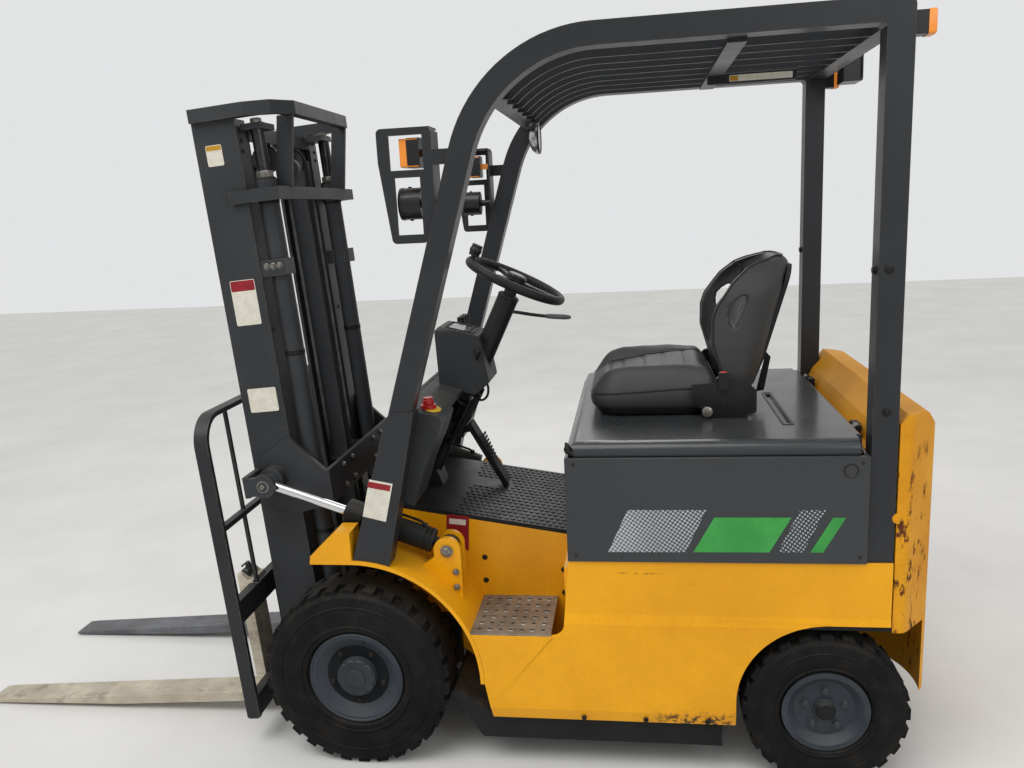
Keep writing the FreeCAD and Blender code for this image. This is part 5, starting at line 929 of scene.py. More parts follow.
@dataclass
class Wheels:
    """Rims with hub caps, nuts and rolled edges, on all four wheels."""

    front: tuple[float, float] = (465.0, 295.0)
    rear: tuple[float, float] = (485.0, 233.0)
    rear_y: float = 1404.0
    lobes: int = 10

    def build(self) -> None:
        """Dresses the four wheels."""
        for side, sign in (("left", 1), ("right", -1)):
            for end in ("front", "rear"):
                dress(f"tyre_{end}_{side}", RUBBER, 0.0)
                dress(f"rim_{end}_{side}", WHEEL_GREY, 1.2)
            self.front_cap(side, sign)
            self.front_nuts(side, sign)
            self.front_ring(side, sign)
            self.rear_nuts(side, sign)
            self.side_ring(f"wheel_front_{side}", sign, 0.0, self.front, 90.0, 0.815)
            self.side_ring(f"wheel_rear_{side}", sign, self.rear_y, self.rear, 68.0, 0.8)

    def front_cap(self, side: str, sign: int) -> None:
        """The lobed cap over the hub of a front wheel, and a dark ring of painted shade in its deep dish.

        Args:
            side: left or right.
            sign: 1 on the left, -1 on the right.
        """
        form = Form()
        x, z = self.front
        rings = []
        for offset, radius, wave in ((72, 58, 5.0), (76, 59, 5.5), (79.5, 56, 5.0), (80.4, 47, 2.0), (79.0, 42, 0.0), (79.0, 30, 0.0)):
            ring = []
            for step in range(120):
                angle = 2 * math.pi * step / 120
                reach = radius + wave * abs(math.cos(angle * self.lobes / 2)) ** 0.6 - wave / 2
                ring.append((sign * (x + offset), reach * math.cos(angle), z + reach * math.sin(angle)))
            rings.append(ring)
        form.rings(rings, caps=False)
        boss = [(79, 31), (82.4, 30.4), (83.6, 28.6), (83.8, 12), (83.2, 7), (82, 6.6), (81.6, 0)]
        form.turned([(sign * along, radius) for along, radius in boss], Axis.X, (sign * x, 0, z), 40)
        form.piece(f"hub_cap_{side}", f"wheel_front_{side}", HUB_GREY)
        # Painted shade: a dark ring laid over the rim's deep dish, where the rim lies in shade.
        form = Form()
        dish = [(51.4, 63), (53, 63), (53.2, 95), (60.6, 112), (59.4, 113), (51.4, 97)]
        form.turned([(sign * along, radius) for along, radius in dish], Axis.X, (sign * x, 0, z), 72, loop=True)
        form.piece(f"dish_shade_{side}", f"wheel_front_{side}", WHEEL_PAINTED_SHADE)

    def front_nuts(self, side: str, sign: int) -> None:
        """The dark steel nuts and studs round the dish of a front wheel.

        Args:
            side: left or right.
            sign: 1 on the left, -1 on the right.
        """
        form = Form()
        x, z = self.front
        for step in range(5):
            angle = math.radians(90 + 36 + 72 * step)
            centre = (sign * (x + 52.5), 86 * math.cos(angle), z + 86 * math.sin(angle))
            form.bolt(centre, (sign, 0, 0), 10, 9)
            stud = Vector(centre)
            form.turned([(0, 5), (sign * 12, 5), (sign * 13, 4), (sign * 13.2, 0)], Axis.X, stud, 12)
        form.piece(f"wheel_nuts_front_{side}", f"wheel_front_{side}", OILED)

    def front_ring(self, side: str, sign: int) -> None:
        """The rolled ring that locks the tyre on a front rim.

        Args:
            side: left or right.
            sign: 1 on the left, -1 on the right.
        """
        form = Form()
        x, z = self.front
        roll = [(70, 150.5), (75, 151.5), (79, 150), (81, 147), (80.5, 143.5), (77.5, 141.5), (77, 146), (72, 149)]
        form.turned([(sign * along, radius) for along, radius in roll], Axis.X, (sign * x, 0, z), 72, loop=True)
        lip = [(67, 137.5), (70.5, 137), (71.5, 135), (70, 132.5), (66.5, 132)]
        form.turned([(sign * along, radius) for along, radius in lip], Axis.X, (sign * x, 0, z), 72, loop=True)
        form.piece(f"rim_ring_{side}", f"wheel_front_{side}", WHEEL_GREY)
        form = Form()
        valve = Vector((sign * (x + 58), 0, z + 122)).lerp(Vector((sign * (x + 58), 60, z + 108)), 0.5)
        form.tube([valve, valve + Vector((sign * 14, 0, 0)), valve + Vector((sign * 18, 4, 6))], 4.0, 10)
        form.piece(f"rim_peg_{side}", f"wheel_front_{side}", OILED)

    def rear_nuts(self, side: str, sign: int) -> None:
        """The cap and five nuts of a rear wheel.

        Args:
            side: left or right.
            sign: 1 on the left, -1 on the right.
        """
        x, z = self.rear
        form = Form()
        for step in range(5):
            angle = math.radians(90 + 72 * step)
            centre = (sign * (x + 36.5), self.rear_y + 58 * math.cos(angle), z + 58 * math.sin(angle))
            form.bolt(centre, (sign, 0, 0), 11, 13)
        form.piece(f"wheel_nuts_rear_{side}", f"wheel_rear_{side}", WHEEL_GREY)
        form = Form()
        cap = [(49, 29), (54, 28), (59, 23), (61, 14), (61.5, 0)]
        form.turned([(sign * along, radius) for along, radius in cap], Axis.X, (sign * x, self.rear_y, z), 32)
        form.piece(f"grease_cap_{side}", f"wheel_rear_{side}", BLACK)

    def side_ring(self, body: str, sign: int, y: float, wheel: tuple[float, float], half: float, share: float) -> None:
        """Raised rings moulded on a tyre's side.

        Args:
            body: The wheel's body.
            sign: 1 on the left, -1 on the right.
            y: The wheel's place along the truck.
            wheel: Its offset and radius.
            half: Half its width.
            share: Radius of the ring, as a share of the wheel's.
        """
        x, radius = wheel
        form = Form()
        for part, rise in ((share, 2.0), (share - 0.06, 1.4), (0.6, 1.6)):
            reach = radius * part
            out = half - 3.0
            ring = [(out, reach + 4), (out + rise + 1, reach + 2), (out + rise + 1.4, reach), (out + rise + 1, reach - 2), (out, reach - 4)]
            form.turned([(sign * along, across) for along, across in ring], Axis.X, (sign * x, y, radius), 96, loop=True)
        form.piece(f"side_rings_{body}", body, RUBBER)


@dataclass
class Mast:
    """Bolts, plates, nuts and rings on the two stages."""

    face: float = 330.0
    plates: tuple = (
        ("plate_small", -257.0, 1925.0, 52.0, 62.0, PLATE_AMBER, 0.26),
        ("plate_tall", -243.0, 1474.0, 82.0, 142.0, PLATE_RED, 0.24),
        ("plate_square", -243.0, 1160.0, 96.0, 78.0, None, 0.0),
    )

    def build(self) -> None:
        """Dresses the stages and adds what is bolted and stuck on."""
        dress("mast_outer", MAST_GREY, 1.6)
        dress("mast_inner", MAST_GREY, 1.6)
        dress("lift_cylinders", MAST_GREY, 1.2)
        dress("lift_rods", DARK_CHROME, 0.8)
        self.plates_on()
        self.bolts()
        self.cylinder_rings()
        self.struts()
        self.column_rivets()

    def plates_on(self) -> None:
        """The blank plates on the left column, two of them with a coloured head."""
        for name, y, z, wide, high, head, share in self.plates:
            form = Form()
            low, top = (y - wide / 2, z - high / 2), (y + wide / 2, z + high / 2)
            form.prism(rounded(low, top, 5), Axis.X, self.face - 0.3, self.face + 0.8)
            form.piece(name, "mast_outer", PLATE, MAST)
            if head:
                form = Form()
                low = (y - wide / 2 + 2, top[1] - high * share)
                form.prism(rounded(low, (top[0] - 2, top[1] - 2), 3), Axis.X, self.face + 0.5, self.face + 1.2)
                form.piece(f"{name}_head", "mast_outer", head, MAST)

    def bolts(self) -> None:
        """The bolts of the clamps, the ties and the column's rear edge."""
        form = Form()
        for sign in (1, -1):
            for y in (-155, -134, -112):
                form.bolt((sign * 326, y, 1576), (sign, 0, 0), 8, 7)
            for z in (822, 893):
                form.bolt((sign * 210, -58, z), (0, 1, 0), 9, 8)
                form.bolt((sign * 120, -58, z), (0, 1, 0), 9, 8)
            form.bolt((sign * 442, -242, 904), (sign, 0, 0), 15, 4)
            form.bolt((sign * 443.5, -242, 904), (sign, 0, 0), 9, 7)
            for angle in range(6):
                turn = math.radians(30 + 60 * angle)
                form.bolt((sign * 345, 74 * math.cos(turn), 295 + 74 * math.sin(turn)), (sign, 0, 0), 8, 7)
        form.piece("mast_bolts", "mast_outer", BRIGHT, MAST)
        form = Form()
        for sign in (1, -1):
            for z in (1930, 1960, 1990, 640, 1380):
                form.bolt((sign * 304, -176, z), (0, 1, 0), 5.5, 4)
            form.turned([(0, 4.5), (9, 4.5), (10, 3), (10.2, 0)], Axis.Y, (sign * 273, -171.5, 2002), 12)
        form.piece("mast_studs", "mast_outer", OILED, MAST)
        form = Form()
        for sign in (1, -1):
            form.bolt((sign * 285, -128, 2008), (0, 0, 1), 17, 15)
            form.bolt((sign * 110, -190, 1914), (0, 0, 1), 4, 3)
            for x in (123.2, 97):
                out = 1 if x > 110 else -1
                form.bolt((sign * x, -190, 1914), (sign * out, 0, 0), 13, 9)
            for z in (226, 254, 282):
                form.bolt((sign * 180, -172, z), (0, 1, 0), 8, 7)
            for y in (-280, -262, -244, -226, -208):
                form.turned([(0, 5), (2.5, 5), (3, 4), (3, 0)], Axis.Z, (sign * 258, y, 2012), 10)
        form.piece("inner_bolts", "mast_inner", BRIGHT, MAST)

    def cylinder_rings(self) -> None:
        """The rings, gland flats and hose unions of the lift cylinders."""
        form = Form()
        for sign in (1, -1):
            for z, high in ((1299, 9), (700, 8), (1772, 6)):
                ring = [(z - high, 30.2), (z - high + 2, 31.8), (z + high - 2, 31.8), (z + high, 30.2), (z + high, 29), (z - high, 29)]
                form.turned(ring, Axis.Z, (sign * 285, -128, 0), 40, loop=True)
            nut = [(1838, 20.8), (1838, 33), (1843, 32), (1846, 27), (1846, 20.8)]
            form.turned(nut, Axis.Z, (sign * 285, -128, 0), 40, loop=True)
        form.piece("cylinder_rings", "mast_outer", BLACK, MAST)
        form = Form()
        for sign in (1, -1):
            form.turned([(0, 9), (14, 9), (16, 8), (16, 0)], Axis.Y, (sign * 285, -98.5, 186), 6)
            path = [(sign * 285, -84, 186), (sign * 284, -70, 180), (sign * 272, -66, 160), (sign * 240, -66, 150)]
            path += [(sign * 120, -66, 148), (0, -66, 148)]
            form.tube(smoothed(path, 5), 6.5, 10)
        form.piece("cylinder_pipe", "mast_outer", OILED, MAST)

    def struts(self) -> None:
        """The flat struts from the bow down to the tie bar, and the bright nuts on the lift cylinders."""
        form = Form()
        for sign in (1, -1):
            low, high = (-112, -60), (-74, -22)
            rings = []
            for x in (sign * 238, sign * 250):
                rings.append([(x, low[0], 1811), (x, low[1], 1811), (x, high[1], 2026), (x, high[0], 2026)])
            form.rings(rings)
        form.piece("bow_struts", "mast_outer", MAST_GREY, MAST)
        form = Form()
        for sign in (1, -1):
            nut = [(1845, 20.6), (1845, 27), (1848, 28.4), (1862, 28.4), (1865, 26), (1865, 20.6)]
            form.turned(nut, Axis.Z, (sign * 285, -128, 0), 8, loop=True)
        form.piece("gland_nuts", "mast_outer", BRIGHT, MAST)

    def column_rivets(self) -> None:
        """Rivets down the outer faces of the columns."""
        form = Form()
        for sign in (1, -1):
            for number in range(9):
                z = 300 + 190 * number
                form.turned([(0, 3.5), (sign * 1.2, 3.2), (sign * 1.7, 0)], Axis.X, (sign * 330, -186, z), 10)
        form.piece("column_rivets", "mast_outer", MAST_GREY, MAST)


@dataclass
class LiftChains:
    """Leaf chains made of links and pins on the three chain runs."""

    pitch: float = 15.9
    sheave: tuple[float, float] = (-190.0, 1914.0)
    reach: float = 44.8
    half: float = 10.6

    def build(self) -> None:
        """Dresses the plain runs, lays links along all three and hides the front and moving plain runs."""
        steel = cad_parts
        for node in ("chain_front", "chain_moving", "chain_fixed"):
            if node in steel:
                dress(node, OILED, 0.0)
        front = self.run([(-234.8, 458.0 + 8), (-234.8, 1914.0)])
        links = self.chain("links_front", "mast_inner", front)
        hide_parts("chain_front")
        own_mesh(links)
        y, z = self.sheave
        over = [(-145.2, 430.0 + 8), (-145.2, 1914.0)]
        for step in range(1, 13):
            angle = math.pi * step / 12
            over.append((y + self.reach * math.cos(angle), z + self.reach * math.sin(angle)))
        moving = self.chain("links_moving", "mast_inner", self.run(over))
        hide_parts("chain_moving")
        fixed = self.chain("links_fixed", "mast_outer", self.run([(-137.9, 890.0), (-137.9, 1914.0 - 8)]))
        self.anchors()

    def run(self, path: Sequence[tuple[float, float]]) -> list[tuple[float, float]]:
        """Places for the pins at even steps along a path.

        Args:
            path: Pairs of Y and Z.

        Returns:
            The pins' places.
        """
        lengths = [math.dist(a, b) for a, b in zip(path, path[1:])]
        total = sum(lengths)
        count = int(total / self.pitch)
        places = []
        for number in range(count + 1):
            along = total * number / count
            for (start, end), length in zip(zip(path, path[1:]), lengths):
                if along <= length + 1e-6:
                    share = along / length
                    places.append((start[0] + (end[0] - start[0]) * share, start[1] + (end[1] - start[1]) * share))
                    break
                along -= length
        return places

    def chain(self, name: str, body: str, pins: Sequence[tuple[float, float]]) -> bpy.types.Object:
        """Link plates and pins along a run, on both sides.

        Args:
            name: The piece's name.
            body: The body that it moves with.
            pins: The pins' places.

        Returns:
            The piece.
        """
        form = Form()
        for sign in (1, -1):
            for number, (start, end) in enumerate(zip(pins, pins[1:])):
                plates = (-8.6, -2.9, 2.9, 8.6) if number % 2 else (-5.8, 0.0, 5.8)
                self.plates(form, sign * 110, start, end, plates)
            for y, z in pins:
                shaft = [(-self.half, 0), (-self.half, 2.2), (self.half, 2.2), (self.half, 0)]
                form.turned(shaft, Axis.X, (sign * 110, y, z), 6)
        return form.piece(name, body, OILED, MAST, sharp=28)

    def plates(self, form: Form, x: float, start: Point, end: Point, offsets: Sequence[float]) -> None:
        """The link plates between two pins.

        Args:
            form: The mesh under way.
            x: Middle of the chain across the truck.
            start: First pin.
            end: Second pin.
            offsets: Places of the plates across the chain.
        """
        a, b = Vector(start), Vector(end)
        run = (b - a).normalized()
        side = Vector((-run.y, run.x))
        high = 3.4
        outline = []
        for centre, way in ((b, 1), (a, -1)):
            for angle in (-60, 0, 60):
                turn = math.radians(angle)
                outline.append(centre + (run * way * math.cos(turn) + side * way * math.sin(turn)) * high * 1.02)
        for offset in offsets:
            form.prism([tuple(point) for point in outline], Axis.X, x + offset - 1.2, x + offset + 1.2)

    def anchors(self) -> None:
        """The threaded bolts that end the fixed chains at the cross plate."""
        form = Form()
        for sign in (1, -1):
            form.turned([(820, 7), (868, 7), (869, 9), (889, 9), (890, 7), (898, 6), (898, 0)], Axis.Z, (sign * 110, -138, 0), 16)
            form.turned([(806, 0), (806, 7), (820, 7)], Axis.Z, (sign * 110, -138, 0), 14)
            for z in (812, 1001):
                if z < 900:
                    form.bolt((sign * 110, -138, z + 8), (0, 0, -1), 12, 9)
        form.piece("chain_bolts", "mast_outer", BRIGHT, MAST)


@dataclass
class Carriage:
    """The fork carriage, its backrest and the two forks."""

    bar_front: float = -424.0
    hooks: tuple[float, float] = (525.0, 118.0)

    def build(self) -> None:
        """Dresses the steel and adds pins, bolts and welds."""
        dress("carriage", RAIL_BLACK, 1.6)
        dress("backrest", RAIL_BLACK, 1.6)
        dress("fork_left", FORK_PALE, 1.8)
        dress("fork_right", FORK_BLUE, 1.8)
        self.bolts()
        self.fork_pins()
        self.heel_marks()

    def bolts(self) -> None:
        """Bolts of the backrest, weld beads and the stops at the bar's ends."""
        form = Form()
        for sign in (1, -1):
            form.bolt((sign * 469, -408, 488), (sign, 0, 0), 10, 6)
            form.bolt((sign * 469, -408, 152), (sign, 0, 0), 10, 6)
        form.piece("carriage_bolts", "carriage", OILED, MAST)
        form = Form()
        rng = random.Random(4)
        for sign in (1, -1):
            for x, z in ((100, 525), (300, 525), (100, 1146), (300, 1146)):
                bead = []
                for step in range(15):
                    angle = 2 * math.pi * step / 15
                    reach = 10.5 + rng.uniform(-0.8, 0.8)
                    bead.append((sign * x + reach * math.cos(angle), -398 + reach * math.sin(angle), z + (1.5 if z < 900 else -1.5)))
                form.tube(bead, 2.6, 6, loop=True)
        form.piece("backrest_welds", "carriage", RAIL_BLACK, MAST)

    def fork_pins(self) -> None:
        """The lock pin and its lever on top of each fork."""
        for side, sign in (("left", 1), ("right", -1)):
            form = Form()
            x = sign * 257
            form.box((x - 30, -455, 540), (x + 30, -428, 567), 3)
            form.turned([(556, 11), (572, 11), (575, 9), (584, 8), (586, 6), (586, 0)], Axis.Z, (x, -441, 0), 20)
            form.tube(smoothed([(x, -441, 581), (x + 16, -444, 584), (x + 30, -450, 580)], 4), 3.4, 8)
            form.piece(f"fork_lock_{side}", f"fork_{side}", RAIL_BLACK, MAST)

    def heel_marks(self) -> None:
        """A rolled weld where each hook joins the shank."""
        for side, sign in (("left", 1), ("right", -1)):
            form = Form()
            rng = random.Random(9)
            for z in (452, 188):
                line = []
                for step in range(26):
                    x = sign * 257 - 48 + 96 * step / 25
                    line.append((x, -425.5 + rng.uniform(-0.5, 0.5), z + rng.uniform(-0.8, 0.8)))
                form.tube(line, 3.0, 6)
            form.piece(f"fork_welds_{side}", f"fork_{side}", RAIL_BLACK, MAST)


@dataclass
class TiltCylinders:
    """The two tilt cylinders with their hose unions and wiper rings."""

    foot: tuple[float, float, float] = (405.0, 293.0, 678.0)
    lean: float = math.degrees(math.atan(207.7 / 576.7))

    def build(self) -> None:
        """Dresses the barrels and rods and adds their small parts."""
        for side, sign in (("left", 1), ("right", -1)):
            dress(f"tilt_barrel_{side}", BLACK, 1.2)
            dress(f"tilt_rod_{side}", CHROME, 0.8)
            place = TRUCK @ Matrix.Translation((sign * self.foot[0], self.foot[1], self.foot[2]))
            place = place @ Matrix.Rotation(-math.radians(self.lean), 4, "X")
            self.barrel(side, sign, place)

    def barrel(self, side: str, sign: int, place: Matrix) -> None:
        """Rings, unions and the eye's bolt on one barrel.

        Args:
            side: left or right.
            sign: 1 on the left, -1 on the right.
            place: The cylinder's own frame.
        """
        form = Form()
        for y, high in ((-285, 4), (-78, 4), (-64, 3)):
            form.turned([(y - high, 37.2), (y - high + 2, 39.4), (y + high - 2, 39.4), (y + high, 37.2)], Axis.Y, (0, 0, 0), 40)
        gland = [(-346, 16.2), (-346, 30), (-344, 34), (-339, 37), (-339, 16.2)]
        form.turned(gland, Axis.Y, (0, 0, 0), 36, loop=True)
        for y in (-262, -92):
            form.turned([(30, 10), (44, 10), (46, 8.5), (46, 0)], Axis.Z, (0, y, 0), 6)
        pipe = [(0, -262, 38), (-3 * sign, -252, 45), (-5 * sign, -230, 47), (-5 * sign, -124, 47)]
        pipe += [(-3 * sign, -102, 45), (0, -92, 38)]
        form.tube(smoothed(pipe, 5), 4.5, 10)
        form.piece(f"tilt_fittings_{side}", f"tilt_barrel_{side}", OILED, place)
        form = Form()
        for x in (20, -20):
            form.bolt((x, 0, 0), (1 if x > 0 else -1, 0, 0), 13, 5)
        form.piece(f"tilt_foot_nuts_{side}", f"tilt_barrel_{side}", BRIGHT, place)


@dataclass
class Chassis:
    """Sills, fenders, steps and mat, with their bolts, studs and plates."""

    sill: float = 546.0
    step_low: tuple[float, float] = (292.0, 376.0)
    step_high: tuple[float, float] = (540.0, 610.0)

    def build(self) -> None:
        """Dresses the chassis nodes and adds the small pieces."""
        plain = {
            "frame": (YELLOW, 1.2), "side_sills": (YELLOW, 2.4), "fenders": (YELLOW, 2.6), "floor_plate": (BLACK, 1.0),
            "floor_mat": (MAT_RUBBER, 2.0), "steps": (STEP, 1.2), "underframe": (BLACK, 1.2), "drive_axle": (BLACK, 2.0),
            "steer_axle": (BLACK, 2.0), "knuckle_left": (BLACK, 1.2), "knuckle_right": (BLACK, 1.2),
            "steer_rod": (CHROME, 0.8), "battery": (BATTERY, 2.0), "stop_switch": (RED, 1.0),
        }
        for node, (finish, soft) in plain.items():
            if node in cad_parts:
                dress(node, finish, soft)
        for side, sign in (("left", 1), ("right", -1)):
            self.step_tread(side, sign)
            self.fender_edges(side, sign)
            self.stickers(side, sign)
        self.mat_studs()
        self.bolts()

    def step_tread(self, side: str, sign: int) -> None:
        """Raised rings round holes, punched up through the step, with a dark disc of painted shade in each hole.

        Args:
            side: left or right.
            sign: 1 on the left, -1 on the right.
        """
        form = Form()
        rows, columns = 6, 7
        for row in range(rows):
            for column in range(columns):
                x = sign * (self.step_low[0] + 22 + (self.step_high[0] - self.step_low[0] - 44) * row / (rows - 1))
                y = self.step_low[1] + 20 + (self.step_high[1] - self.step_low[1] - 40) * column / (columns - 1)
                raised = (row + column) % 2 == 0
                ring = [(457.6, 11), (460.6, 9.6), (461.4, 8.2), (460.6, 7), (457.8, 6.4)] if raised else [(457.8, 8), (459, 7.4), (459.2, 6.4), (457.8, 5.8)]
                form.turned(ring, Axis.Z, (x, y, 0), 16, loop=True)
        form.piece(f"step_tread_{side}", "chassis", STEP, sharp=40)
        # Painted shade: dark discs inside the rings stand for the shade seen down through the holes.
        form = Form()
        for row in range(rows):
            for column in range(columns):
                x = sign * (self.step_low[0] + 22 + (self.step_high[0] - self.step_low[0] - 44) * row / (rows - 1))
                y = self.step_low[1] + 20 + (self.step_high[1] - self.step_low[1] - 40) * column / (columns - 1)
                form.turned([(457.7, 0), (457.7, 6.2), (458.5, 6.2), (458.5, 0)], Axis.Z, (x, y, 0), 12)
        form.piece(f"step_hole_painted_shade_{side}", "chassis", SEAL_AND_HOLE_SHADE, sharp=40)

    def fender_edges(self, side: str, sign: int) -> None:
        """Bolts along the fender's foot and inside the step well.

        Args:
            side: left or right.
            sign: 1 on the left, -1 on the right.
        """
        form = Form()
        for y, z in ((372, 480), (372, 560), (630, 440), (630, 520)):
            form.bolt((sign * 285, y + 8, z + 30), (sign, 0, 0), 7, 5)
        for y in (706, 890, 1070):
            form.bolt((sign * self.sill, y, 190), (sign, 0, 0), 6, 3)
        form.piece(f"well_bolts_{side}", "chassis", OILED)

    def stickers(self, side: str, sign: int) -> None:
        """The blank red plate on the wall of the step well.

        Args:
            side: left or right.
            sign: 1 on the left, -1 on the right.
        """
        if side == "right":
            return
        form = Form()
        outline = [(262, 738), (336, 731), (328, 611), (255, 656)]
        form.prism(outline, Axis.X, sign * 284.6, sign * 285.8)
        form.piece(f"well_plate_{side}", "chassis", PLATE_RED)
        form = Form()
        form.prism([(270, 724), (325, 719), (323, 700), (269, 706)], Axis.X, sign * 285.4, sign * 286.3)
        form.piece(f"well_plate_band_{side}", "chassis", PLATE)

    def mat_studs(self) -> None:
        """Rows of raised pads on the sloping floor mat."""
        form = Form()
        slope = 0.162
        for row in range(19):
            for column in range(19):
                y = 296 + row * 20 + (10 if column % 2 else 0)
                x = -261 + column * 29
                if y > 664 or (y < 430 and -110 < x < 0):
                    continue
                z = 683 + slope * (656 - y)
                form.moved(Matrix.Translation((x, y, z)) @ Matrix.Rotation(-math.atan(slope), 4, "X"))
                form.turned([(-1, 8.5), (1.2, 8), (2.8, 6), (3.2, 0)], Axis.Z, (0, 0, 0), 10)
        form.moved(Matrix.Identity(4))
        form.piece("mat_pads", "chassis", MAT_RUBBER)

    def bolts(self) -> None:
        """The large head on each tilt lug and two smaller heads below it."""
        form = Form()
        for sign in (1, -1):
            form.bolt((sign * 447, 293, 678), (sign, 0, 0), 15, 9)
            for z in (560, 610):
                form.bolt((sign * 447, 318, z), (sign, 0, 0), 8, 6)
        form.piece("lug_bolts", "chassis", BRIGHT)


@dataclass
class BatteryBox:
    """The side panels with their blank film in a dotted band and a green stripe."""

    face: float = 546.0

    def build(self) -> None:
        """Dresses the panels and lays the film and the fittings on them."""
        dress("battery_panels", GLOSS_GREY, 2.4)
        for side, sign in (("left", 1), ("right", -1)):
            self.film(side, sign)
            self.fittings(side, sign)

    def film(self, side: str, sign: int) -> None:
        """The dotted band and the stripe under it.

        Args:
            side: left or right.
            sign: 1 on the left, -1 on the right.
        """
        base = self.face - 0.3
        bands = (
            (SILVER_FILM, "dotted_band", ((792, 1010), (1262, 1330))),
            (GREEN_FILM, "green_stripe", ((1032, 1240), (1350, 1384))),
        )
        for finish, name, stripes in bands:
            form = Form()
            for start, end in stripes:
                band = [(start, 718 + start * 0.006), (end, 718 + end * 0.006)]
                top = 850 if finish is SILVER_FILM else 828
                band += [(end + 58, top), (start + 58, top)]
                form.prism(band, Axis.X, sign * base, sign * (base + 1.0))
            form.piece(f"{name}_{side}", "chassis", finish)

    def fittings(self, side: str, sign: int) -> None:
        """A finger cup and four screws on the panel.

        Args:
            side: left or right.
            sign: 1 on the left, -1 on the right.
        """
        form = Form()
        cup = [(-1.0, 20), (1.6, 20), (2.2, 18.6), (1.0, 16.4), (-0.4, 15.6), (-0.4, 0)]
        form.turned([(sign * along, radius) for along, radius in cup], Axis.X, (sign * self.face, 1452, 962), 28)
        for y, z in ((700, 984), (1482, 984), (700, 712), (1482, 712)):
            form.turned([(-sign, 0), (-sign, 5), (sign * 1.4, 4.6), (sign * 1.9, 3), (sign * 1.9, 0)], Axis.X, (sign * self.face, y, z), 14)
        form.piece(f"panel_fittings_{side}", "chassis", PLASTIC)


@dataclass
class Hood:
    """The hood with its slot, seal and latch."""

    top: float = 1042.0
    slot: tuple[float, float, float, float] = (-75.0, 1300.0, 350.0, 1320.0)

    def build(self) -> None:
        """Dresses the hood and adds its small pieces."""
        dress("hood", GLOSS_GREY, 3.0)
        dress("hood_hinges", BLACK, 1.0)
        self.slot_lips()
        self.seal()
        self.latch()

    def slot_lips(self) -> None:
        """The pale lips along the slot in the hood's top."""
        x0, y0, x1, y1 = (-72.0, 1309.0, 347.0, 1331.0)
        form = Form()
        outer = rounded((x0 - 7, y0 - 6), (x1 + 7, y1 + 6), 8)
        inner = rounded((x0, y0 + 1), (x1, y1 - 1), 5)
        form.prism(outer, Axis.Z, self.top - 0.6, self.top + 1.8, [inner])
        form.piece("slot_lips", "hood", GREY)

    def seal(self) -> None:
        """The rubber strip under the hood's edge."""
        form = Form()
        path = []
        for x, y in rounded((-524, 690), (524, 1490), 22, 4):
            path.append((x, y, 1003.5))
        form.tube(path, 3.4, 8, loop=True)
        form.piece("hood_seal", "hood", SEAL_AND_HOLE_SHADE)

    def latch(self) -> None:
        """The black latch at the hood's left front corner."""
        form = Form()
        form.box((500, 676, 1010), (531, 690, 1034), 4)
        form.tube(smoothed([(512, 684, 1032), (524, 681, 1040), (531, 684, 1030), (532, 692, 1014)], 5), 4.5, 10)
        form.turned([(676, 0), (676, 6), (673.5, 5.5), (673, 0)], Axis.Y, (515, 0, 1020), 16)
        form.piece("hood_latch", "hood", PLASTIC)


@dataclass
class Counterweight:
    """The cast counterweight and the plugs in its sides."""

    half: float = 532.0
    rear: float = 1735.0

    def build(self) -> None:
        """Dresses the casting and adds its plugs."""
        dress("counterweight", CAST_YELLOW, 5.0)
        form = Form()
        for sign in (1, -1):
            for y, z in ((1640, 640), (1600, 820)):
                plug = [(-1, 0), (-1, 15), (2.5, 14), (3.4, 11), (3.4, 0)]
                if z < 700:
                    continue
                form.turned([(sign * along, radius) for along, radius in plug], Axis.X, (sign * self.half, y - 20, z), 24)
        form.piece("casting_plugs", "chassis", CAST_YELLOW)


@dataclass
class Guard:
    """The overhead guard with its bolts, rivets and labels."""

    def build(self) -> None:
        """Dresses the guard and adds its small pieces."""
        dress("guard_sides", BLACK_SATIN, 3.0)
        dress("guard_roof", BLACK_SATIN, 2.0)
        dress("lamp_brackets", BLACK_SATIN, 1.2)
        self.bolts()
        self.plates()

    def bolts(self) -> None:
        """Bolts at the feet of the rear posts and higher up on them."""
        form = Form()
        for sign in (1, -1):
            form.bolt((sign * 532, 1532, 1500), (sign, 0, 0), 9, 7)
            form.bolt((sign * 532, 1540, 1120), (sign, 0, 0), 9, 7)
            form.bolt((sign * 500, 1506, 1496), (0, -1, 0), 10, 8)
        form.piece("guard_bolts", "chassis", OILED)
        form = Form()
        for sign in (1, -1):
            for x in (117, 234, 351):
                for y in (552, 1545):
                    if y > 1500:
                        form.turned([(2142, 5), (2144.4, 4.6), (2145, 0)], Axis.Z, (sign * x, y, 0), 12)
        form.piece("roof_rivets", "chassis", BLACK)

    def plates(self) -> None:
        """The blank plates on the left pillar and under the roof."""
        form = Form()
        form.prism([(98, 942), (168, 928), (138, 810), (68, 827)], Axis.X, 539.7, 540.8)
        form.piece("pillar_plate", "chassis", PLATE)
        form = Form()
        form.prism([(95, 936), (162, 923), (158, 905), (90, 918)], Axis.X, 540.5, 541.3)
        form.piece("pillar_plate_head", "chassis", PLATE_RED)
        form = Form()
        form.box((-172, 1134, 2066), (-152, 1418, 2100), 3)
        form.piece("label_rail", "chassis", BLACK_SATIN)
        form = Form()
        form.prism(rounded((1204, 2072), (1404, 2092), 3), Axis.X, -152.4, -151.2)
        form.piece("roof_plate", "chassis", PLATE)
        form = Form()
        form.prism(rounded((1206, 2074), (1232, 2090), 2), Axis.X, -151.6, -150.8)
        form.piece("roof_plate_head", "chassis", PLATE_AMBER)


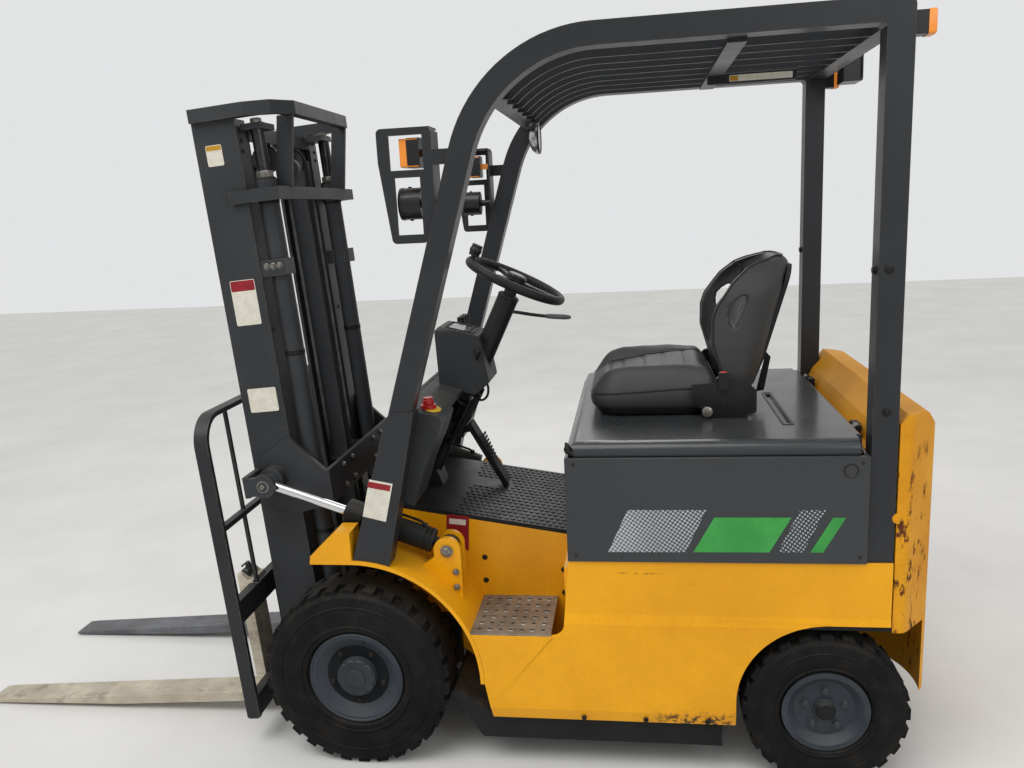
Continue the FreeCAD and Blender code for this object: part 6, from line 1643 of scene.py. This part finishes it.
@dataclass
class Lamps:
    """Head, turn and rear lamps with lenses and bezels."""

    head: tuple[float, float, float] = (462.0, 241.0, 1728.0)

    def build(self) -> None:
        """Dresses the housings and adds lenses and bezels."""
        dress("work_lamps", LAMP, 1.6)
        dress("turn_lamps", AMBER, 2.0)
        dress("rear_lamps", LAMP, 1.6)
        for side, sign in (("left", 1), ("right", -1)):
            self.head_lamp(side, sign)
            self.turn_lamp(side, sign)
            self.rear_lamp(side, sign)
        self.rear_work_lamp()

    def head_lamp(self, side: str, sign: int) -> None:
        """The bezel, its two screws and the lens of a round head lamp.

        Args:
            side: left or right.
            sign: 1 on the left, -1 on the right.
        """
        x, y, z = self.head
        form = Form()
        bezel = [(y + 8, 44.6), (y + 1, 45.4), (y - 3, 44.2), (y - 4, 41), (y - 1, 38), (y + 3, 38)]
        form.turned(bezel, Axis.Y, (sign * x, 0, z), 48, loop=True)
        for rise in (-36, 36):
            form.bolt((sign * x, y + 24, z + rise * 1.2), (0, 0, 1 if rise > 0 else -1), 5, 4)
        form.piece(f"head_bezel_{side}", "chassis", LAMP)
        form = Form()
        lens = [(y + 1, 39), (y - 2, 36), (y - 4.5, 28), (y - 6.5, 16), (y - 7, 0)]
        form.turned(lens, Axis.Y, (sign * x, 0, z), 48)
        form.piece(f"head_lens_{side}", "chassis", CLEAR)

    def turn_lamp(self, side: str, sign: int) -> None:
        """The black back and screws of a turn lamp.

        Args:
            side: left or right.
            sign: 1 on the left, -1 on the right.
        """
        form = Form()
        low, high = sorted((sign * 434, sign * 508))
        form.prism(rounded((low, 1824), (high, 1904), 12), Axis.Y, 274, 309)
        for z in (1834, 1894):
            form.turned([(253, 0), (253, 4), (251.6, 3.6), (251.2, 0)], Axis.Y, (sign * 471, 0, z), 12)
        form.piece(f"turn_back_{side}", "chassis", LAMP)

    def rear_lamp(self, side: str, sign: int) -> None:
        """The frame of a rear lamp.

        Args:
            side: left or right.
            sign: 1 on the left, -1 on the right.
        """
        form = Form()
        low, high = sorted((sign * 476, sign * 526))
        form.prism(rounded((low, 2066), (high, 2126), 6), Axis.Y, 1604, 1621)
        form.prism(rounded((low + 3, 2069), (high - 3, 2123), 5), Axis.Y, 1620, 1623.5)
        form.piece(f"rear_lamp_lens_{side}", "chassis", AMBER)

    def rear_work_lamp(self) -> None:
        """The lens and frame of the lamp that lights the ground behind."""
        form = Form()
        outer = rounded((-398, 2067), (-302, 2156), 8)
        inner = rounded((-392, 2073), (-308, 2150), 6)
        form.prism(outer, Axis.Y, 1650, 1660, [inner])
        form.piece("rear_work_frame", "chassis", LAMP)
        form = Form()
        form.prism(rounded((-393, 2072), (-307, 2151), 6), Axis.Y, 1652, 1658.4)
        form.piece("rear_work_lens", "chassis", CLEAR)


@dataclass
class Mirror:
    """The round mirror under the roof."""

    centre: tuple[float, float, float] = (-390.0, 545.0, 1950.0)
    radius: float = 52.0

    def build(self) -> None:
        """Dresses the shell and sets the glass in it."""
        dress("mirror", SILVERED, 1.2)
        x, y, z = self.centre
        form = Form()
        glass = [(y - 1, self.radius), (y + 1.4, self.radius - 1), (y + 2.4, 26), (y + 2.8, 0)]
        form.turned(glass, Axis.Y, (x, 0, z), 48)
        form.piece("mirror_glass", "chassis", SILVERED)
        form = Form()
        rim = [(y - 2, 56.5), (y + 3, 56.5), (y + 4.4, 54), (y + 3.4, 51.4), (y, 51)]
        form.turned(rim, Axis.Y, (x, 0, z), 48, loop=True)
        form.piece("mirror_rim", "chassis", LAMP)


@dataclass
class Controls:
    """The cowl with levers, pedal and stop switch."""

    levers: tuple[float, ...] = (-125.0, -167.0, -209.0)

    def build(self) -> None:
        """Dresses the cowl and its controls and adds knobs, boots and ribs."""
        dress("cowl", COWL, 4.0)
        dress("controls", BLACK, 0.8)
        self.knobs()
        self.pedal_pad()
        self.switch()
        self.cowl_seams()

    def knobs(self) -> None:
        """Grips with a waist and rubber boots on the three levers."""
        form = Form()
        for x in self.levers:
            grip = [(1282, 7), (1284, 11.5), (1296, 14.4), (1312, 15), (1324, 13.6), (1330, 9), (1331.4, 0)]
            form.turned(grip, Axis.Z, (x, 265, 0), 28)
            boot = []
            for step in range(7):
                boot += [(1112 + 6.4 * step, 19 - 1.7 * step), (1115 + 6.4 * step, 21.5 - 1.9 * step)]
            boot += [(1157, 6.3)]
            form.turned(boot, Axis.Z, (x, 265, 0), 28)
        form.piece("lever_grips", "chassis", PLASTIC)

    def pedal_pad(self) -> None:
        """The ribbed rubber pad on the long pedal."""
        form = Form()
        top, foot = Vector((0, 327, 917)), Vector((0, 406, 722))
        run = (foot - top).normalized()
        out = Vector((0, -run.z, run.y)) * -1
        if out.z < 0:
            out = -out
        for number in range(15):
            centre = top + run * (14 * number + 8)
            form.moved(Matrix(((1, 0, 0, -62), (0, run.y, out.y, centre.y), (0, run.z, out.z, centre.z), (0, 0, 0, 1))))
            form.box((-30, -4.2, 4), (30, 4.2, 9.5), 1.6)
        form.moved(Matrix.Identity(4))
        form.piece("pedal_ribs", "chassis", SEAL_AND_HOLE_SHADE)

    def switch(self) -> None:
        """The yellow collar and red mushroom of the stop switch."""
        form = Form()
        collar = [(1111, 0), (1111, 37), (1115, 38.5), (1120, 36.4), (1122, 22), (1122, 0)]
        form.turned(collar, Axis.Z, (400, 257, 0), 40)
        form.piece("switch_collar", "chassis", SWITCH_YELLOW)
        form = Form()
        knob = [(1121, 11), (1130, 11), (1133, 16), (1139, 17.5), (1147, 16.5), (1152, 12), (1154, 6), (1154.5, 0)]
        form.turned(knob, Axis.Z, (400, 257, 0), 40)
        form.piece("switch_knob", "chassis", RED)

    def cowl_seams(self) -> None:
        """Screws on the cowl's face."""
        form = Form()
        for sign in (1, -1):
            for z in (760, 940, 1090):
                y = 60 + 0.2556 * (z - 690)
                form.turned([(y + 1, 0), (y + 1, 6), (y - 1.6, 5.2), (y - 2.0, 0)], Axis.Y, (sign * 250, 0, z), 14)
        form.piece("cowl_screws", "chassis", PLASTIC)


@dataclass
class Pod:
    """The display pod on the column, with keys, ribs, linkage and a cable loop."""

    front: tuple[float, float] = (229.0, 1326.0)
    rear: tuple[float, float] = (365.0, 1290.0)

    def build(self) -> None:
        """Dresses the pod and the column and adds what is on them."""
        dress("display", COWL, 3.0)
        dress("steering_column", PLASTIC, 1.0)
        dress("column_foot", PLASTIC, 1.5)
        self.keys()
        self.linkage()
        self.direction_lever()
        self.lock_lever()

    def surface(self) -> Matrix:
        """The frame of the pod's sloping top, X across, Y down the slope, Z out."""
        start, end = Vector((0, *self.front)), Vector((0, *self.rear))
        run = (end - start).normalized()
        out = Vector((1, 0, 0)).cross(run)
        return Matrix((
            (1, 0, 0, 0),
            (0, run.y, out.y, start.y),
            (0, run.z, out.z, start.z),
            (0, 0, 0, 1),
        ))

    def keys(self) -> None:
        """The screen's frame, the keys and the ribs on the pod's top."""
        place = TRUCK @ self.surface()
        form = Form()
        outer = rounded((-66, 16), (66, 118), 10)
        inner = rounded((-60, 22), (60, 112), 8)
        form.prism(outer, Axis.Z, -0.6, 3.2, [inner])
        for number in range(5):
            form.box((-50 + 20 * number, 92, -0.5), (-36 + 20 * number, 104, 3.0), 1.6)
        for number in range(4):
            form.box((-76, 34 + 16 * number, -0.5), (-69, 42 + 16 * number, 2.2), 1.0)
            form.box((69, 34 + 16 * number, -0.5), (76, 42 + 16 * number, 2.2), 1.0)
        form.piece("pod_keys", "chassis", PLASTIC, place)
        form = Form()
        form.prism(rounded((-50, 30), (50, 82), 4), Axis.Z, -0.4, 1.4)
        form.piece("pod_screen", "chassis", GLASS_DARK, place)

    def linkage(self) -> None:
        """The brackets, links, bolts and cable loop under the pod."""
        form = Form()
        cheek = [(228, 900), (292, 968), (352, 1080), (330, 1104), (262, 1112), (226, 1080), (204, 985)]
        slot = [(246, 985), (262, 988), (300, 1060), (284, 1070), (252, 1040)]
        for sign in (1, -1):
            form.prism(cheek, Axis.X, sign * 40, sign * 45, [slot])
        form.tube([(-44, 250, 1092), (44, 250, 1092)], 7, 12)
        form.tube([(-44, 318, 1066), (44, 318, 1066)], 7, 12)
        form.tube(smoothed([(52, 250, 1092), (52, 296, 1046), (52, 352, 1082)], 5), 6, 10)
        form.tube(smoothed([(56, 232, 910), (58, 262, 960), (56, 318, 1066)], 5), 9, 12)
        coil = []
        for step in range(90):
            turn = step * 0.7
            along = step / 89
            coil.append((56 + 12 * math.cos(turn), 236 + 60 * along + 6 * math.sin(turn), 915 + 96 * along + 10 * math.sin(turn)))
        form.tube(coil, 1.8, 6)
        form.piece("pod_brackets", "chassis", BLACK)
        form = Form()
        for y, z in ((250, 1092), (318, 1066), (240, 930)):
            form.bolt((46, y, z), (1, 0, 0), 9, 8)
            form.bolt((-46, y, z), (-1, 0, 0), 9, 8)
        form.piece("pod_bolts", "chassis", BRIGHT)
        form = Form()
        loop = [(34, 366, 1128), (46, 380, 1110), (48, 376, 1078), (44, 354, 1062), (36, 330, 1078), (30, 318, 1100)]
        form.tube(smoothed(loop, 6), 4.2, 8)
        form.piece("column_cables", "chassis", SEAL_AND_HOLE_SHADE)

    def direction_lever(self) -> None:
        """The grey lever that picks forward or reverse, behind the column."""
        form = Form()
        stalk = [(-14, 438, 1362), (-40, 486, 1350), (-66, 530, 1338), (-86, 578, 1328)]
        form.tube(smoothed(stalk, 6), 6.0, 12)
        form.piece("direction_stalk", "chassis", GREY)
        form = Form()
        rings = []
        for along, wide, high in ((574, 5, 5), (580, 10, 8), (600, 13, 9), (640, 14, 9), (656, 11, 7), (662, 4, 3)):
            centre = Vector((-84 - (along - 574) * 0.16, along, 1329 - (along - 574) * 0.1))
            rings.append([
                centre + Vector((wide * math.cos(a), 0, high * math.sin(a)))
                for a in (2 * math.pi * step / 20 for step in range(20))
            ])
        form.rings(rings)
        form.piece("direction_grip", "chassis", GRIP_GREY)

    def lock_lever(self) -> None:
        """The small lever that locks the column's tilt, and its collar."""
        form = Form()
        collar = [(-318, 37), (-314, 40), (-304, 40), (-300, 37)]
        form.turned(collar, Axis.Z, (0, 0, 0), 40)
        form.turned([(-64, 36.6), (-62, 38), (-56, 36), (-52, 30), (-50, 22.4)], Axis.Z, (0, 0, 0), 40)
        form.tube(smoothed([(38, 4, -309), (58, 2, -305), (78, -6, -290), (92, -14, -268)], 5), 5.0, 10)
        form.turned([(0, 0), (0, 8), (4, 10), (18, 10), (22, 7), (23, 0)], Axis.Z, (93, -14, -272), 20)
        form.piece("tilt_lock", "chassis", PLASTIC, COLUMN)


@dataclass
class SteeringWheel:
    """The steering wheel with its finger ridges, horn cap and ball knob."""

    reach: float = 165.0

    def build(self) -> None:
        """Dresses the wheel and adds the cap, ridges and knob."""
        dress("steering_wheel", PLASTIC, 2.0)
        form = Form()
        cap = [(12, 33), (16, 33.5), (20, 31), (23, 24), (24.5, 12), (25, 0)]
        form.turned(cap, Axis.Z, (0, 0, 0), 40)
        ring = [(13.5, 34.4), (15, 36), (16.5, 34.4), (15, 33)]
        form.turned(ring, Axis.Z, (0, 0, 0), 40, loop=True)
        form.piece("horn_cap", "steering_wheel", LAMP, COLUMN)
        form = Form()
        for number in range(60):
            angle = 2 * math.pi * (number + 0.5) / 60
            middle = Vector((self.reach * math.cos(angle), self.reach * math.sin(angle), 0))
            out = middle.normalized()
            arc = []
            for step in range(9):
                turn = math.radians(95 + 170 * step / 8)
                arc.append(middle + (out * math.cos(turn) + Vector((0, 0, 1)) * math.sin(turn)) * 15.0)
            form.tube(arc, 1.1, 5)
        form.piece("rim_ridges", "steering_wheel", PLASTIC, COLUMN)
        form = Form()
        knob = [(12, 9), (24, 8), (26, 12), (31, 17), (38, 20), (46, 20.6), (53, 18), (59, 12.5), (62, 6), (62.6, 0)]
        form.turned(knob, Axis.Z, (40, -157, 0), 36)
        form.piece("ball_knob", "steering_wheel", LAMP, COLUMN)


@dataclass
class Seat:
    """The soft seat: a crowned cushion and a winged back with slits, made by moving grid points and subdivision."""

    half: float = 243.0
    long: tuple[float, float] = (737.0, 1133.0)
    foot: float = 1063.0
    seam: tuple = ((737, 1115), (772, 1119), (847, 1124), (1020, 1134), (1133, 1136))
    middle: tuple = ((737, 1118), (772, 1141), (919, 1172), (1076, 1190), (1133, 1182))
    side: tuple = ((724, 1158), (745, 1161), (780, 1181), (841, 1197), (1000, 1201), (1133, 1190))
    wing: tuple = (
        (1104, 1150), (1179, 1138), (1268, 1112), (1341, 1113), (1380, 1126),
        (1450, 1177), (1486, 1220), (1503, 1262), (1512, 1296), (1518, 1316),
    )
    back: tuple = ((1104, 1245), (1116, 1242), (1210, 1280), (1470, 1358), (1495, 1364), (1507, 1360), (1518, 1346))
    centre: tuple = (
        (1104, 1165), (1199, 1150), (1280, 1192), (1380, 1240), (1450, 1278), (1490, 1300), (1507, 1310), (1518, 1322),
    )
    slit: tuple = ((1167, 1319), (1164, 1379), (1202, 1409), (1218, 1408), (1209, 1371), (1180, 1312))
    low: float = 1106.0
    high: float = 1518.0
    rows: int = 52
    columns: int = 84
    channels: tuple[float, ...] = (1190.0, 1250.0, 1310.0, 1370.0, 1430.0)
    pleats: tuple[float, ...] = (835.0, 905.0, 975.0, 1045.0)

    def build(self) -> None:
        """Dresses the base and makes the cushion, the back and their small parts."""
        dress("seat_base", SHELL, 1.5)
        dress("seat_buckle", PLASTIC, 1.2)
        self.cushion()
        self.backrest()
        self.shell()
        self.pan()
        self.fittings()

    def pan(self) -> None:
        """The black tray that the cushion lies in."""
        form = Form()
        rings = []
        for inset, z in ((26, 1043.5), (12, 1047), (4, 1060), (0, 1070), (5, 1070), (12, 1060)):
            rings.append([(x, y, z) for x, y in rounded((-232 + inset, 752 + inset), (232 - inset, 1122 - inset), 60, 6)])
        form.rings(rings)
        form.piece("seat_pan_skirt", "hood", SHELL)

    def plan(self, u: float, v: float) -> tuple[float, float, float]:
        """A point of the cushion's plan and its distance from the edge.

        Args:
            u: Place across, -1 to 1.
            v: Place along, 0 in front to 1 at the rear.

        Returns:
            X, Y and the distance from the edge, in millimetres.
        """
        y0, y1 = self.long
        middle, reach = (y0 + y1) / 2, (y1 - y0) / 2
        x, y = u * self.half, (v * 2 - 1) * reach
        corner = 88.0 if v < 0.5 else 34.0
        dx, dy = abs(x) - (self.half - corner), abs(y) - (reach - corner)
        edge = min(self.half - abs(x), reach - abs(y))
        if dx > 0 and dy > 0:
            share = max(dx, dy) / math.hypot(dx, dy)
            x = math.copysign(self.half - corner + dx * share, x)
            y = math.copysign(reach - corner + dy * share, y)
        return x, middle + y, edge

    def crown(self, x: float, y: float, edge: float) -> float:
        """Height of the cushion's top at a point.

        Args:
            x: Place across.
            y: Place along.
            edge: Distance from the edge.

        Returns:
            The height in millimetres.
        """
        share = min(max((abs(x) - 118) / 74, 0.0), 1.0)
        share = share * share * (3 - 2 * share)
        top = between(y, self.middle) * (1 - share) + between(y, self.side) * share
        across = max(0.0, 1 - (x / 130) ** 2)
        top += 7.0 * across
        seam = between(y, self.seam)
        roll = 1 - (1 - min(edge / 58, 1.0)) ** 2.3
        height = seam + (top - seam) * roll
        insert = min(142 - abs(x), y - 792, 1100 - y)
        height -= 5.5 * math.exp(-((insert / 5.0) ** 2))
        if insert > 0:
            for pleat in self.pleats:
                height -= 4.6 * math.exp(-(((y - pleat) / 5.5) ** 2)) * min(insert / 8, 1.0)
        crease = noise.noise(Vector((x * 0.021, y * 0.034, 0.4)))
        return height + 1.6 * crease * min(edge / 30, 1.0)

    def cushion(self) -> None:
        """The cushion, with its insert, pleats, side seam and piping."""
        form = Form()
        wide, long = 74, 62
        grid = []
        for row in range(long + 1):
            for column in range(wide + 1):
                x, y, edge = self.plan(column / wide * 2 - 1, row / long)
                grid.append((x, y, self.crown(x, y, edge)))
        border = [column for column in range(wide)]
        border += [row * (wide + 1) + wide for row in range(long)]
        border += [long * (wide + 1) + column for column in range(wide, 0, -1)]
        border += [row * (wide + 1) for row in range(long, 0, -1)]
        middle = Vector((0, sum(self.long) / 2, 0))
        points = [Vector(point) for point in grid]
        faces = []
        for row in range(long):
            for column in range(wide):
                start = row * (wide + 1) + column
                faces.append([start, start + 1, start + wide + 2, start + wide + 1])
        ring = border
        rim = [points[number].copy() for number in border]
        for drop, out in ((0.05, -0.006), (0.12, 0.003), (0.32, 0.008), (0.55, 0.004), (0.75, -0.01), (0.9, -0.035), (1.0, -0.08)):
            first = len(points)
            for point in rim:
                place = middle + (point - middle) * (1 + out)
                sag = 1.0 + 0.15 * noise.noise(point * 0.02)
                place.z = point.z + (self.foot - point.z) * drop
                place.x += sag * 0.4
                points.append(place)
            fresh = list(range(first, first + len(border)))
            for spot in range(len(border)):
                nxt = (spot + 1) % len(border)
                faces.append([ring[spot], fresh[spot], fresh[nxt], ring[nxt]])
            ring = fresh
        under = dict(zip(border, ring))
        for row in range(1, long):
            for column in range(1, wide):
                spot = points[row * (wide + 1) + column]
                under[row * (wide + 1) + column] = len(points)
                points.append(Vector((spot.x * 0.92 + 0.4, middle.y + (spot.y - middle.y) * 0.92, self.foot)))
        for row in range(long):
            for column in range(wide):
                start = row * (wide + 1) + column
                faces.append([under[start], under[start + wide + 1], under[start + wide + 2], under[start + 1]])
        form.skin(points, faces)
        cushion = form.piece("cushion_cover", "hood", VINYL, sharp=80)
        self.soften(cushion)
        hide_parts("seat_cushion")
        form = Form()
        line = []
        for point in rim[::2]:
            place = middle + (point - middle) * 1.0
            place.z = point.z - 2.5
            line.append(place)
        form.tube(line, 3.4, 8, loop=True)
        for side in (-1, 1):
            seam = [(side * 142, y, self.crown(side * 142, y, 90) + 3.0) for y in range(794, 1099, 8)]
            form.tube(seam, 2.2, 6)
        front = [(x, 793, self.crown(x, 793, 56) + 2.6) for x in range(-140, 141, 8)]
        form.tube(front, 2.2, 6)
        form.piece("cushion_piping", "hood", PIPING)

    def soften(self, thing: bpy.types.Object) -> None:
        """Subdivides a soft piece once."""
        step = thing.modifiers.new("Soft", "SUBSURF")
        step.levels = 1
        step.render_levels = 1

    def width(self, z: float) -> float:
        """Half the width of the back at a height."""
        base = 235 if z <= 1262 else 235 - 22 * (z - 1262) / 265
        drop = z - (self.high + 2 - 130)
        if drop > 0:
            base -= 130 - math.sqrt(max(130**2 - drop**2, 0.0))
        rise = self.low + 24 - z
        if rise > 0:
            base -= 24 - math.sqrt(max(24**2 - rise**2, 0.0))
        return base

    def line(self, z: float, inner: bool) -> list[Vector]:
        """The back's outer or inner line at a height, finely.

        Args:
            z: The height.
            inner: Whether it is the side that the driver leans on.

        Returns:
            The points from left to right.
        """
        wing, reach = between(z, self.wing), self.width(z)
        depth = between(z, self.centre if inner else self.back) - wing
        reach -= 34 if inner else 0
        power = 0.72 if inner else 0.45
        fine = []
        for step in range(721):
            angle = math.pi * (step / 720 - 0.5)
            across = math.copysign(abs(math.sin(angle)) ** power, math.sin(angle))
            fine.append(Vector((reach * across, wing + depth * abs(math.cos(angle)) ** power, z)))
        return fine

    def spread(self, fine: list[Vector], count: int) -> list[Vector]:
        """Evenly spaced points on a fine line.

        Args:
            fine: The line.
            count: Parts that it is cut into.

        Returns:
            The points, ends included.
        """
        lengths = [0.0]
        for first, second in zip(fine, fine[1:]):
            lengths.append(lengths[-1] + (second - first).length)
        result, spot = [], 0
        for column in range(count + 1):
            want = lengths[-1] * column / count
            while spot < len(fine) - 2 and lengths[spot + 1] < want:
                spot += 1
            share = (want - lengths[spot]) / max(lengths[spot + 1] - lengths[spot], 1e-6)
            result.append(fine[spot].lerp(fine[spot + 1], min(max(share, 0.0), 1.0)))
        return result

    def sections(self, z: float) -> tuple[list[Vector], list[Vector]]:
        """Both lines at a height; in the wings their points lie straight across from each other.

        Args:
            z: The height.

        Returns:
            The outer and the inner points.
        """
        rear = self.spread(self.line(z, False), self.columns)
        fine = self.line(z, True)
        half = len(fine) // 2
        limit = fine[0].y + (fine[half].y - fine[0].y) * 0.93
        front: list[Vector] = []
        spot = 0
        for point in rear:
            if point.y > limit or point.x > 0:
                break
            while spot < half and fine[spot].y < point.y:
                spot += 1
            front.append(fine[spot].copy())
        wings = len(front)
        rest = self.spread(fine[spot : len(fine) - spot], self.columns - 2 * wings + 2)
        right = [Vector((-point.x, point.y, point.z)) for point in front]
        return rear, front + rest[1:-1] + right[::-1]

    def upholstery(self, point: Vector) -> Vector:
        """Moves a point of the leaning side for the pad, its channels and creases.

        Args:
            point: The point on the plain surface.

        Returns:
            The moved point.
        """
        moved = point.copy()
        x, z = point.x, point.z
        insert = min(138 - abs(x) + (z - 1320) * 0.06, z - 1140, 1490 - z)
        if insert > 0:
            moved.y -= 9.0 * min(insert / 26, 1.0) ** 0.5
            for channel in self.channels:
                moved.y += 4.8 * math.exp(-(((z - channel - 5 * (x / 138) ** 2) / 5.5) ** 2)) * min(insert / 8, 1.0)
        moved.y += 4.5 * math.exp(-((insert / 5.5) ** 2))
        moved.y += 1.5 * noise.noise(Vector((x * 0.022, 3.1, z * 0.03)))
        return moved

    def walled(self, form: Form, front: list, rear: list, kept: Callable[[int, int], bool]) -> None:
        """Two grids of as many points, closed along every edge of the kept cells.

        Args:
            form: The mesh under way.
            front: Rows of points of one side.
            rear: Rows of points of the other side.
            kept: Whether the cell at a row and column is there.
        """
        rows, columns = len(front) - 1, len(front[0]) - 1
        points = [point for row in front for point in row] + [point for row in rear for point in row]
        half = (rows + 1) * (columns + 1)
        faces = []
        for row in range(rows):
            for column in range(columns):
                if not kept(row, column):
                    continue
                a = row * (columns + 1) + column
                b, c, d = a + 1, a + columns + 2, a + columns + 1
                faces += [[a, b, c, d], [half + d, half + c, half + b, half + a]]
                for first, second, near in ((a, b, (row - 1, column)), (b, c, (row, column + 1)), (c, d, (row + 1, column)), (d, a, (row, column - 1))):
                    inside = 0 <= near[0] < rows and 0 <= near[1] < columns
                    if not inside or not kept(*near):
                        faces.append([second, first, half + first, half + second])
        form.skin(points, faces)

    def in_slit(self, y: float, z: float) -> bool:
        """Whether a point seen from the side lies in the wing's slit.

        Args:
            y: Place along the truck.
            z: Height.

        Returns:
            True inside the slit.
        """
        inside = False
        line = self.slit
        for (y0, z0), (y1, z1) in zip(line, line[1:] + line[:1]):
            if (z0 > z) != (z1 > z) and y < (y1 - y0) * (z - z0) / (z1 - z0) + y0:
                inside = not inside
        return inside

    def outline(self) -> list[Vector]:
        """The slit's rounded outline seen from the side, as fine points."""
        points = [Vector((y, z)) for y, z in self.slit]
        result = []
        for number, point in enumerate(points):
            before, after = points[number - 1], points[(number + 1) % len(points)]
            start, end = point.lerp(before, 0.38), point.lerp(after, 0.38)
            for step in range(9):
                t = step / 8
                result.append(start * (1 - t) ** 2 + point * 2 * t * (1 - t) + end * t**2)
        return result

    def backrest(self) -> None:
        """The winged back with its slits, pad and piping."""
        heights = [self.low + (self.high - self.low) * row / self.rows for row in range(self.rows + 1)]
        rear, front = [], []
        for z in heights:
            outer, inner = self.sections(z)
            rear.append(outer)
            front.append([self.upholstery(point) for point in inner])
        removed = set()
        for row in range(self.rows):
            for column in range(self.columns):
                middle = (rear[row][column] + rear[row + 1][column + 1]) / 2
                if abs(middle.x) > 150 and self.in_slit(middle.y, middle.z):
                    removed.add((row, column))
        edge = self.outline()
        for row in range(1, self.rows):
            for column in range(1, self.columns):
                near = [(row - a, column - b) in removed for a in (0, 1) for b in (0, 1)]
                if any(near) and not all(near):
                    here = Vector((rear[row][column].y, rear[row][column].z))
                    best = min(edge, key=lambda point: (point - here).length)
                    for grid in (rear, front):
                        grid[row][column].y = best.x
                        grid[row][column].z = best.y
        for line in rear:
            for point in line:
                if abs(point.x) < 176:
                    point.y -= 4.0 * min((176 - abs(point.x)) / 12, 1.0)
        form = Form()
        self.walled(form, front, rear, lambda row, column: (row, column) not in removed)
        cover = form.piece("back_cover", "hood", VINYL, sharp=80)
        self.soften(cover)
        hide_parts("seat_back")
        form = Form()
        rim = [rear[row][0] + Vector((-1, 1.5, 0)) for row in range(self.rows + 1)]
        top = [point + Vector((0, 0, 0.5)) for point in rear[-1][1:-1]]
        far = [rear[row][-1] + Vector((1, 1.5, 0)) for row in range(self.rows, -1, -1)]
        form.tube(rim + top + far, 3.2, 8)
        for side in (-1, 1):
            seam = []
            for number in range(36):
                z = 1144 + 342 * number / 35
                x = side * (138 + (z - 1320) * 0.06)
                near = min(self.line(z, True), key=lambda point: abs(point.x - x))
                seam.append((x, near.y - 1.0, z))
            form.tube(seam, 2.2, 6)
        form.piece("back_piping", "hood", PIPING)

    def shell(self) -> None:
        """The hard shell behind the back, with its sunk panel."""
        heights = [1128 + 364 * row / 30 for row in range(31)]
        outer, inner = [], []
        for z in heights:
            first, second = [], []
            end = 172 - max(0.0, (z - 1440) / 52) ** 2 * 40
            y = between(z, self.back)
            for column in range(31):
                x = end * (column / 15 - 1)
                fall = abs(x / 235) ** 2 * 6
                sunk = min(118 - abs(x), z - 1180, 1450 - z)
                dip = 7.0 * min(max(sunk / 9 + 0.5, 0.0), 1.0)
                first.append(Vector((x, y - fall - dip, z)))
                second.append(Vector((x, y - fall - 14, z)))
            outer.append(first)
            inner.append(second)
        form = Form()
        self.walled(form, inner, outer, lambda row, column: True)
        form.piece("back_shell", "hood", SHELL, sharp=50)

    def fittings(self) -> None:
        """Brackets, hinge covers, knobs and the buckle's button."""
        form = Form()
        bracket = [(1292, 1216), (1306, 1200), (1286, 1092), (1262, 1088)]
        for sign in (1, -1):
            form.prism(bracket, Axis.X, sign * 96, sign * 104)
            form.bolt((sign * 104, 1276, 1106), (sign, 0, 0), 7, 5)
        form.piece("back_brackets", "hood", BLACK)
        form = Form()
        cover = [(1049, 1148), (1122, 1153), (1149, 1171), (1222, 1157), (1234, 1121), (1210, 1034), (1112, 1034), (1050, 1101)]
        inner = [(1060, 1142), (1123, 1147), (1150, 1163), (1212, 1151), (1222, 1120), (1202, 1044), (1117, 1044), (1062, 1104)]
        for sign in (1, -1):
            points = [(sign * 262, y, z) for y, z in cover]
            form.rings([points, [(sign * 264.5, y, z) for y, z in cover], [(sign * 266.5, y, z) for y, z in inner]])
        form.piece("hinge_covers", "hood", SHELL)
        form = Form()
        for sign in (1, -1):
            knob = [(264, 0), (264, 16), (269, 17), (275, 16), (277, 13), (277.5, 0)]
            form.turned([(sign * along, radius) for along, radius in knob], Axis.X, (0, 1095, 1064), 24)
        form.piece("hinge_knobs", "hood", BRIGHT)
        form = Form()
        form.box((264, 1131, 1164), (280, 1155, 1188), 3)
        form.box((268, 1137, 1184), (276, 1149, 1190), 2)
        form.piece("buckle_button", "hood", RED)


def main() -> None:
    """Builds the scene piece by piece."""
    logging.basicConfig(level=logging.INFO, format="%(message)s")
    parts = (
        Studio(), CameraRig(), Wheels(), Mast(), LiftChains(), Carriage(), TiltCylinders(), Chassis(), BatteryBox(),
        Hood(), Counterweight(), Guard(), Lamps(), Mirror(), Controls(), Pod(), SteeringWheel(), Seat(),
    )
    for part in parts:
        LOG.info("building %s", type(part).__name__)
        part.build()


if __name__ == "__main__":
    main()
